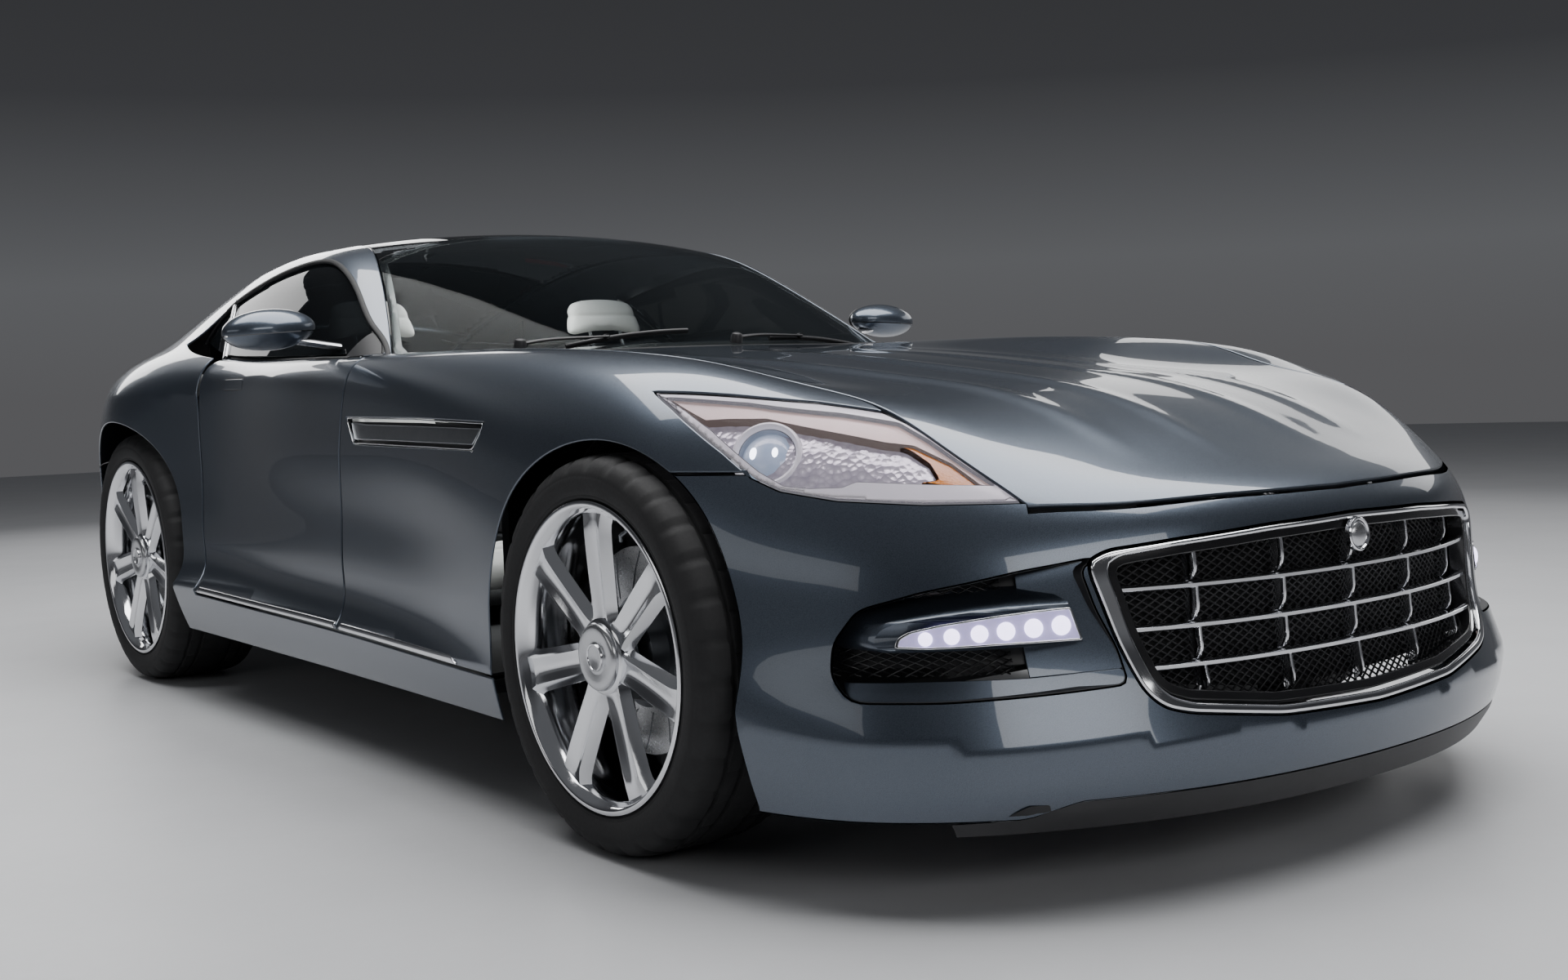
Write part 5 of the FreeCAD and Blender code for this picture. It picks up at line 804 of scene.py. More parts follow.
# front bumper
def mir(q): return np.stack([2*S0-q[:, 0], q[:, 1]], 1)
def mirr(q): return np.stack([2*S1-q[:, 0], q[:, 1]], 1)
c_low = np.vstack([S(yz((-1.679, .1352), (-1.80, .1365), 8)), sa_of(along([(-.70, -1.93, .1395)], (-.5, -.85, 0)))])
def low_edge(s):
    o, d = belt_rays(s, np.full(len(s), -.7)); y = None
    return s
s_lo = np.linspace(S([(-1.679, .1352)])[0, 0], S0, 60)
zl = np.interp(n_cast(*belt_rays(s_lo, np.full(60, -.60)), F_body)[:, 1], [-2.4, -2.012, -1.975, -1.2], [.168, .164, .140, .134])
bl_ = at_height(s_lo, zl)
a3 = math.asin((.6455-.338)/.362)
f_arch = np.vstack([S(yz((-1.679, .1352), (-1.6489, .295), 8)), S(arc(YA, .338, .362, math.pi+.12, math.pi-a3, 60))[1:]])
f_joint = S(yz((YA-.362*math.cos(a3), .6455), (-1.607, .6455), 8))
lamp_low = lamp_curve(7, 11)[::-1]
hf = resample([(-x, y) for x, y in HOOD_FRONT], 40)
hf_n = np.gradient(hf, axis=0); hf_n /= np.linalg.norm(hf_n, axis=1, keepdims=True)
hf_out = hf+np.stack([hf_n[:, 1], -hf_n[:, 0]], 1)*GAP
if hf_out[-1, 1] > hf[-1, 1]: hf_out = hf-np.stack([hf_n[:, 1], -hf_n[:, 0]], 1)*GAP
hf_sa = sa_of(over(hf_out)); hf_sa[-1, 0] = S0
half = [f_arch, f_joint, lamp_low, hf_sa]
bump_segs = half+[mir(q)[::-1] for q in half[::-1]]+[mir(bl_), bl_[::-1]]
BUMP_LOOP = closed(bump_segs)
gr = np.array(GRILLE+[(-x, z) for x, z in GRILLE[1:-1][::-1]], float)
def front_loop(pts, h=.008, grow=0.0):
    """Closed outline in (x, z), thrown onto the nose."""
    p = np.array(pts, float)
    if grow: p = inset(p, -grow)
    p = even(np.vstack([p, p[:1]]), h)[:-1]
    q = ahead(p); c = sa_of(q)
    c[:, 0] = np.where(q[:, 0] > 0, 2*S0-c[:, 0], c[:, 0])
    return c
def round_poly(pts, r, n=4):
    """Corners of a closed polygon rounded by r."""
    p = np.array(pts, float); out = []
    for i in range(len(p)):
        a, b, c = p[i-1], p[i], p[(i+1) % len(p)]
        u, v = (a-b), (c-b); lu, lv = np.linalg.norm(u), np.linalg.norm(v)
        u /= lu; v /= lv; k = min(r, .45*lu, .45*lv)
        for t in np.linspace(0, 1, n+1):
            out.append((b+u*k)*(1-t)**2+b*2*t*(1-t)+(b+v*k)*t*t)
    return np.array(out)
GR = round_poly(gr, .016)
FG = round_poly(FOG, .014)
FGL = FG*np.array([-1, 1])
panel("front_bumper_skin", [BUMP_LOOP, front_loop(GR, grow=.002), front_loop(FG), front_loop(FGL)], map_belt(), .004, PAINT, h=.015, body="body", repl=["front_bumper"])

# rear bumper, boot lid
def zline(y): return np.interp(y, [1.3, 2.5], [.165, .185])
s_r0 = float(S([(1.6145, .17)])[0, 0])
s_rl = np.linspace(s_r0, S1, 60)
zr_ = zline(n_cast(*belt_rays(s_rl, np.full(60, -.55)), F_body)[:, 1])
br_ = at_height(s_rl, zr_)
a4 = math.asin((.5985-.348)/.382)
r_arch = np.vstack([S(yz((1.6133, .171), (1.5992, .302), 5)), S(arc(YB, .348, .382, -.12, a4, 60))[1:]])
xe = sa_of(x_line(-.512, .5985, .70, 4))
r_joint = at_height(np.linspace(float(r_arch[-1, 0]), xe[0, 0], 60), .5985)
lid_low3 = along(np.array([(x, 2.105, .634) for x in np.linspace(-.512, 0, 20)]), (0, .62, .78))
rb_up = sa_of(x_line(-.512, .5985, float(lid_o[-1, 2]) if lid_o[-1, 2] < .7 else .64, 5))
low3 = along(np.array([(x, 2.10, .640) for x in np.linspace(-.4985, 0, 30)]), (0, .62, .78))
r_top = sa_of(ahead([(p[0], p[2]-.0085) for p in low3], F_body, 1.2, 1)); r_top[-1, 0] = S1
up_l = sa_of(ahead([(-.512, z) for z in np.linspace(.5985, float(low3[0, 2])-.0085, 6)], F_body, 1.2, 1))
halfr = [r_arch, r_joint, up_l, r_top]
rb_segs = halfr+[mirr(q)[::-1] for q in halfr[::-1]]+[mirr(br_), br_[::-1]]
def rear_loop(pts, h=.008):
    p = np.array(pts, float); p = even(np.vstack([p, p[:1]]), h)[:-1]
    q = ahead(p, F_body, 1.2, 1); c = sa_of(q)
    c[:, 0] = np.where(q[:, 0] > 0, 2*S1-c[:, 0], c[:, 0]); return c
ex = np.array([(-.52+.062*math.cos(t), .27+.062*math.sin(t)) for t in np.linspace(0, 2*math.pi, 40)[:-1]])
panel("rear_bumper_skin", [closed(rb_segs), rear_loop(ex), rear_loop(ex*np.array([-1, 1]))], map_belt(), .004, PAINT, h=.016, body="body", repl=["rear_bumper"])
lid_uv = tail_of(lid_c)
top_l = np.array([(x, float(lid_uv[0, 1])) for x in np.linspace(-.452, .452, 30)])
lid_top3 = along(np.array([(x, 1.734, 1.0) for x in np.linspace(-.452, .452, 40)]), (0, .62, .78))
lid_bot3 = along(np.array([(x, 2.10, .640) for x in np.linspace(.494, -.494, 40)]), (0, .62, .78))
lid_segs = [tail_of(lid_top3), flip(lid_uv), tail_of(lid_bot3), lid_uv[::-1]]
panel("trunk_lid_skin", [closed(lid_segs)], map_tail(), .008, PAINT, h=.016, body="boot_lid", repl=["trunk_lid"])

# greenhouse glass and roof
def ws_base(x): return -.427+.213*(np.abs(x)/.705)**2
def ws_top(x): return .350-.10*(x/.5)**2
def rw_top(x): return 1.150+.05*(x/.47)**2
def rw_end(x): return 1.722+0*x
def strip(f0, f1, d):
    def edge(f):
        x = .6
        for _ in range(40): x = float(SPX(f(x)))
        return x
    x0, x1 = edge(f0), edge(f1)
    a = [(x, f0(x)) for x in np.linspace(-x0, x0, 50)]
    r_ = [(float(SPX(y)), y) for y in np.linspace(f0(x0), f1(x1), 40)]
    b = [(x, f1(x)) for x in np.linspace(x1, -x1, 50)]
    q = closed([a, r_, b, flip(r_)[::-1]])
    return inset(q, d) if area2(q) > 0 else inset(q, d)
low_ray = lambda x, y: n_roof(x, y)-.22
cabm = map_top(shift(F_cabin, .0015), low_ray)
GL = lambda k: [M[k]]
def clip_x(q, lim):
    """Cut the foot corners of the screen at a half width."""
    q = q.copy(); m = (np.abs(q[:, 0]) > lim) & (q[:, 1] < -.05)
    q[m, 0] = np.sign(q[m, 0])*lim
    return even(np.vstack([q, q[:1]]), .012)[:-1]
panel("windshield_pane", [clip_x(strip(ws_base, ws_top, .002), .695)], cabm, .0050, GL("glass_clear"), h=.030, roll=.0012, body="body", repl=["windshield"])
panel("roof_black_panel", [strip(ws_top, rw_top, .002)], cabm, .012, [M["glass_roof"], M["glass_roof"]], h=.030, roll=.002, body="body", repl=["roof_panel"])
panel("rear_window_pane", [strip(rw_top, rw_end, .002)], map_top(shift(F_body, .0015)), .005, GL("glass_rear"), h=.030, roll=.0012, body="body", repl=["rear_window"])
# side glass: the pane is cut by the blade
dloz = [(y, z) for y, z in dlo]
gl_in = np.array(dloz+[(y, float(SB(y))) for y in np.linspace(1.165, -.15, 60)][1:-1])
gl_in = inset(gl_in, .006)
def cut_poly(poly, line, keep_front):
    """Part of a (y, z) polygon in front of or behind a line y(z)."""
    y0 = np.interp(poly[:, 1], line[:, 1], line[:, 0])
    ins = (poly[:, 0] < y0) if keep_front else (poly[:, 0] > y0)
    out = []
    n = len(poly)
    for i in range(n):
        a, b = poly[i], poly[(i+1) % n]; ia, ib = ins[i], ins[(i+1) % n]
        if ia: out.append(a)
        if ia != ib:
            t = .5
            lo, hi = 0.0, 1.0
            for _ in range(30):
                t = .5*(lo+hi); p = a+(b-a)*t
                v = (p[0] < np.interp(p[1], line[:, 1], line[:, 0])) if keep_front else (p[0] > np.interp(p[1], line[:, 1], line[:, 0]))
                if v == ia: lo = t
                else: hi = t
            out.append(a+(b-a)*t)
    return np.array(out)
bl_f = np.array([(.826, .80), (.826, .888), (.990, 1.048), (1.10, 1.150)])
bl_r = np.array([(.836, .80), (.836, .884), (1.0, 1.044), (1.12, 1.155)])
gm = map_cabin(shift(F_cabin, .006))
def CS(p): return cabin_of(side(even(np.vstack([p, p[:1]]), .010)[:-1], F_cabin))
def side_cab(p):
    p = even(np.vstack([p, p[:1]]), .010)[:-1]
    o = np.stack([np.full(len(p), -.25), p[:, 0], p[:, 1]], 1)
    return cabin_of(n_cast(o, np.tile([-1.0, 0, 0], (len(p), 1)), shift(F_cabin, .006), .02, 1.0))
front_glass = cut_poly(gl_in, bl_f, True); rear_glass = cut_poly(gl_in, bl_r, False)
panel("right_door_pane", [side_cab(front_glass)], gm, .0045, GL("glass_side"), h=.030, roll=.001, body="right_door", repl=["right_door_glass"], mirror=True)
qa, qb = panel("right_quarter_pane", [side_cab(rear_glass)], gm, .0045, GL("glass_side"), h=.030, roll=.001, body="body", mirror=True)
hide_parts("quarter_windows")


# ---------------------------------------------------------------- small tools for detail pieces
def join_meshes(name, parts, mats, body, repl=(), smooth_angle=None):
    """parts: (verts, faces, material index) lists joined into one piece."""
    V, Fc, FM = [], [], []
    for v, f, mi in parts:
        o = len(V); V += [tuple(q) for q in v]; Fc += [tuple(i+o for i in q) for q in f]
        FM += [mi]*len(f) if isinstance(mi, int) else list(mi)
    ob = obj_from(name, V, Fc, None, mats, FM)
    if smooth_angle:
        with_sharp(ob, smooth_angle)
    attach(ob, body)
    if repl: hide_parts(*repl)
    return ob
def with_sharp(ob, ang):
    me = ob.data; bm = bmesh.new(); bm.from_mesh(me)
    bmesh.ops.recalc_face_normals(bm, faces=bm.faces)
    for e in bm.edges:
        e.smooth = not (len(e.link_faces) == 2 and e.calc_face_angle(0) > math.radians(ang))
    bm.to_mesh(me); bm.free()
def grid_faces(n, m, off=0, cu=False, cv=False):
    f = []
    for i in range(n-(0 if cu else 1)):
        for j in range(m-(0 if cv else 1)):
            a, b, c, d = i*m+j, i*m+(j+1) % m, ((i+1) % n)*m+(j+1) % m, ((i+1) % n)*m+j
            f.append((a+off, b+off, c+off, d+off))
    return f
def tube(path, r, n=8, cap=True, closed_path=False, flat=None, up=None):
    """Swept section about a path. r a number or a list; flat = (a, b) half sizes of an oval."""
    P = np.array(path, float); N = len(P)
    T = np.gradient(P, axis=0) if not closed_path else (np.roll(P, -1, 0)-np.roll(P, 1, 0))
    T /= np.maximum(np.linalg.norm(T, axis=1, keepdims=True), 1e-9)
    u = np.array(up if up is not None else (0, 0, 1.0), float)
    if up is None and abs(T[0]@u) > .9: u = np.array([1.0, 0, 0])
    v = []
    x = np.cross(T[0], u); x /= np.linalg.norm(x)
    for i in range(N):
        if up is None:
            x = x-T[i]*(x@T[i])
        else:
            uu = np.array(up[i] if np.ndim(up) == 2 else up, float); x = np.cross(T[i], uu)
        x /= np.linalg.norm(x); y = np.cross(T[i], x)
        rr = r[i] if hasattr(r, '__len__') else r
        fa, fb = flat if flat else (1, 1)
        for k in range(n):
            a = 2*math.pi*k/n
            v.append(P[i]+x*math.cos(a)*rr*fa+y*math.sin(a)*rr*fb)
    f = grid_faces(N, n, cu=closed_path, cv=True)
    if cap and not closed_path:
        f.append(tuple(range(n))[::-1]); f.append(tuple((N-1)*n+k for k in range(n)))
    return v, f
def ribbon(path, normals, w, t, n_round=2):
    """Raised strip along a path on a surface: width w (number or list), height t, with soft top edges; closed solid."""
    P = np.array(path, float); N = np.array(normals, float)
    T = np.gradient(P, axis=0); T /= np.linalg.norm(T, axis=1, keepdims=True)
    B = np.cross(T, N); B /= np.linalg.norm(B, axis=1, keepdims=True)
    sec = [(-.5, -.6), (-.5, .35), (-.44, .72), (-.30, .93), (0, 1), (.30, .93), (.44, .72), (.5, .35), (.5, -.6)]
    v = []
    for i in range(len(P)):
        ww = w[i] if hasattr(w, '__len__') else w
        tt = t[i] if hasattr(t, '__len__') else t
        for a, h in sec: v.append(P[i]+B[i]*a*ww+N[i]*h*tt)
    m = len(sec); f = grid_faces(len(P), m, cv=True)
    f.append(tuple(range(m))[::-1]); f.append(tuple((len(P)-1)*m+k for k in range(m)))
    return v, f
def lathe_x(prof, n=96, x0=0, c=(0, 0)):
    """Surface of revolution about the x direction; prof of (x, r). Closed profile."""
    v = []
    for k in range(n):
        a = 2*math.pi*k/n
        for x, r in prof: v.append((x0+x, c[0]+r*math.cos(a), c[1]+r*math.sin(a)))
    return v, grid_faces(n, len(prof), cu=True, cv=True)
def lathe_open(prof, n=96):
    """Revolution of an open profile that starts and ends on the axis."""
    v = []; m = len(prof)
    for k in range(n):
        a = 2*math.pi*k/n
        for x, r in prof[1:-1]: v.append((x, r*math.cos(a), r*math.sin(a)))
    mm_ = m-2; f = grid_faces(n, mm_, cu=True)
    v.append((prof[0][0], 0, 0)); v.append((prof[-1][0], 0, 0)); i0, i1 = len(v)-2, len(v)-1
    for k in range(n):
        f.append((i0, k*mm_, ((k+1) % n)*mm_)[::-1]); f.append((i1, k*mm_+mm_-1, ((k+1) % n)*mm_+mm_-1))
    return v, f
def flipf(f): return [tuple(q[::-1]) for q in f]
def rot_x(v, a):
    c, s = math.cos(a), math.sin(a); v = np.asarray(v, float)
    return np.stack([v[:, 0], v[:, 1]*c-v[:, 2]*s, v[:, 1]*s+v[:, 2]*c], 1)
def rot_y(v, a):
    c, s = math.cos(a), math.sin(a); v = np.asarray(v, float)
    return np.stack([v[:, 0]*c+v[:, 2]*s, v[:, 1], -v[:, 0]*s+v[:, 2]*c], 1)
def box_v(x0, x1, y0, y1, z0, z1):
    v = [(x, y, z) for x in (x0, x1) for y in (y0, y1) for z in (z0, z1)]
    return v, [(0, 1, 3, 2), (4, 6, 7, 5), (0, 4, 5, 1), (2, 3, 7, 6), (0, 2, 6, 4), (1, 5, 7, 3)]
def soft(ob, w=.002, seg=2, angle=30, sub=0):
    b = ob.modifiers.new("bevel", 'BEVEL'); b.width = w; b.segments = seg; b.limit_method = 'ANGLE'; b.angle_limit = math.radians(angle)
    b.harden_normals = False
    if sub:
        s = ob.modifiers.new("sub", 'SUBSURF'); s.levels = s.render_levels = sub
    return ob

# ---------------------------------------------------------------- wheels and tyres
TAU = 2*math.pi
def spoke_mesh(rr, w):
    """One broad spoke, towards +z: two sharp ridges with a valley between, flaring into the rim. x is the depth from the tyre's outer face."""
    rows = 22
    # radius from hub to rim
    R = np.linspace(.050, rr-.0125, rows)
    V_, F_ = [], []
    t = (R-R[0])/(R[-1]-R[0])
    half = .0315+.0075*t+.012*np.clip((t-.80)/.2, 0, 1)**2+.010*np.clip((.16-t)/.16, 0, 1)**2
    face = .0255-.0115*np.sin(np.clip(t, 0, 1)*math.pi/2)**1.2+.004*np.clip((t-.85)/.15, 0, 1)     # depth of the ridges
    ridge = .62                     # ridge position as a share of the half width
    valley = .0085*np.sin(np.clip(t*1.02, 0, 1)*math.pi)**.6
    back = .052-.020*t
    sec_u = [-1, -.985, -.93, -ridge-.10, -ridge, -ridge+.10, -.28, 0, .28, ridge-.10, ridge, ridge+.10, .93, .985, 1]
    def depth(u, i):
        a = abs(u)
        if a <= ridge:
            k = 1-(a/ridge)**1.35
            return face[i]+valley[i]*k*k*(3-2*k)
        k = (a-ridge)/(1-ridge)
        return face[i]+.016*k**1.15
    for i in range(rows):
        for u in sec_u:
            V_.append((depth(u, i), u*half[i], R[i]))
        for u in (.92, 0, -.92):
            V_.append((back[i], u*half[i]*.72, R[i]))
    m = len(sec_u)+3
    F_ = grid_faces(rows, m, cv=True)
    F_.append(tuple(range(m))); F_.append(tuple((rows-1)*m+k for k in range(m))[::-1])
    return np.array(V_), F_
def wheel_parts(rr, w, disc_r, sgn):
    """Rim, spokes, cap, disc with its bell. Outer face at x = 0, inward +x; sgn -1 puts it on the right side."""
    P = []
    lip = [(.0145, rr), (.0050, rr+.0005), (.0035, rr-.0020), (.0032, rr-.0060), (.0045, rr-.0095), (.0100, rr-.0130), (.0150, rr-.0185), (.0240, rr-.0235), (.0500, rr-.0300), (.0800, rr-.0345), (w-.075, rr-.0355), (w-.030, rr-.0260), (w-.0130, rr-.0150), (w-.0085, rr-.0040), (w-.0085, rr), (w-.0140, rr), (w-.0160, rr-.0080), (.022, rr-.0085), (.0165, rr-.0030)]
    P.append((*lathe_x(lip, 128), 0))
    sv, sf = spoke_mesh(rr, w)
    for k in range(7):
        P.append((rot_x(sv, TAU*k/7), sf, 0))
    # hub bowl between the spokes and the cap seat
    hub = [(.052, 0), (.052, .040), (.030, .060), (.0215, .0615), (.0195, .058), (.0195, .0), (.030, .0)]
    P.append((*lathe_x([(.0255, .0), (.0205, .0), (.0205, .0585), (.024, .0640), (.036, .0655), (.060, .0600), (.060, .0)][1:-1]+[(.058, .004), (.0215, .004)], 96), 0))
    # large smooth dish cap, generic
    cap = [(.0125, 0), (.0118, .010), (.0100, .018), (.0096, .022), (.0120, .0235), (.0128, .0255), (.0122, .030), (.0108, .040), (.0102, .048), (.0112, .0535), (.0140, .0565), (.0180, .0575), (.026, .0575), (.026, 0)]
    v, f = lathe_open(cap, 96); P.append((v, f, 1))
    ring = [(.0096, .0200), (.0082, .0210), (.0080, .0228), (.0096, .0240), (.0125, .0240), (.0125, .0200)]
    P.append((*lathe_x(ring, 96), 0))
    # five recessed bolts behind the cap's edge are hidden; a valve stem shows
    st, sf2 = tube([(.012, 0, rr-.040), (.008, 0, rr-.030), (.020, 0, rr-.020)], .0032, 8)
    P.append((rot_x(st, TAU/14), sf2, 2))
    # brake disc: two rings with vanes, bell
    disc = [(.1065, .090), (.1065, disc_r-.001), (.1075, disc_r), (.1135, disc_r), (.1145, disc_r-.002), (.1145, .098), (.1225, .098), (.1225, disc_r-.002), (.1235, disc_r), (.1305, disc_r), (.1315, disc_r-.001), (.1315, .090)]
    P.append((*lathe_x(disc, 96), 3))
    bell = [(.060, .0), (.072, .050), (.074, .078), (.1060, .088), (.1065, .097), (.112, .098), (.112, .070), (.060, .070)]
    P.append((*lathe_x([(.062, .010), (.072, .050), (.075, .078), (.104, .086), (.1063, .097), (.113, .098), (.113, .060), (.118, .050), (.118, .010)], 96), 2))
    for k in range(14):
        a = TAU*k/14
        s = []
        for r0, da in ((.106, 0), (disc_r*.78, .13), (disc_r-.008, .24)): s.append((.1062, r0*math.cos(a+da), r0*math.sin(a+da)))
        v, f = tube(s, .0016, 6, flat=(1.0, .5)); P.append((v, f, 2))
    out = []
    for v, f, m in P:
        v = np.array(v, float)
        if sgn > 0: out.append((v*A(-1, 1, 1), f, m))      # left side: outward is +x
        else: out.append((v, f, m))
    return out
def tyre_parts(rr, rt, w, sgn):
    """Low-profile tyre: round shoulders, rim bead, circumferential grooves, shoulder blocks, side rings."""
    n = 288
    half = w/2
    prof = []
    def groove(x, d, g): return [(x-g, 0), (x-g*.6, d), (x+g*.6, d), (x+g, 0)]
    tread = [(.026, rt-.0052), (.036, rt-.0026)]
    for x in (.055, .088): tread += [(x-.0055, rt-.0008), (x-.0040, rt-.0075), (x+.0040, rt-.0075), (x+.0055, rt-.0004)]
    tread += [(half-.010, rt-.0002), (half, rt)]
    mirt = [(w-x, r) for x, r in tread[::-1][1:]]
    sidew = [(.0155, rr-.0068), (.0125, rr+.0010), (.0100, rr+.0035), (.0062, rr+.0052), (.0050, rr+.0080), (.0052, rr+.0105), (.0032, rr+.0130), (.0018, rr+.0200), (.0006, rr+.0260), (.0000, rr+.0330), (.0003, rr+.0400), (.0014, rr+.0420), (.0012, rr+.0432), (.0034, rt-.0260), (.0070, rt-.0185), (.0125, rt-.0120), (.0190, rt-.0078)]
    sidew2 = [(w-x, r) for x, r in sidew[::-1]]
    prof = sidew+tread+mirt+sidew2
    m = len(prof)
    V_ = np.empty((n, m, 3))
    pr = np.array(prof)
    shoulder = ((pr[:, 0] < .050) | (pr[:, 0] > w-.050)) & (pr[:, 1] > rt-.030)
    for k in range(n):
        a = TAU*k/n
        r = pr[:, 1].copy(); x = pr[:, 0]
        # sipes across the shoulders: two of every nine steps are cut lower
        cut = (k % 9) in (0, 1)
        if cut: r = r-np.where(shoulder, .0042*np.clip((r-(rt-.030))/.012, 0, 1), 0)
        cut2 = (k % 9) in (4,)
        inner = (pr[:, 0] > .060) & (pr[:, 0] < w-.060) & (pr[:, 1] > rt-.002)
        if cut2: r = r-np.where(inner & (np.abs(pr[:, 0]-half) > .014), .0030, 0)
        V_[k, :, 0] = x; V_[k, :, 1] = r*math.cos(a); V_[k, :, 2] = r*math.sin(a)
    v = V_.reshape(-1, 3); f = grid_faces(n, m, cu=True, cv=True)
    P = [(v*A(-1, 1, 1) if sgn > 0 else v, f, 0)]
    return P
for side_n, sg in (("right", -1), ("left", 1)):
    for ax, yc, zc, rr, rt, w, xo, dr_ in (("front", -1.29, .338, .262, .338, .240, .908, .178), ("rear", 1.22, .348, .270, .348, .262, .886, .172)):
        def put_(parts, name, mats, repl, ang):
            sh = A(-xo if sg < 0 else xo, yc, zc)
            pp = [(np.asarray(v)+sh, f, m) for v, f, m in parts]
            return join_meshes(name, pp, mats, f"{ax}_{side_n}_wheel", [repl], smooth_angle=ang)
        put_(wheel_parts(rr, w, dr_, sg), f"{ax}_{side_n}_rim", [M["wheel"], M["satin"], M["darkmetal"], M["disc"]], f"{ax}_{side_n}_wheel", 38)
        put_(tyre_parts(rr, rt, w, sg), f"{ax}_{side_n}_tyre_tread", [M["tyre"]], f"{ax}_{side_n}_tyre", 40)

# ---------------------------------------------------------------- carried-over pieces get real finishes
def finish(node, key, extra=None):
    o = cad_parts[node]
    if not o.data.materials: o.data.materials.append(M[key])
    for i in range(len(o.material_slots)): o.material_slots[i].material = M[key]
for nd, key in (("underbody", "chassis"), ("front_subframe", "chassis"), ("rear_subframe", "chassis"), ("engine_block", "engine"), ("arch_liners", "liner"), ("left_knuckle", "cast"), ("right_knuckle", "cast"),
                ("cowl_panel", "black"), ("front_splitter", "black"), ("exhaust_tips", "chrome"), ("wipers", "black"), ("dashboard", "dash"), ("steering_wheel", "leather_dark"), ("grille", "chrome"), ("fender_vents", "black"),
                ("headlights", "bezel_painted_glow"), ("daytime_lamps", "black"), ("tail_lights", "red"), ("left_mirror", "paint"), ("right_mirror", "paint"), ("seats", "leather")):
    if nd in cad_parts: finish(nd, key)


# ---------------------------------------------------------------- lamps, grille and trim
def belt_poly(p3, h=.006, r=0.0):
    """Closed (s, a) outline through points on or near the skin."""
    q = sa_of(np.array(p3, float))
    if r: q = round_poly(q, r)
    return even(np.vstack([q, q[:1]]), h)[:-1]
def lens_mesh(c, ax, prof, n=48, el=1.0, up=(0, 0, 1.0)):
    """Revolved piece about an axis through c; prof is (height along the axis, radius), from the middle out and back."""
    a = np.array(ax, float); a /= np.linalg.norm(a)
    u = np.cross(np.array(up, float), a); u /= np.linalg.norm(u); w = np.cross(a, u)
    v = []; m = len(prof)
    for k in range(n):
        t = 2*math.pi*k/n
        for h, r in prof: v.append(np.array(c)+a*h+u*math.cos(t)*r*el+w*math.sin(t)*r)
    return v, grid_faces(n, m, cu=True, cv=True)
def dome_mesh(c, ax, prof, n=32, el=1.0, up=(0, 0, 1.0)):
    """As lens_mesh for a profile that starts and ends on the axis."""
    a = np.array(ax, float); a /= np.linalg.norm(a)
    u = np.cross(np.array(up, float), a); u /= np.linalg.norm(u); w = np.cross(a, u)
    v = []; p = prof[1:-1]; m = len(p)
    for k in range(n):
        t = 2*math.pi*k/n
        for h, r in p: v.append(np.array(c)+a*h+u*math.cos(t)*r*el+w*math.sin(t)*r)
    f = grid_faces(n, m, cu=True)
    v.append(np.array(c)+a*prof[0][0]); v.append(np.array(c)+a*prof[-1][0]); i0, i1 = len(v)-2, len(v)-1
    for k in range(n):
        f.append((i0, k*m, ((k+1) % n)*m)[::-1]); f.append((i1, k*m+m-1, ((k+1) % n)*m+m-1))
    return v, f
def mx(part):
    v, f, mi = part
    return [np.array(q)*np.array([-1, 1, 1]) for q in v], flipf(f), mi
def both(name, parts, mats, body="body", repl=(), ang=35):
    """A right piece and its mirrored left one."""
    out = []
    for sd, pp in (("right", parts), ("left", [mx(p) for p in parts])):
        b = body.replace("right", sd); r = [x.replace("right", sd) for x in repl]
        out.append(join_meshes(name.replace("right", sd), pp, mats, b, r, smooth_angle=ang))
    return out

L0 = even(np.vstack([sa_of(lamp3), sa_of(lamp3)[:1]]), .006)[:-1]
FR_IN = [(-.806, -1.396, .768), (-.741, -1.535, .755), (-.661, -1.67, .735), (-.606, -1.742, .7165), (-.594, -1.796, .689), (-.579, -1.859, .650), (-.563, -1.905, .6215),
         (-.641, -1.844, .627), (-.715, -1.764, .634), (-.732, -1.75, .626), (-.761, -1.707, .6255), (-.779, -1.668, .629), (-.791, -1.62, .651), (-.798, -1.574, .679), (-.802, -1.514, .715), (-.806, -1.45, .746)]
FI = belt_poly(FR_IN, .006)
# Bezel inside the lamp, in the white with painted glow.
panel("right_headlight_bezel", [inset(L0, .0012), FI], map_belt(shift(F_body, .0042)), .030, [M["bezel_painted_glow"], M["bezel_painted_glow"]], h=.010, roll=.0015, mirror=True)
hl = panel("right_headlight_cover", [inset(L0, .0008)], map_belt(shift(F_body, .0008)), .0024, GL("glass_lamp"), h=.012, roll=.0008, mirror=True)
# Peach ledge inside the headlight with a weak emission: painted glow that lifts the ledge as if lit from above.
m = Mat("lamp_peach_ledge").set(rough=.16, coat=.5, emit=(1.0, .80, .74), power=.22); m.to(m.mixc(m.noise(30, 3), (.62, .44, .40), (.74, .58, .54)), "Base Color"); M["peach"] = m.m
# Cell reflector with a weak emission (painted glow) and colour lighter at each cell's centre, darker at its rim:
# painted highlight and shade on the cells.
m = Mat("lamp_cell_reflector_painted_light").set(metal=.45, rough=.16, coat=.5, coat_rough=.03, emit=(.74, .72, .86), power=.20); v_ = m.voro(95); m.to(m.ramp(v_, [(0, (.80, .79, .83)), (.45, (.62, .60, .66)), (1, (.42, .40, .47))]), "Base Color"); m.bump(v_, .002, .6); M["cells"] = m.m
LEDGE = [(-.806, -1.394, .768), (-.741, -1.533, .756), (-.661, -1.67, .736), (-.606, -1.742, .7175), (-.594, -1.796, .690), (-.579, -1.859, .651), (-.562, -1.907, .6205),
         (-.582, -1.894, .6235), (-.594, -1.843, .656), (-.618, -1.787, .683), (-.649, -1.756, .689), (-.702, -1.663, .710), (-.738, -1.575, .729), (-.775, -1.520, .731), (-.798, -1.487, .731)]
# Upper ledge in the peach colour with painted glow.
panel("right_headlight_upper_ledge", [belt_poly(LEDGE, .006)], map_belt(shift(F_body, .011)), .020, [M["peach"], M["peach"]], h=.010, roll=.002, mirror=True)
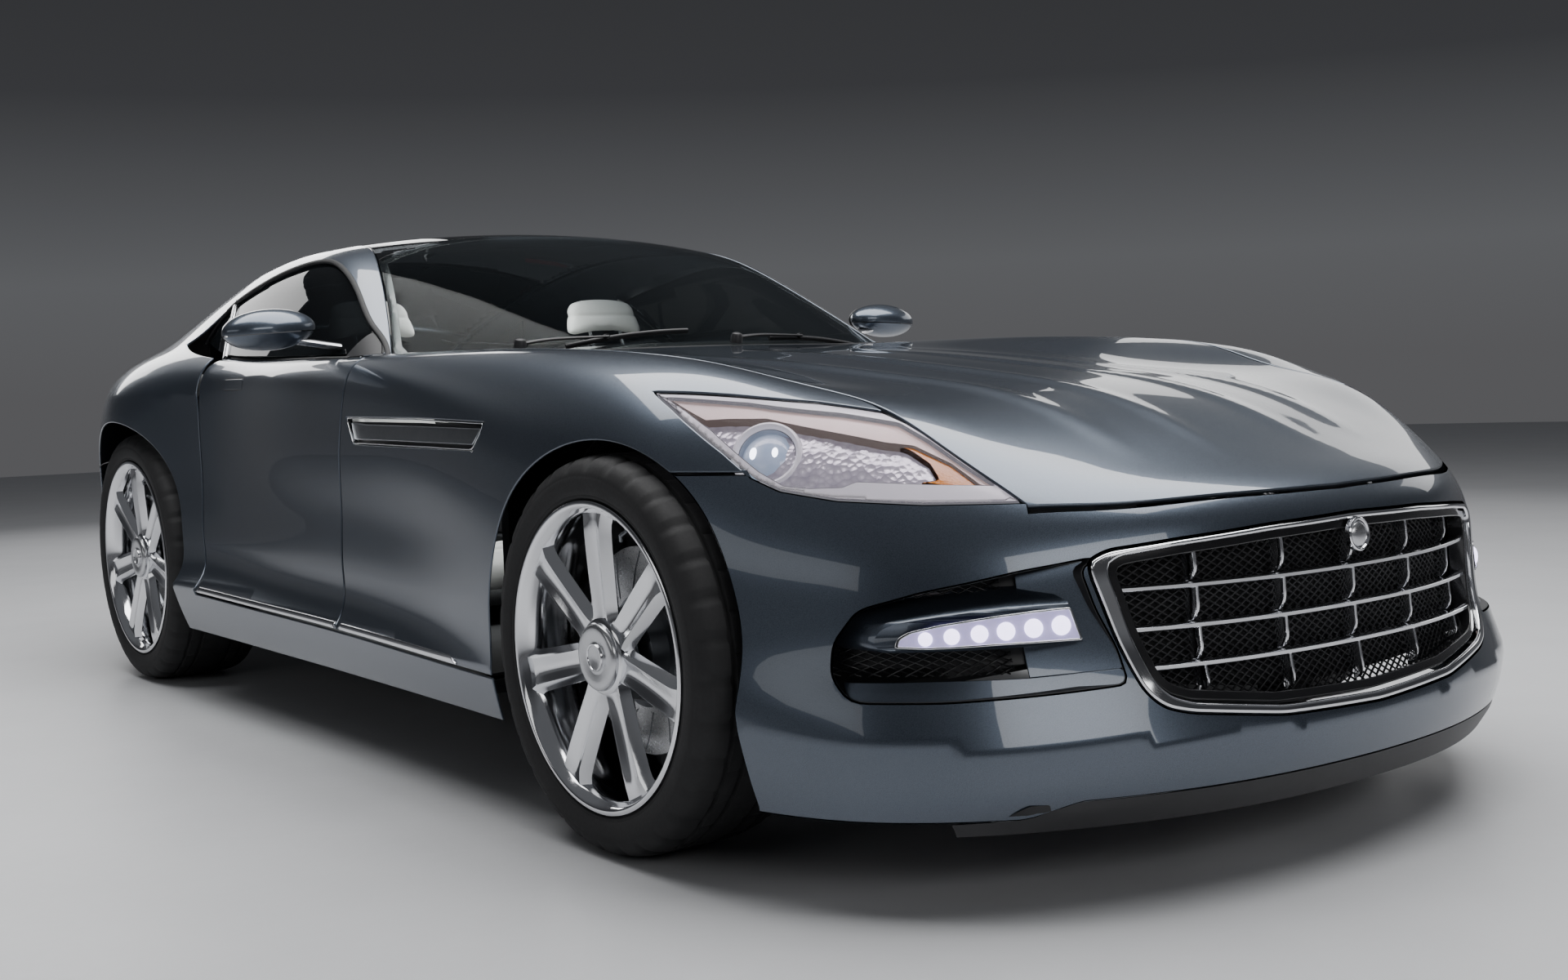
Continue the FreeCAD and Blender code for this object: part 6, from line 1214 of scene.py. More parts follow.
AMB = [(-.645, -1.757, .694), (-.616, -1.787, .687), (-.594, -1.843, .6565), (-.583, -1.894, .6225), (-.625, -1.86, .6265), (-.650, -1.832, .6325), (-.626, -1.848, .637), (-.621, -1.824, .659), (-.628, -1.792, .678)]
panel("right_headlight_amber_corner", [belt_poly(AMB, .004, .004)], map_belt(shift(F_body, .016)), .014, [M["amber"], M["amber"]], h=.007, roll=.002, mirror=True)
def cells(P):
    s = sa_of(P)
    return .0022*np.abs(np.sin(s[:, 0]/.011))*np.abs(np.sin(s[:, 1]/.0085))
# Reflector in the cell colour with painted glow and painted cell highlights; the relief of the cells is real
# displacement.
panel("right_headlight_reflector", [inset(L0, .002)], map_belt(shift(F_body, .027)), .003, [M["cells"], M["cells"]], h=.0042, roll=.0012, disp=cells, mirror=True, repl=())
C_PR = np.array([-.777, -1.604, .683]); n_pr = n_grad(C_PR[None], F_body)[0]
ax_pr = n_pr*.80+np.array([-.35, -.93, .03])*.20; ax_pr /= np.linalg.norm(ax_pr)
c_pr = C_PR-n_pr*.0215+np.array([.004, -.006, 0])
ringp = [(-.016, .047), (.002, .0455), (.0062, .0475), (.0082, .0515), (.0066, .0545), (.002, .0560), (-.016, .0565)]
tubep = [(-.018, .0465), (.001, .0452), (.001, .0440), (-.018, .041)]
capp = [(.0075, 0), (.0072, .008), (.0055, .018), (.0022, .028), (-.003, .036), (-.009, .041), (-.013, .0425), (-.014, .0425), (-.014, 0)]
# Projector: the lens carries painted glow and painted reflections, and the ring carries the bezel's painted glow.
both("right_headlight_projector", [(*lens_mesh(c_pr, ax_pr, ringp, 64, 1.03), 0), (*lens_mesh(c_pr, ax_pr, tubep, 64, 1.03), 1), (*dome_mesh(c_pr, ax_pr, capp, 48, 1.03), 2)], [M["bezel_painted_glow"], M["satin"], M["lens"]], ang=40)
# Two strongly glowing domes just behind the projector lens: painted highlights standing in for the two bright
# highlights on the lens.
glow = []
for dx in (-.021, .013):
    a_ = ax_pr; u_ = np.cross((0, 0, 1.0), a_); u_ /= np.linalg.norm(u_); w_ = np.cross(a_, u_)
    glow.append((*dome_mesh(c_pr+u_*dx+w_*.002+a_*.0035, a_, [(.0042, 0), (.0036, .0055), (.002, .0095), (-.002, .0115), (-.004, 0)], 24, .62), 0))
# Bright emission for the painted lens highlights.
m = Mat("projector_painted_highlights").set(rough=.3, emit=(.80, .88, 1.0), power=7.0); m.to(m.mixc(m.noise(60, 2), (.8, .86, 1.0), (1, 1, 1)), "Base Color"); M["glow"] = m.m
both("right_headlight_glow", glow, [M["glow"]])
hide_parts("headlights")

# grille: bright surround, black inner band, blades and curved uprights over a mesh
GI = round_poly([(0, .538), (.20, .533), (.36, .523), (.452, .5135), (.472, .503), (.474, .488), (.449, .392), (.427, .328), (.408, .308), (.377, .297), (.22, .276), (0, .269)]+[(-x, z) for x, z in [(.20, .533), (.36, .523), (.452, .5135), (.472, .503), (.474, .488), (.449, .392), (.427, .328), (.408, .308), (.377, .297), (.22, .276)][::-1]], .010)
GB = inset(even(np.vstack([GI, GI[:1]]), .012)[:-1], .013)
GRo = even(np.vstack([GR, GR[:1]]), .010)[:-1]
sur = panel("grille_surround", [front_loop(GRo, .008), front_loop(GI, .008)], map_belt(shift(F_body, -.0035)), .016, [M["chrome"], M["chrome"]], h=.010, roll=.0042, repl=["grille"])
panel("grille_inner_band", [front_loop(inset(GI, -.002), .008), front_loop(GB, .008)], map_belt(shift(F_body, .0065)), .026, [M["trim"], M["trim"]], h=.010, roll=.002)
def nose(xz, depth=0.0):
    return ahead(xz, shift(F_body, depth))
def x_span(z, poly):
    """Half width of a closed (x, z) outline at height z."""
    xs = []
    for a, b in zip(poly, np.roll(poly, -1, 0)):
        if (a[1]-z)*(b[1]-z) <= 0 and a[1] != b[1]: xs.append(a[0]+(b[0]-a[0])*(z-a[1])/(b[1]-a[1]))
    return max(abs(min(xs)), abs(max(xs)))
gparts = []
BARZ = (.345, .402, .462)
sec = [(0.0, -.0024), (0.0, .0024), (.0015, .0036), (.010, .0052), (.034, .0066), (.034, -.0066), (.010, -.0052), (.0015, -.0036)]
for zb in BARZ:
    w = x_span(zb, GI)-.004
    xs = np.linspace(-w, w, 61); P = nose([(x, zb) for x in xs], .009)
    v = []
    for p in P:
        for dy, dz in sec: v.append((p[0], p[1]+dy, p[2]+dz-.10*dy))
    m_ = len(sec); f = grid_faces(len(P), m_, cv=True); f.append(tuple(range(m_))[::-1]); f.append(tuple((len(P)-1)*m_+k for k in range(m_)))
    gparts.append((v, f, 0))
def z_span(x, poly):
    zs = []
    for a, b in zip(poly, np.roll(poly, -1, 0)):
        if (a[0]-x)*(b[0]-x) <= 0 and a[0] != b[0]: zs.append(a[1]+(b[1]-a[1])*(x-a[0])/(b[0]-a[0]))
    return min(zs), max(zs)
for xb in (-.33, -.165, 0.0, .165, .33):
    lo, hi = z_span(xb, GB)
    st = [hi+.004]+[z for z in BARZ[::-1]]+[lo-.004]
    for z1, z0 in zip(st[:-1], st[1:]):
        z1 -= .003; z0 += .003
        n_ = 15; v = []
        for k in range(n_):
            t = k/(n_-1); z = z1+(z0-z1)*t
            q = max(0.0, (t-.42)/.58); dep = .011+.022*(1-math.sqrt(max(0.0, 1-q*q)))
            p = nose([(xb, z)], 0)[0]; w = .0021
            for dx, dy in ((-w*.4, 0), (w*.4, 0), (w, .003), (w, .036-dep), (-w, .036-dep), (-w, .003)):
                v.append((xb+dx, p[1]+dep+max(dy, 0), z))
        f = grid_faces(n_, 6, cv=True); f.append(tuple(range(6))[::-1]); f.append(tuple((n_-1)*6+k for k in range(6)))
        gparts.append((v, f, 0))
join_meshes("grille_blades", gparts, [M["chrome"]], "body", smooth_angle=35)
def mesh_ribs(poly, depth, cell, w, t, mirror_too=False, up=1.0):
    """Diagonal lattice inside an (x, z) outline, lying on the nose at a given depth."""
    poly = np.array(poly, float); parts = []
    lo, hi = poly.min(0), poly.max(0)
    for sg in (1, -1):
        c0 = (lo[1]-sg*up*hi[0]) if sg > 0 else (lo[1]+up*lo[0]); c1 = (hi[1]-sg*up*lo[0]) if sg > 0 else (hi[1]+up*hi[0])
        c = min(c0, c1)
        while c < max(c0, c1):
            # line z = c + sg*up*x, cut by the outline
            xs = []
            for a, b in zip(poly, np.roll(poly, -1, 0)):
                fa = a[1]-c-sg*up*a[0]; fb = b[1]-c-sg*up*b[0]
                if fa*fb < 0: xs.append(a[0]+(b[0]-a[0])*fa/(fa-fb))
            xs.sort()
            for x0, x1 in zip(xs[::2], xs[1::2]):
                if x1-x0 < cell*.6: continue
                n_ = max(2, int((x1-x0)/.05)+2)
                X = np.linspace(x0, x1, n_); parts.append((X, c+sg*up*X, sg))
            c += cell
    if not parts: return []
    allp = np.concatenate([np.stack([X, Z], 1) for X, Z, _ in parts])
    P = nose(allp, depth); out = []; k = 0
    for X, Z, sg in parts:
        q = P[k:k+len(X)]; k += len(X)
        d = np.array([-sg*up, 0, 1.0]); d /= np.linalg.norm(d); v = []
        for p in q:
            for a, b in ((-w, 0), (w, 0), (w, t), (-w, t)): v.append(p+d*a+np.array([0, b, 0]))
        f = grid_faces(len(q), 4, cv=True); f.append((3, 2, 1, 0)); o = (len(q)-1)*4; f.append((o, o+1, o+2, o+3))
        out.append((v, f, 0))
    return out
# Solid near-black matte sheet behind the grille mesh: painted shade filling the grille opening.
gm_ = panel("grille_shade_backing", [front_loop(GI, .012)], map_belt(shift(F_body, .050)), .002, [M["recess"], M["recess"]], h=.03, roll=.0008)
join_meshes("grille_mesh", mesh_ribs(inset(GI, .004), .043, .0125, .0011, .003, up=.62), [M["black"]], "body")
# plain domed cap in a slim ring
cap_p = nose([(0, .512)], -.002)[0]
capm = [(.0065, 0), (.0062, .006), (.0052, .012), (.003, .0175), (.0005, .0205), (-.002, .0215), (-.010, .0215), (-.010, 0)]
ringm = [(-.006, .0215), (.0012, .0215), (.0032, .0232), (.0034, .0250), (.0018, .0268), (-.006, .0275)]
ax_c = n_grad(nose([(0, .512)], 0), F_body)[0]; ax_c = ax_c*.5+np.array([0, -1.0, 0])*.5
join_meshes("grille_plain_cap", [(*dome_mesh(cap_p, ax_c, capm, 40), 0), (*lens_mesh(cap_p, ax_c, ringm, 40), 1)], [M["satin"], M["chrome"]], "body", smooth_angle=40)

# daytime lamp units: recess with mesh, painted inner slope and shelf, pod with six lamps
fgr = even(np.vstack([FG, FG[:1]]), .008)[:-1]
def cut_half(poly, fn):
    """Part of a closed polygon where fn(p) > 0."""
    out = []; n = len(poly); val = [fn(p) for p in poly]
    for i in range(n):
        a, b, fa, fb = poly[i], poly[(i+1) % n], val[i], val[(i+1) % n]
        if fa > 0: out.append(a)
        if fa*fb < 0: out.append(a+(b-a)*fa/(fa-fb))
    return np.array(out)
def fl_xz(p):
    q = nose(p); c = sa_of(q); return c
XM, ZM, DM = -.588, .351, .044
def dip(P):
    """How deep the painted slope and shelf lie under the skin."""
    fx = np.clip((-.470-P[:, 0])/(-.470-XM), 0, 1); fz = np.clip((P[:, 2]-.3165)/(ZM-.3165), 0, 1)
    top = np.clip((P[:, 0]-XM)/.03, 0, 1)
    d = np.minimum(fx**1.15, fz**1.05)
    return -DM*d
low_part = cut_half(fgr, lambda p: ZM-p[1])
in_part = cut_half(fgr, lambda p: min(p[0]-XM, p[1]-ZM+.0))
in_part = cut_half(cut_half(fgr, lambda p: p[0]-XM), lambda p: p[1]-ZM)
panel("right_lamp_shelf", [fl_xz(even(np.vstack([low_part, low_part[:1]]), .006)[:-1])], map_belt(shift(F_body, .0008)), .003, PAINT, h=.007, roll=.0008, disp=dip, mirror=True)
panel("right_lamp_inner_slope", [fl_xz(even(np.vstack([in_part, in_part[:1]]), .006)[:-1])], map_belt(shift(F_body, .0008)), .003, PAINT, h=.007, roll=.0008, disp=dip, mirror=True)
out_part = cut_half(cut_half(fgr, lambda p: XM+.004-p[0]), lambda p: p[1]-ZM+.004)
bk = panel("right_lamp_recess_back", [fl_xz(even(np.vstack([out_part, out_part[:1]]), .008)[:-1])], map_belt(shift(F_body, .053)), .002, [M["black"], M["black"]], h=.02, roll=.0008, mirror=True, repl=())
ribs = mesh_ribs(inset(out_part, -.001), .044, .0105, .0010, .0028, up=.6)
both("right_lamp_recess_mesh", ribs, [M["trim"]], ang=None)
# wall round the recess, black, following the outline down to the mesh
def wall_strip(loop_xz, d0, d1, t=.0025, back=0.0):
    """Thin closed band standing on an (x, z) outline from depth d0 to d1."""
    q = np.array(loop_xz, float); sg = 1 if area2(q) > 0 else -1
    o = inset(q, -t)
    a, b = nose(q, d0), nose(q, d1); c, d = nose(o, d1), nose(o, d0)
    n = len(q); v = list(a)+list(b)+list(c)+list(d); f = []
    for i in range(n):
        j = (i+1) % n
        for r_, s_ in ((0, 1), (1, 2), (2, 3), (3, 0)): f.append((r_*n+i, r_*n+j, s_*n+j, s_*n+i))
    return v, f
both("right_lamp_recess_wall", [(*wall_strip(fgr, .0015, .054), 0)], [M["black"]], ang=40)
POD_F = [(-.756, .3935), (-.754, .408), (-.746, .4215), (-.731, .4305), (-.700, .4375), (-.673, .4425), (-.640, .4470), (-.600, .4505), (-.560, .4520), (-.527, .4520), (-.5135, .3925), (-.560, .3905), (-.620, .3885), (-.700, .3865), (-.735, .3855), (-.750, .3870)]
pf = even(np.vstack([POD_F, POD_F[:1]]), .007)[:-1]
pb = pf.copy(); cz = .42
pb[:, 1] = np.where(pf[:, 1] > cz, pf[:, 1]+.020, pf[:, 1]-.002); pb[:, 0] = pf[:, 0]-.004
A_, B_ = nose(pf, .006), nose(pb, .052)
mid = nose(inset(pf, .0035), .0022)
nA = len(pf); v = list(mid)+list(A_)+list(B_); f = []
for i in range(nA):
    j = (i+1) % nA
    f += [(i, j, nA+j, nA+i), (nA+i, nA+j, 2*nA+j, 2*nA+i)]
from mathutils.geometry import tessellate_polygon
tri = tessellate_polygon([[Vector((float(p[0]), float(p[2]), 0)) for p in mid]])
f += [tuple(t_) for t_ in tri]+[tuple(2*nA+k for k in t_[::-1]) for t_ in tri]
both("right_lamp_pod", [(v, f, 0)], [M["paint"]], ang=35)
LEN = [(-.7365, .3925), (-.732, .4065), (-.719, .4165), (-.686, .426), (-.650, .4325), (-.616, .4375), (-.575, .442), (-.529, .4445), (-.518, .3955), (-.570, .395), (-.622, .394), (-.703, .3905)]
ln = even(np.vstack([round_poly(LEN, .004), round_poly(LEN, .004)[:1]]), .004)[:-1]
panel("right_lamp_frame", [fl_xz(ln), fl_xz(inset(ln, .0036))], map_belt(shift(F_body, -.0006)), .006, [M["chrome"], M["chrome"]], h=.006, roll=.0012, mirror=True)
m = Mat("lamp_glow_violet").set(rough=.15, coat=.6, emit=(.46, .38, .86), power=.55); m.to(m.mixc(m.noise(90, 2), (.50, .48, .66), (.72, .70, .86)), "Base Color"); M["glow_v"] = m.m
dl = panel("right_lamp_lens", [fl_xz(inset(ln, .0030))], map_belt(shift(F_body, .0012)), .004, [M["glow_v"], M["glow_v"]], h=.007, roll=.0008, mirror=True)
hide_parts("daytime_lamps")
leds = []
for x, z, r in ((-.704, .4055, .0105), (-.676, .4085, .0118), (-.645, .4115, .0128), (-.614, .4140, .0135), (-.580, .4165, .0140), (-.5445, .4185, .0145)):
    p = nose([(x, z)], -.0004)[0]; n_ = n_grad(p[None], F_body)[0]
    leds.append((*dome_mesh(p, n_, [(.0045, 0), (.0042, r*.35), (.0030, r*.70), (.0008, r*.95), (-.002, r), (-.003, r*.9), (-.003, 0)], 28), 0))
both("right_lamp_leds", leds, [M["led"]])


# ---------------------------------------------------------------- outer details
def n_of(P, f):
    return n_grad(np.asarray(P, float), f)
def on_side(yz_, f, n=None):
    q = np.array(yz_, float)
    if n: q = resample(q, n)
    return side(q, f)
def rect(y0, y1, z0, z1, r=.004):
    return round_poly([(y0, z0), (y1, z0), (y1, z1), (y0, z1)], r)
def loop_yz(pts, f, h=.006):
    p = np.array(pts, float); p = even(np.vstack([p, p[:1]]), h)[:-1]
    return sa_of(side(p, f))
# fender vents: black bucket, insert and thin bright lips
VP = np.array([(y, z) for y, z in VENT]); 
vo = round_poly([tuple(p) for p in inset(VP, .0022)], .006) if True else None
va = panel("right_vent_back", [loop_yz(inset(vo, -.0005), F_body)], map_belt(shift(F_body, .0145)), .003, [M["black"], M["black"]], h=.016, roll=.0008, mirror=True)
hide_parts("fender_vents")
VI = round_poly([(-.250, .7305), (-.33, .7255), (-.60, .7235), (-.895, .7200), (-.868, .6890), (-.60, .6905), (-.30, .6925), (-.268, .6925)], .005)
panel("right_vent_insert", [loop_yz(VI, F_body, .005)], map_belt(shift(F_body, .0045)), .008, [M["darkmetal"], M["black"]], h=.010, roll=.0022, mirror=True)
panel("right_vent_lip", [loop_yz(inset(vo, -.0012), F_body), loop_yz(inset(vo, .0012), F_body)], map_belt(shift(F_body, -.0006)), .012, [M["chrome"], M["chrome"]], h=.006, roll=.0008, mirror=True)
# sill strips
def crz(y): return float(S_CREASE(y)) if not isinstance(y, np.ndarray) else S_CREASE(y)
def strip_yz(y0, y1, lo, hi, n=40, cut=.012):
    ys = np.linspace(y0, y1, n)
    a = [(y, crz(y)+lo) for y in ys]; b = [(y, crz(y)+hi) for y in ys[::-1]]
    b[-1] = (b[-1][0]+cut, b[-1][1])
    return a+b
panel("right_sill_strip_front", [loop_yz(strip_yz(-.79, -.224, -.0045, .011, 26, .022), F_body, .006)], map_belt(shift(F_body, -.0022)), .0045, [M["chrome"], M["chrome"]], h=.012, roll=.0014, mirror=True)
panel("right_door_sill_strip", [loop_yz(strip_yz(-.192, .655, -.0045, .011, 40, .0), F_lower, .006)], map_belt(shift(F_lower, -.0022)), .0045, [M["chrome"], M["chrome"]], h=.012, roll=.0014, body="right_door", mirror=True)
# door release: a flush plate in a fine dark groove
ro_, ri_ = rect(.525, .665, .805, .836, .006), rect(.5275, .6625, .8075, .8335, .004)
panel("right_door_release_groove", [loop_yz(ro_, F_lower, .004), loop_yz(ri_, F_lower, .004)], map_belt(shift(F_lower, -.0003)), .003, [M["black"], M["black"]], h=.006, roll=.0004, body="right_door", mirror=True)
panel("right_door_release_plate", [loop_yz(ri_, F_lower, .004)], map_belt(shift(F_lower, -.0008)), .003, PAINT, h=.010, roll=.0008, body="right_door", mirror=True)
# window surround: black gasket along the upper edge, belt strips, blade before the quarter glass
up_ = np.array([p for p in dloz]); up_ = resample(up_, 90)
Pg = side(up_, shift(F_cabin, .0005)); Ng = n_of(Pg, F_cabin)
gk = ribbon(Pg, Ng, .013, .0035)
both("right_window_gasket", [(*gk, 0)], [M["seal"]], ang=50)
def belt_line(y0, y1, n, dz=0.0): return np.array([(y, float(SB(y))+dz) for y in np.linspace(y0, y1, n)])
def belt_ribbon(y0, y1, n, f, w, t, dz):
    P = side(belt_line(y0, y1, n, dz), f); return ribbon(P, n_of(P, F_lower), w, t)
both("right_door_belt_strip", [(*belt_ribbon(-.13, .800, 60, shift(F_lower, .0005), .011, .0030, -.002), 0)], [M["seal"]], body="right_door", ang=50)
both("right_quarter_belt_strip", [(*belt_ribbon(.852, 1.155, 26, shift(F_lower, .0005), .011, .0030, -.002), 0)], [M["seal"]], ang=50)
bq = resample(np.array([(.829, .892), (.90, .957), (.985, 1.035), (1.012, 1.050)]), 24)
Pb = side(bq, shift(F_cabin, .003)); Nb = n_of(Pb, F_cabin)
both("right_quarter_blade", [(*ribbon(Pb, Nb, [.020+.006*math.sin(math.pi*i/23) for i in range(24)], .0048), 0)], [M["satin"]], ang=50)
# screen border under the glass
so = clip_x(strip(ws_base, ws_top, .003), .694); si = inset(so, .020) if area2(so) > 0 else inset(so, .020)
panel("windshield_border", [so, si], map_top(shift(F_cabin, .0073), low_ray), .0012, [M["trim"], M["black"]], h=.025, roll=.0004)

# mirrors
MC = np.array([-.908, .045, .938]); MR = np.array([.107, .061, .0465])
def mirror_shell(top):
    v = []; nu, nv = 44, 18; f = []
    t0, t1 = (math.radians(-9), math.radians(90)) if top else (math.radians(-90), math.radians(-12))
    for j in range(nv+1):
        ph = t0+(t1-t0)*j/nv
        for i in range(nu):
            th = 2*math.pi*i/nu
            k = 1.0 if top else .985
            x, y, z = math.cos(ph)*math.cos(th)*k, math.cos(ph)*math.sin(th)*k, math.sin(ph)
            p = np.array([x, y, z])*MR; p[1] = min(p[1], .0285)
            p[2] += .010*(x*.6) ; v.append(MC+p)
    f = grid_faces(nv+1, nu, cv=True)
    f.append(tuple(range(nu))[::-1]); f.append(tuple(nv*nu+k for k in range(nu)))
    return v, f
gl_ = []
for k in range(40):
    th = 2*math.pi*k/40; gl_.append(MC+np.array([.088*math.cos(th), .0300, .036*math.sin(th)+.0050*math.cos(th)]))
glv = gl_+[p+np.array([0, -.004, 0]) for p in gl_]
glf = [tuple(range(40)), tuple(range(79, 39, -1))]+[(i, 40+i, 40+(i+1) % 40, (i+1) % 40) for i in range(40)]
mb_ = [MC+np.array([.096*math.cos(2*math.pi*k/40), .0290, .0415*math.sin(2*math.pi*k/40)+.006*math.cos(2*math.pi*k/40)]) for k in range(40)]
mring = tube(mb_, .0028, 8, closed_path=True)
arm_v = tube([(-.752, .030, .896), (-.79, .033, .902), (-.83, .037, .909), (-.868, .041, .917)], [.0100, .0095, .0098, .0115], 16, flat=(2.35, .85), up=(0, 0, 1))
for sd in ("right",):
    both("right_mirror_cap", [(*mirror_shell(True), 0)], [M["paint"]], body="right_door", repl=["right_mirror"], ang=40)
    both("right_mirror_base", [(*mirror_shell(False), 0), (*arm_v, 1), (*mring, 2)], [M["paint"], M["satin"], M["black"]], body="right_door", ang=40)
    both("right_mirror_glass", [(glv, glf, 0)], [M["mirror"]], body="right_door", ang=40)
# black sail at the front corner of the side glass
SAIL = [(-.128, .874), (-.100, .896), (-.058, .918), (-.040, .925), (-.030, .868)]
panel("right_mirror_sail", [side_cab(np.array(SAIL))], map_cabin(shift(F_cabin, .0035)), .0022, [M["black"], M["black"]], h=.010, roll=.0008, body="right_door", mirror=True)

# wipers
def wiper_parts(x0, x1, y0, y1):
    xm, ym = .5*(x0+x1), .5*(y0+y1)
    def up(x, y, d):
        p = over(np.array([(x, y)]), shift(F_cabin, .0015), .5)[0] if False else cabm(np.array([(x, y)]))[0][0]
        return np.array([p[0], p[1], p[2]+d])
    lowp = over(np.array([(x0, y0)]), F_body, .4)[0]
    a0 = np.array([x0, y0, lowp[2]+.016])
    A1 = [a0, a0+(up(xm, ym, .021)-a0)*.25+np.array([0, 0, .004]), a0+(up(xm, ym, .021)-a0)*.6+np.array([0, 0, .003]), up(xm, ym, .0205)]
    arm = tube(resample(np.array(A1), 16), [.0085-.0035*i/15 for i in range(16)], 10, flat=(1.0, .55), up=(0, 0, 1))
    ts = np.linspace(.27, 1.0, 26)
    B = np.array([up(x0+(x1-x0)*t, y0+(y1-y0)*t+.014, .009) for t in ts])
    bl = tube(B, .0042, 10, flat=(.9, 1.1), up=(0, 0, 1))
    B2 = B.copy(); B2[:, 2] -= .0042
    rub = tube(B2, .0028, 8, flat=(.35, 1.25), up=(0, 0, 1))
    clip = tube([up(xm, ym+.002, .0195), up(xm, ym+.0140, .0125)], .0062, 10)
    cap = dome_mesh(a0, (0, -.2, 1), [(.0125, 0), (.0120, .006), (.0095, .0115), (.004, .0140), (-.012, .0145), (-.012, 0)], 24)
    return [(*arm, 0), (*bl, 0), (*rub, 1), (*clip, 0), (*cap, 0)]
wp = wiper_parts(.03, .50, -.450, -.345); wq = wiper_parts(-.50, -.06, -.368, -.392)
join_meshes("wiper_left", wp, [M["black"], M["seal"]], "body", ("wipers",), smooth_angle=40)
join_meshes("wiper_right", wq, [M["black"], M["seal"]], "body", smooth_angle=40)

# rear: lamps, plate panel, tips, roof fin
tl3 = ahead(round_poly(TAIL, .008), F_body, 1.0, 1)
def tail_loop_at(d): return rear_loop(inset(round_poly(TAIL, .008), d), .006)
tg = panel("right_tail_cover", [tail_loop_at(.0022)], map_belt(shift(F_body, .0008)), .0045, [M["red"], M["red"]], h=.010, roll=.0012, mirror=True)
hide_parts("tail_lights")
panel("right_tail_rim", [tail_loop_at(.0008), tail_loop_at(.0055)], map_belt(shift(F_body, -.0003)), .006, [M["darkmetal"], M["black"]], h=.006, roll=.0008, mirror=True)
TB = [(-.775, .786), (-.70, .797), (-.585, .801), (-.578, .790), (-.70, .786), (-.772, .776)]
m = Mat("tail_light_bar").set(rough=.2, emit=(1, .05, .03), power=1.6); m.to(m.mixc(m.noise(120, 2), (.8, .05, .04), (1, .12, .08)), "Base Color"); M["tailbar"] = m.m
panel("right_tail_bar", [rear_loop(round_poly(TB, .003), .005)], map_belt(shift(F_body, -.0006)), .003, [M["tailbar"], M["tailbar"]], h=.008, roll=.0008, mirror=True)
PL = round_poly([(-.26, .47), (.26, .47), (.26, .585), (-.26, .585)], .012)
panel("rear_plate_panel", [rear_loop(PL, .010)], map_belt(shift(F_body, -.0012)), .004, [M["black"], M["black"]], h=.02, roll=.0012)
PL2 = round_poly([(-.25, .478), (.25, .478), (.25, .577), (-.25, .577)], .008)
panel("rear_plate_blank", [rear_loop(PL2, .010)], map_belt(shift(F_body, -.0030)), .003, [M["satin"], M["satin"]], h=.02, roll=.0008)
tipp = [(.128, .0470), (.133, .0490), (.1352, .0515), (.133, .0540), (.126, .0548), (-.13, .0530), (-.13, .0495), (.110, .0490)]
join_meshes("exhaust_outlets", [(*lens_mesh((sx*.52, 1.995, .27), (0, 1, 0), tipp, 48), 0) for sx in (-1, 1)], [M["chrome"]], "body", ("exhaust_tips",), smooth_angle=35)
fz = float(n_roof(np.array([0.0]), np.array([1.06]))[0]) if True else 0
fin = []
for i in range(12):
    t = i/11; y = 1.03+.075*t; hgt = .020*math.sin(math.pi*min(1, t*1.0+.02))**.8*(.35+.65*t)+.001; wd = .0075*(1-.75*abs(2*t-1)**2)+.001
    zb = float(n_roof(np.array([0.0]), np.array([y]))[0])
    for a, h_ in ((-1, -.004), (-.95, .0), (-.5, .55), (-.15, .95), (.15, .95), (.5, .55), (.95, .0), (1, -.004)):
        fin.append((a*wd, y, zb+.0005+(h_*hgt if h_ > 0 else h_)))
ff = grid_faces(12, 8, cv=True); ff.append(tuple(range(8))[::-1]); ff.append(tuple(88+k for k in range(8)))
join_meshes("roof_fin", [(fin, ff, 0)], [M["black"]], "body", smooth_angle=45)


# ---------------------------------------------------------------- cabin
def round_box(half, r, cuts, fn):
    """Closed box with rounded edges as (verts, faces); fn bends each point into place."""
    nx, ny, nz = cuts; H = np.array(half, float); P = {}; V = []; F = []
    def vid(i, j, k):
        if (i, j, k) not in P:
            p = np.array([2*i/nx-1, 2*j/ny-1, 2*k/nz-1])*H
            q = np.clip(p, -(H-r), H-r); d = p-q; L = np.linalg.norm(d)
            P[(i, j, k)] = len(V); V.append(q+(d/L*r if L > 1e-9 else 0))
        return P[(i, j, k)]
    for i in range(nx):
        for j in range(ny):
            F.append((vid(i, j, 0), vid(i, j+1, 0), vid(i+1, j+1, 0), vid(i+1, j, 0))); F.append((vid(i, j, nz), vid(i+1, j, nz), vid(i+1, j+1, nz), vid(i, j+1, nz)))
    for i in range(nx):
        for k in range(nz):
            F.append((vid(i, 0, k), vid(i+1, 0, k), vid(i+1, 0, k+1), vid(i, 0, k+1))); F.append((vid(i, ny, k), vid(i, ny, k+1), vid(i+1, ny, k+1), vid(i+1, ny, k)))
    for j in range(ny):
        for k in range(nz):
            F.append((vid(0, j, k), vid(0, j, k+1), vid(0, j+1, k+1), vid(0, j+1, k))); F.append((vid(nx, j, k), vid(nx, j+1, k), vid(nx, j+1, k+1), vid(nx, j, k+1)))
    return [fn(np.array(p)) for p in V], F
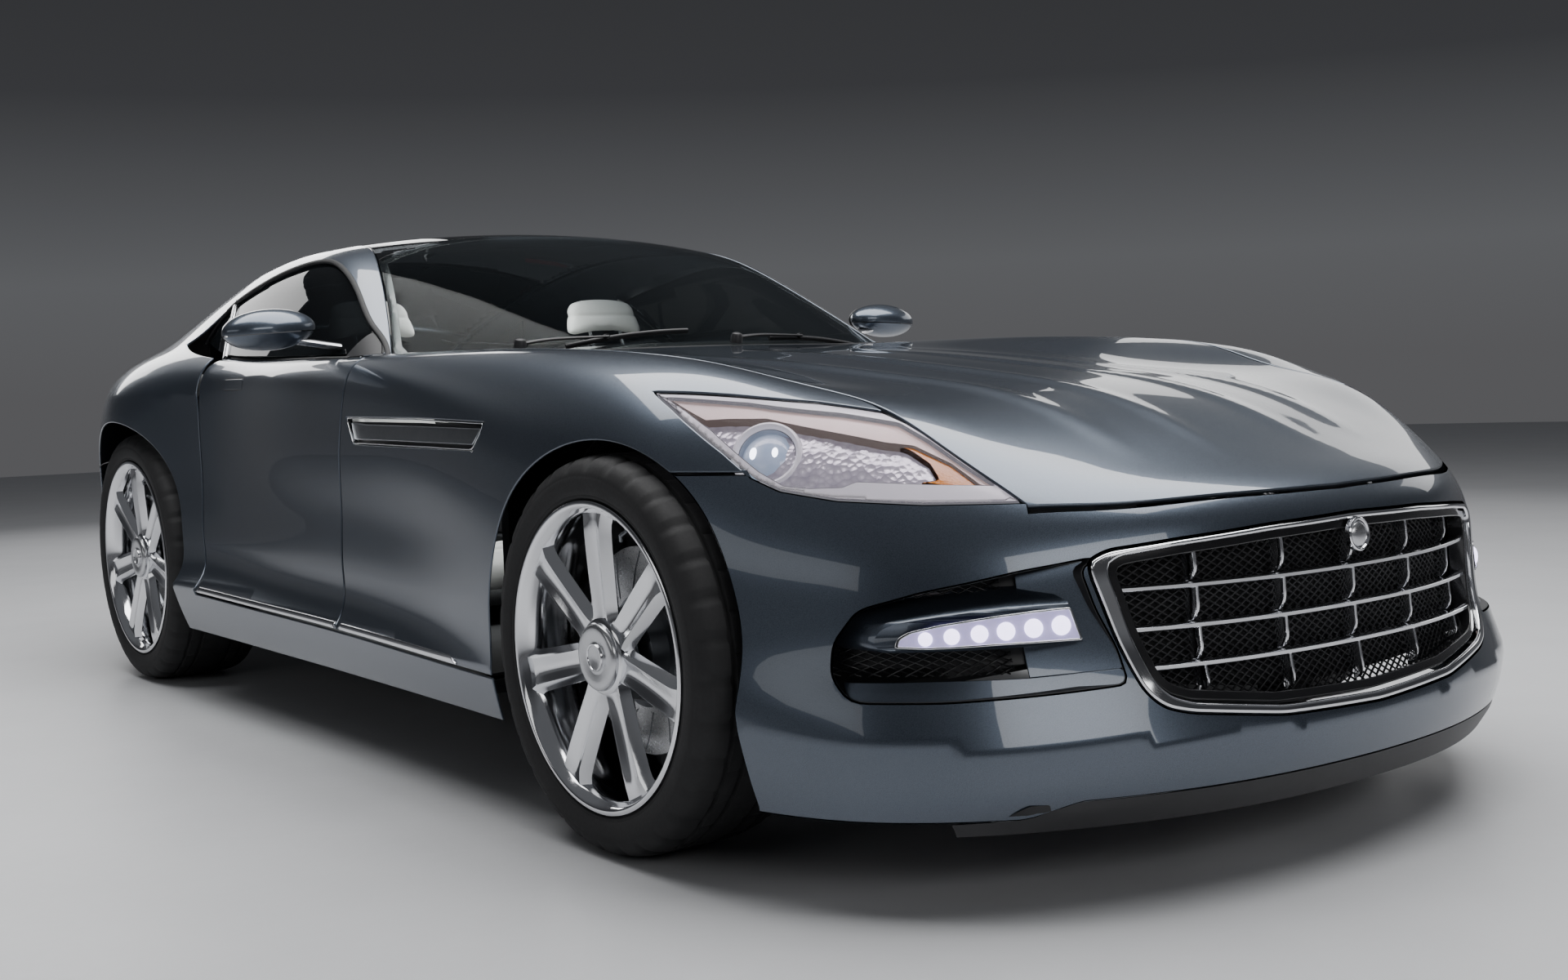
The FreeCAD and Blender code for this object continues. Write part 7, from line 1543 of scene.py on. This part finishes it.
def pad(name, shape, mats, body, fill, cap=.022, vox=.0115, seams=(), repl=(), slot=None, pinned=None):
    """Padded piece: remeshed, swelled by cloth pressure, seams pressed in afterwards. Returns its object."""
    v, f = shape
    o = obj_from(name, v, f, mats=mats)
    m = o.modifiers.new("r", 'REMESH'); m.mode = 'VOXEL'; m.voxel_size = vox
    bpy.context.view_layer.objects.active = o
    for q in bpy.context.selected_objects: q.select_set(False)
    o.select_set(True)
    bpy.ops.object.modifier_apply(modifier="r")
    P0 = np.empty(len(o.data.vertices)*3); o.data.vertices.foreach_get("co", P0); P0 = P0.reshape(-1, 3)
    c = o.modifiers.new("c", 'CLOTH'); s = c.settings
    s.use_pressure = True; s.uniform_pressure_force = 4.0; s.quality = 4; s.tension_stiffness = 22; s.compression_stiffness = 22; s.shear_stiffness = 12; s.bending_stiffness = .6
    s.effector_weights.gravity = 0.0; c.collision_settings.use_collision = False; c.collision_settings.use_self_collision = False
    c.point_cache.frame_start = 1; c.point_cache.frame_end = 14
    for fr in range(1, 15): bpy.context.scene.frame_set(fr)
    dg = bpy.context.evaluated_depsgraph_get(); ev = o.evaluated_get(dg); me = ev.to_mesh()
    P1 = np.empty(len(me.vertices)*3); me.vertices.foreach_get("co", P1); P1 = P1.reshape(-1, 3); ev.to_mesh_clear()
    o.modifiers.remove(c); bpy.context.scene.frame_set(1)
    d = P1-P0; L = np.linalg.norm(d, axis=1, keepdims=True); d *= np.minimum(1, cap/np.maximum(L, 1e-9))
    P = P0+d
    o.data.vertices.foreach_set("co", P.ravel()); o.data.update()
    n_ = 1
    m = o.modifiers.new("s", 'SUBSURF'); m.levels = n_; m.render_levels = n_
    bpy.context.view_layer.objects.active = o
    for q in bpy.context.selected_objects: q.select_set(False)
    o.select_set(True)
    bpy.ops.object.modifier_apply(modifier="s")
    if seams:
        me = o.data; P = np.empty(len(me.vertices)*3); me.vertices.foreach_get("co", P); P = P.reshape(-1, 3)
        N = np.empty(len(me.vertices)*3); me.vertices.foreach_get("normal", N); N = N.reshape(-1, 3)
        P = P-N*sum(s_(P) for s_ in seams)[:, None]
        me.vertices.foreach_set("co", P.ravel()); me.update()
    for p in o.data.polygons: p.use_smooth = True
    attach(o, body)
    if repl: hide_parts(*repl)
    return o
def pad_copy(src, name, mats, body):
    """The same finished pad on the other side of the car."""
    me = src.data; P = np.empty(len(me.vertices)*3); me.vertices.foreach_get("co", P); P = P.reshape(-1, 3)*np.array([-1, 1, 1])
    F = [tuple(p.vertices)[::-1] for p in me.polygons]
    o = obj_from(name, [tuple(q) for q in P], F, mats=mats)
    for p in o.data.polygons: p.use_smooth = True
    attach(o, body)
    return o
def groove(fn, w, d): return lambda P: d*np.exp(-(fn(P)/w)**2)
SX = .37
def crown(x, w): return 1-(x/w)**2
def cushion_fn(cx):
    def g(p):
        x, y, z = p; t = y/.245
        zt = .392-.052*(t*.5+.5)**1.4; b = .020*min(1, max(0, (abs(x)-.105)/.07))
        return (cx+x, .200+y, zt-.052+z*(1.0)+b*(z > -.02)-.010*max(0, -t-.80)/.2)
    return g
BK = [(.440, .335), (.500, .500), (.563, .660), (.612, .790), (.655, .900)]
def back_at(s):
    q = np.array(BK); t = np.linspace(0, 1, len(q)); return np.array([np.interp(s, t, q[:, 0]), np.interp(s, t, q[:, 1])])
def back_fn(cx, dn=0.0):
    def g(p):
        x, u, w = p     # x across, u along, w thickness (forward positive)
        s = u/.305*.5+.5; c = back_at(s); c2 = back_at(min(1, s+.02))-back_at(max(0, s-.02)); c2 /= np.linalg.norm(c2)
        nrm = np.array([-c2[1], c2[0]])
        wd = 1-.16*max(0, s-.55)/.45
        bo = .026*min(1, max(0, (abs(x)-.110)/.06))*(1-.6*s)
        q = c+nrm*(w+dn+(bo if w > 0 else 0)-.006*(w > 0)*(1-abs(x)/.2))
        return (cx+x*wd, q[0], q[1])
    return g
def head_fn(cx):
    def g(p):
        x, u, w = p
        return (cx+x*(1-.12*(u/.055)), .700-w+u*.30, .990+u-.012*(x/.12)**2)
    return g
PADS = {}
def pair(key, name, shape, fill, **k):
    """Right pads are made, left ones copied."""
    sl = "seat_leather"
    if key in PADS: return pad_copy(PADS[key], name, [M["leather"]], "body")
    PADS[key] = pad(name, shape, [M["leather"]], "body", fill, slot=sl, **k); return PADS[key]
def seat_set(cx, sd):
    fx = lambda P: np.minimum(np.abs(np.abs(P[:, 0]-cx)-.112), .05)
    cr = lambda P: np.abs(((P[:, 1]-.0)+.02) % .098-.049)*1.0+np.where(np.abs(P[:, 0]-cx) > .112, .05, 0)
    a = pair("cushion", sd+"_seat_cushion", round_box((.196, .245, .045), .036, (16, 18, 5), cushion_fn(cx)), .85, seams=(groove(fx, .006, .007), groove(cr, .0055, .005)), repl=("seats",))
    fb = lambda P: np.minimum(np.abs(np.abs(P[:, 0]-cx)-.112), .05)+np.where(P[:, 1] > .66, .05, 0)
    cb = lambda P: np.abs((P[:, 2]+.01) % .092-.046)+np.where(np.abs(P[:, 0]-cx) > .108, .05, 0)
    b = pair("back", sd+"_seat_back", round_box((.192, .285, .032), .028, (16, 22, 4), back_fn(cx, .016)), .85, seams=(groove(fb, .006, .006), groove(cb, .0055, .0045)))
    hr = lambda P: np.abs(P[:, 2]-.990)
    c = pair("headrest", sd+"_seat_headrest", round_box((.118, .050, .024), .021, (12, 8, 4), head_fn(cx)), .9, cap=.012, seams=(groove(hr, .005, .003),))
    parts = []
    v, f = round_box((.200, .300, .009), .008, (14, 20, 2), back_fn(cx, -.034)); parts.append((v, f, 0))
    v, f = round_box((.198, .235, .022), .016, (14, 14, 3), lambda p: (cx+p[0], .200+p[1], .272+p[2]-.012*(p[1]/.235))); parts.append((v, f, 0))
    for dx in (-.052, .052):
        parts.append((*tube([(cx+dx, .662, .880), (cx+dx, .685, .935), (cx+dx, .698, .985)], .0058, 10), 1))
    for dx in (-.150, .150):
        parts.append((*tube([(cx+dx, .010, .2215), (cx+dx, .415, .2215)], .011, 8, flat=(1.3, .9), up=(0, 0, 1)), 2))
    join_meshes(sd+"_seat_frame", parts, [M["leather_dark"], M["satin"], M["chassis"]], "body", smooth_angle=40)
seat_set(-SX, "right"); seat_set(SX, "left")
def rear_cush(cx):
    return lambda p: (cx+p[0], 1.030+p[1], .545+p[2]+.014*min(1, max(0, (abs(p[0])-.15)/.06))-.018*(p[1]/.19))
def rear_back(cx):
    def g(p):
        x, u, w = p; s = u/.155
        return (cx+x*(1-.05*s), 1.288+.055*s-w, .705+u+w*.30)
    return g
for cx, sd in ((-.275, "right"), (.275, "left")):
    pair("rear_cushion", sd+"_rear_cushion", round_box((.225, .180, .040), .030, (16, 14, 4), rear_cush(cx)), .8, vox=.0125, seams=(groove(lambda P: np.minimum(np.abs(np.abs(P[:, 0]-cx)-.135), .05), .0065, .007),))
    pair("rear_back", sd+"_rear_back", round_box((.225, .150, .034), .028, (16, 12, 4), rear_back(cx)), .8, vox=.0125, seams=(groove(lambda P: np.minimum(np.abs(np.abs(P[:, 0]-cx)-.135), .05), .0065, .006),))

# dashboard: swept section with a hood over the dials, pale lower half, console with lever
DASH_SEC = [(-.648, .585), (-.648, .790), (-.46, .826), (-.34, .831), (-.262, .821), (-.232, .803), (-.222, .778), (-.228, .745), (-.255, .700), (-.33, .625), (-.42, .565)]
ds = even(np.vstack([round_poly(DASH_SEC, .016), round_poly(DASH_SEC, .016)[:1]]), .016)[:-1]
xs = np.linspace(-.662, .662, 97); v = []
for x in xs:
    bmp = .017*math.exp(-((x-.37)/.15)**4); ctr = .012*math.exp(-(x/.16)**4); edge_ = max(0, (abs(x)-.60)/.062)
    for y, z in ds:
        t = max(0, min(1, (y+.45)/.17))*max(0, min(1, (z-.77)/.05))
        yy = y+(.016*bmp/.017+.01*ctr/.012)*max(0, min(1, (y+.40)/.15))-.02*edge_*max(0, (y+.5)/.3)
        v.append((x, min(yy, -.206), min(z+bmp*t*.25, .8325)-.010*edge_**2*(z > .75)))
md = len(ds); f = grid_faces(97, md, cv=True); f.append(tuple(range(md))[::-1]); f.append(tuple(96*md+k for k in range(md)))
fmi = []
for i in range(96):
    for j in range(md):
        z = .5*(ds[j][1]+ds[(j+1) % md][1]); y = ds[j][0]
        fmi.append(1 if (z < .762 and y > -.60) else 0)
fmi += [0, 0]
dparts = [(v, f, fmi)]
CS_ = [(-.60, .395), (-.60, .60), (-.262, .690), (-.215, .60), (-.13, .525), (.10, .468), (.61, .468), (.632, .450), (.632, .395)]
cs = even(np.vstack([round_poly(CS_, .018), round_poly(CS_, .018)[:1]]), .02)[:-1]
for xw, key in ((.128, 0),):
    v = []; X = [-xw, -xw+.004, -xw+.012, -xw+.03, 0, xw-.03, xw-.012, xw-.004, xw]
    for x in X:
        dz = -.010*(max(0, abs(x)-(xw-.012))/.012)**2
        for y, z in cs: v.append((x, y, z+dz*(z > .44)))
    k = len(cs); f = grid_faces(len(X), k, cv=True); f.append(tuple(range(k))[::-1]); f.append(tuple((len(X)-1)*k+i for i in range(k)))
    dparts.append((v, f, 0))
join_meshes("dashboard_shell", dparts, [M["dash"], M["dash_light"]], "body", ("dashboard",), smooth_angle=38)
tp = []
tp.append((*round_box((.092, .008, .062), .006, (6, 2, 6), lambda p: (p[0], -.226+p[1]-p[2]*-.10, .735+p[2])), 1))
for cx in (-.56, .56, -.19, .19):
    tp.append((*lens_mesh((cx, -.2245, .768), (0, 1, .05), [(.0, .022), (.010, .024), (.013, .028), (.010, .032), (-.006, .032), (-.006, .022)], 28), 2)); tp.append((*dome_mesh((cx, -.2265, .768), (0, 1, .05), [(.005, 0), (.004, .012), (.001, .0215), (-.004, .0215), (-.004, 0)], 20), 0))
for cx in (.305, .435):
    tp.append((*lens_mesh((cx, -.2160, .772), (0, 1, .12), [(.004, .044), (.010, .046), (.011, .050), (.007, .053), (-.012, .053), (-.012, .044)], 40), 2)); tp.append((*dome_mesh((cx, -.2180, .772), (0, 1, .12), [(.003, 0), (.003, .043), (-.006, .043), (-.006, 0)], 36), 1))
tp.append((*dome_mesh((0, .02, .486), (0, .1, 1), [(.012, 0), (.011, .02), (.006, .036), (-.012, .044), (-.012, 0)], 32), 0))
tp.append((*tube([(0, .02, .49), (0, .014, .545), (0, .006, .590)], [.008, .0075, .011], 14), 2)); tp.append((*dome_mesh((0, .004, .598), (0, -.1, 1), [(.022, 0), (.020, .010), (.012, .020), (0, .023), (-.014, .018), (-.016, 0)], 24), 0))
join_meshes("dashboard_trims", tp, [M["leather_dark"], M["trim"], M["satin"]], "body", smooth_angle=38)

# steering wheel
WC, WT = np.array([.37, -.075, .690]), math.radians(22)
wa = np.array([0, math.cos(WT), math.sin(WT)]); wu = np.array([0, -math.sin(WT), math.cos(WT)]); wx = np.array([1.0, 0, 0])
def W3(x, y, h): return WC+wx*x+wu*y+wa*h
ring = [W3(.182*math.cos(t), .182*math.sin(t), 0) for t in np.linspace(0, 2*math.pi, 73)[:-1]]
sp_ = [(*tube(ring, .0150, 14, closed_path=True), 0)]
for a in (math.radians(6), math.radians(174), math.radians(270)):
    P = [W3(r_*math.cos(a), r_*math.sin(a), -.014+.012*(r_/.182)**2) for r_ in np.linspace(.038, .176, 12)]
    sp_.append((*tube(P, [.0088+.003*(1-i/11) for i in range(12)], 14, flat=(.55, 1.75) if abs(math.cos(a)) > .5 else (.55, 1.55), up=wa), 1))
sp_.append((*dome_mesh(WC, wa, [(.014, 0), (.013, .022), (.009, .040), (.001, .051), (-.014, .0525), (-.018, .050), (-.018, 0)], 40, 1.12, up=wu), 0))
sp_.append((*lens_mesh(WC+wa*.013, wa, [(-.002, .0165), (.0016, .0178), (.0022, .0195), (.0016, .0212), (-.002, .0225)], 32), 1))
sp_.append((*tube([W3(0, 0, -.016), W3(0, 0, -.055), W3(0, 0, -.094)], [.030, .024, .018], 24), 2))
join_meshes("steering_wheel_rim", sp_, [M["leather_dark"], M["satin"], M["black"]], "steering_wheel", ("steering_wheel",), smooth_angle=40)

# door cards, side trims, carpet, shelf
DC = [(-.165, .845), (.0, .851), (.30, .857), (.60, .865), (.770, .872), (.765, .80), (.735, .62), (.700, .47), (.668, .345), (.30, .325), (-.15, .325), (-.130, .50), (-.150, .70)]
panel("right_door_card", [loop_yz(round_poly(DC, .03), F_lower, .012)], map_belt(shift(F_lower, .0235)), .007, [M["dash_light"], M["dash_light"]], h=.03, roll=.002, body="right_door", mirror=True)
AR = [(.02, .575), (.42, .590), (.50, .600), (.50, .560), (.42, .545), (.02, .530)]
panel("right_door_armrest", [loop_yz(round_poly(AR, .014), F_lower, .010)], map_belt(shift(F_lower, .040)), .022, [M["leather_dark"], M["leather_dark"]], h=.02, roll=.008, body="right_door", mirror=True)
QT = [(.850, .872), (1.0, .892), (1.20, .912), (1.45, .905), (1.66, .90), (1.66, .822), (1.40, .818), (1.10, .815), (.86, .815)]
panel("right_quarter_trim", [loop_yz(QT, F_body, .016)], map_belt(shift(F_body, .030)), .004, [M["dash_light"], M["dash_light"]], h=.035, roll=.0012, mirror=True)
def slab(name, x0, x1, y0, y1, z, t, mat, nx=10, ny=20, body="body"):
    v, f = round_box(((x1-x0)/2, (y1-y0)/2, t/2), t*.45, (nx, ny, 2), lambda p: ((x0+x1)/2+p[0], (y0+y1)/2+p[1], z+p[2]+.0015*math.sin(p[0]*23)*math.sin(p[1]*17)))
    return join_meshes(name, [(v, f, 0)], [mat], body, smooth_angle=50)
slab("right_floor_carpet", -.79, -.178, -.645, .790, .2125, .010, M["carpet"]); slab("left_floor_carpet", .178, .79, -.645, .790, .2125, .010, M["carpet"])
slab("rear_shelf", -.50, .50, 1.40, 1.70, .866, .010, M["dash"])
# boot side trims, from the boot floor up to the quarter panels
bt = even([(-.540, 1.487), (-.540, 1.90), (-.536, 1.97), (-.528, 2.03), (-.520, 2.055)], .035)
tz = n_cast(np.column_stack([bt[:, 0], bt[:, 1], np.full(len(bt), .50)]), np.tile([0, 0, 1.0], (len(bt), 1)), F_body)[:, 2]-.012
bv = []
for (x, y), z in zip(bt, tz):
    for a, b in ((-.002, .476), (.002, .476), (.002, z), (-.002, z)): bv.append(np.array([x+a, y, b]))
bf = grid_faces(len(bt), 4, cv=True); o_ = (len(bt)-1)*4; bf += [(3, 2, 1, 0), (o_, o_+1, o_+2, o_+3)]
both("right_boot_side_trim", [(bv, bf, 0)], [M["carpet"]], ang=30)


# ---------------------------------------------------------------- floor, light, camera
def stage_floor():
    m = Mat("studio_floor").set(rough=.42, spec=.4)
    n = m.noise(3.0, 4)
    m.to(m.mixc(n, (.50, .505, .52), (.58, .585, .60)), "Base Color"); m.to(m.rng(m.noise(40, 3), .34, .46), "Roughness")
    n = 48; R = 16.0; v = [(0, 0, 0)]; f = []
    for k in range(n): v.append((R*math.cos(2*math.pi*k/n), R*math.sin(2*math.pi*k/n), 0))
    for k in range(n): f.append((0, 1+k, 1+(k+1) % n))
    o = obj_from("studio_floor", v, f, mats=[m.m], smooth=False)
stage_floor()
def area(name, loc, target, sx, sy, power, col=(1, 1, 1)):
    l = bpy.data.lights.new(name, 'AREA'); l.shape = 'RECTANGLE'; l.size, l.size_y = sx, sy; l.energy = power; l.color = col
    o = bpy.data.objects.new(name, l); o.location = loc
    o.rotation_euler = (Vector(target)-Vector(loc)).to_track_quat('-Z', 'Y').to_euler()
    bpy.context.scene.collection.objects.link(o); return o
area("overhead_soft", (.3, -.4, 4.6), (0, 0, 0), 4.2, 7.0, 520)
area("side_right", (-6.2, -1.0, 2.3), (0, 0, .6), 5.5, 1.2, 20)
area("side_left", (6.0, 0.5, 2.6), (0, 0, .5), 6.0, 1.4, 40)
area("front_soft", (-1.2, -6.6, 2.6), (0, -1, .5), 3.6, 1.2, 48)
area("rear_soft", (.5, 6.8, 2.8), (0, 1, .5), 4.5, 1.4, 80)
dome = area("cabin_soft", (0, .56, 1.128), (0, .40, .4), .42, .62, 7)
dome.visible_camera = False; dome.visible_glossy = False
w = bpy.data.worlds.new("studio"); bpy.context.scene.world = w; w.use_nodes = True
nt = w.node_tree; bg = nt.nodes["Background"]
tc = nt.nodes.new("ShaderNodeTexCoord"); sep = nt.nodes.new("ShaderNodeSeparateXYZ"); rp = nt.nodes.new("ShaderNodeValToRGB")
nt.links.new(tc.outputs["Generated"], sep.inputs[0]); nt.links.new(sep.outputs["Z"], rp.inputs[0])
e = rp.color_ramp.elements
e[0].position = 0.0; e[0].color = (.10, .10, .105, 1)
e[1].position = .60; e[1].color = (.10, .103, .11, 1)
for p, c in ((.06, (.11, .113, .12)), (.16, (.045, .046, .05)), (.32, (.028, .029, .032))):
    q = e.new(p); q.color = (*c, 1)
nt.links.new(rp.outputs[0], bg.inputs[0]); bg.inputs[1].default_value = 1.0

CAM_C, YAW, PITCH, ROLL, FOC = (-2.3734, -3.7583, .7987), .6522, -.0674, -.0368, 2121.0
f = Vector((math.sin(YAW)*math.cos(PITCH), math.cos(YAW)*math.cos(PITCH), math.sin(PITCH))); r = Vector((math.cos(YAW), -math.sin(YAW), 0)); u = r.cross(f)
c, s = math.cos(ROLL), math.sin(ROLL)
r, u = c*r+s*u, -s*r+c*u
cd = bpy.data.cameras.new("photo_view"); cd.sensor_width = 36.0; cd.sensor_fit = 'HORIZONTAL'; cd.lens = FOC/1920*36.0; cd.clip_start = .05; cd.clip_end = 80
cam = bpy.data.objects.new("photo_view", cd); bpy.context.scene.collection.objects.link(cam)
cam.matrix_world = Matrix(((r.x, u.x, -f.x, CAM_C[0]), (r.y, u.y, -f.y, CAM_C[1]), (r.z, u.z, -f.z, CAM_C[2]), (0, 0, 0, 1)))
bpy.context.scene.camera = cam
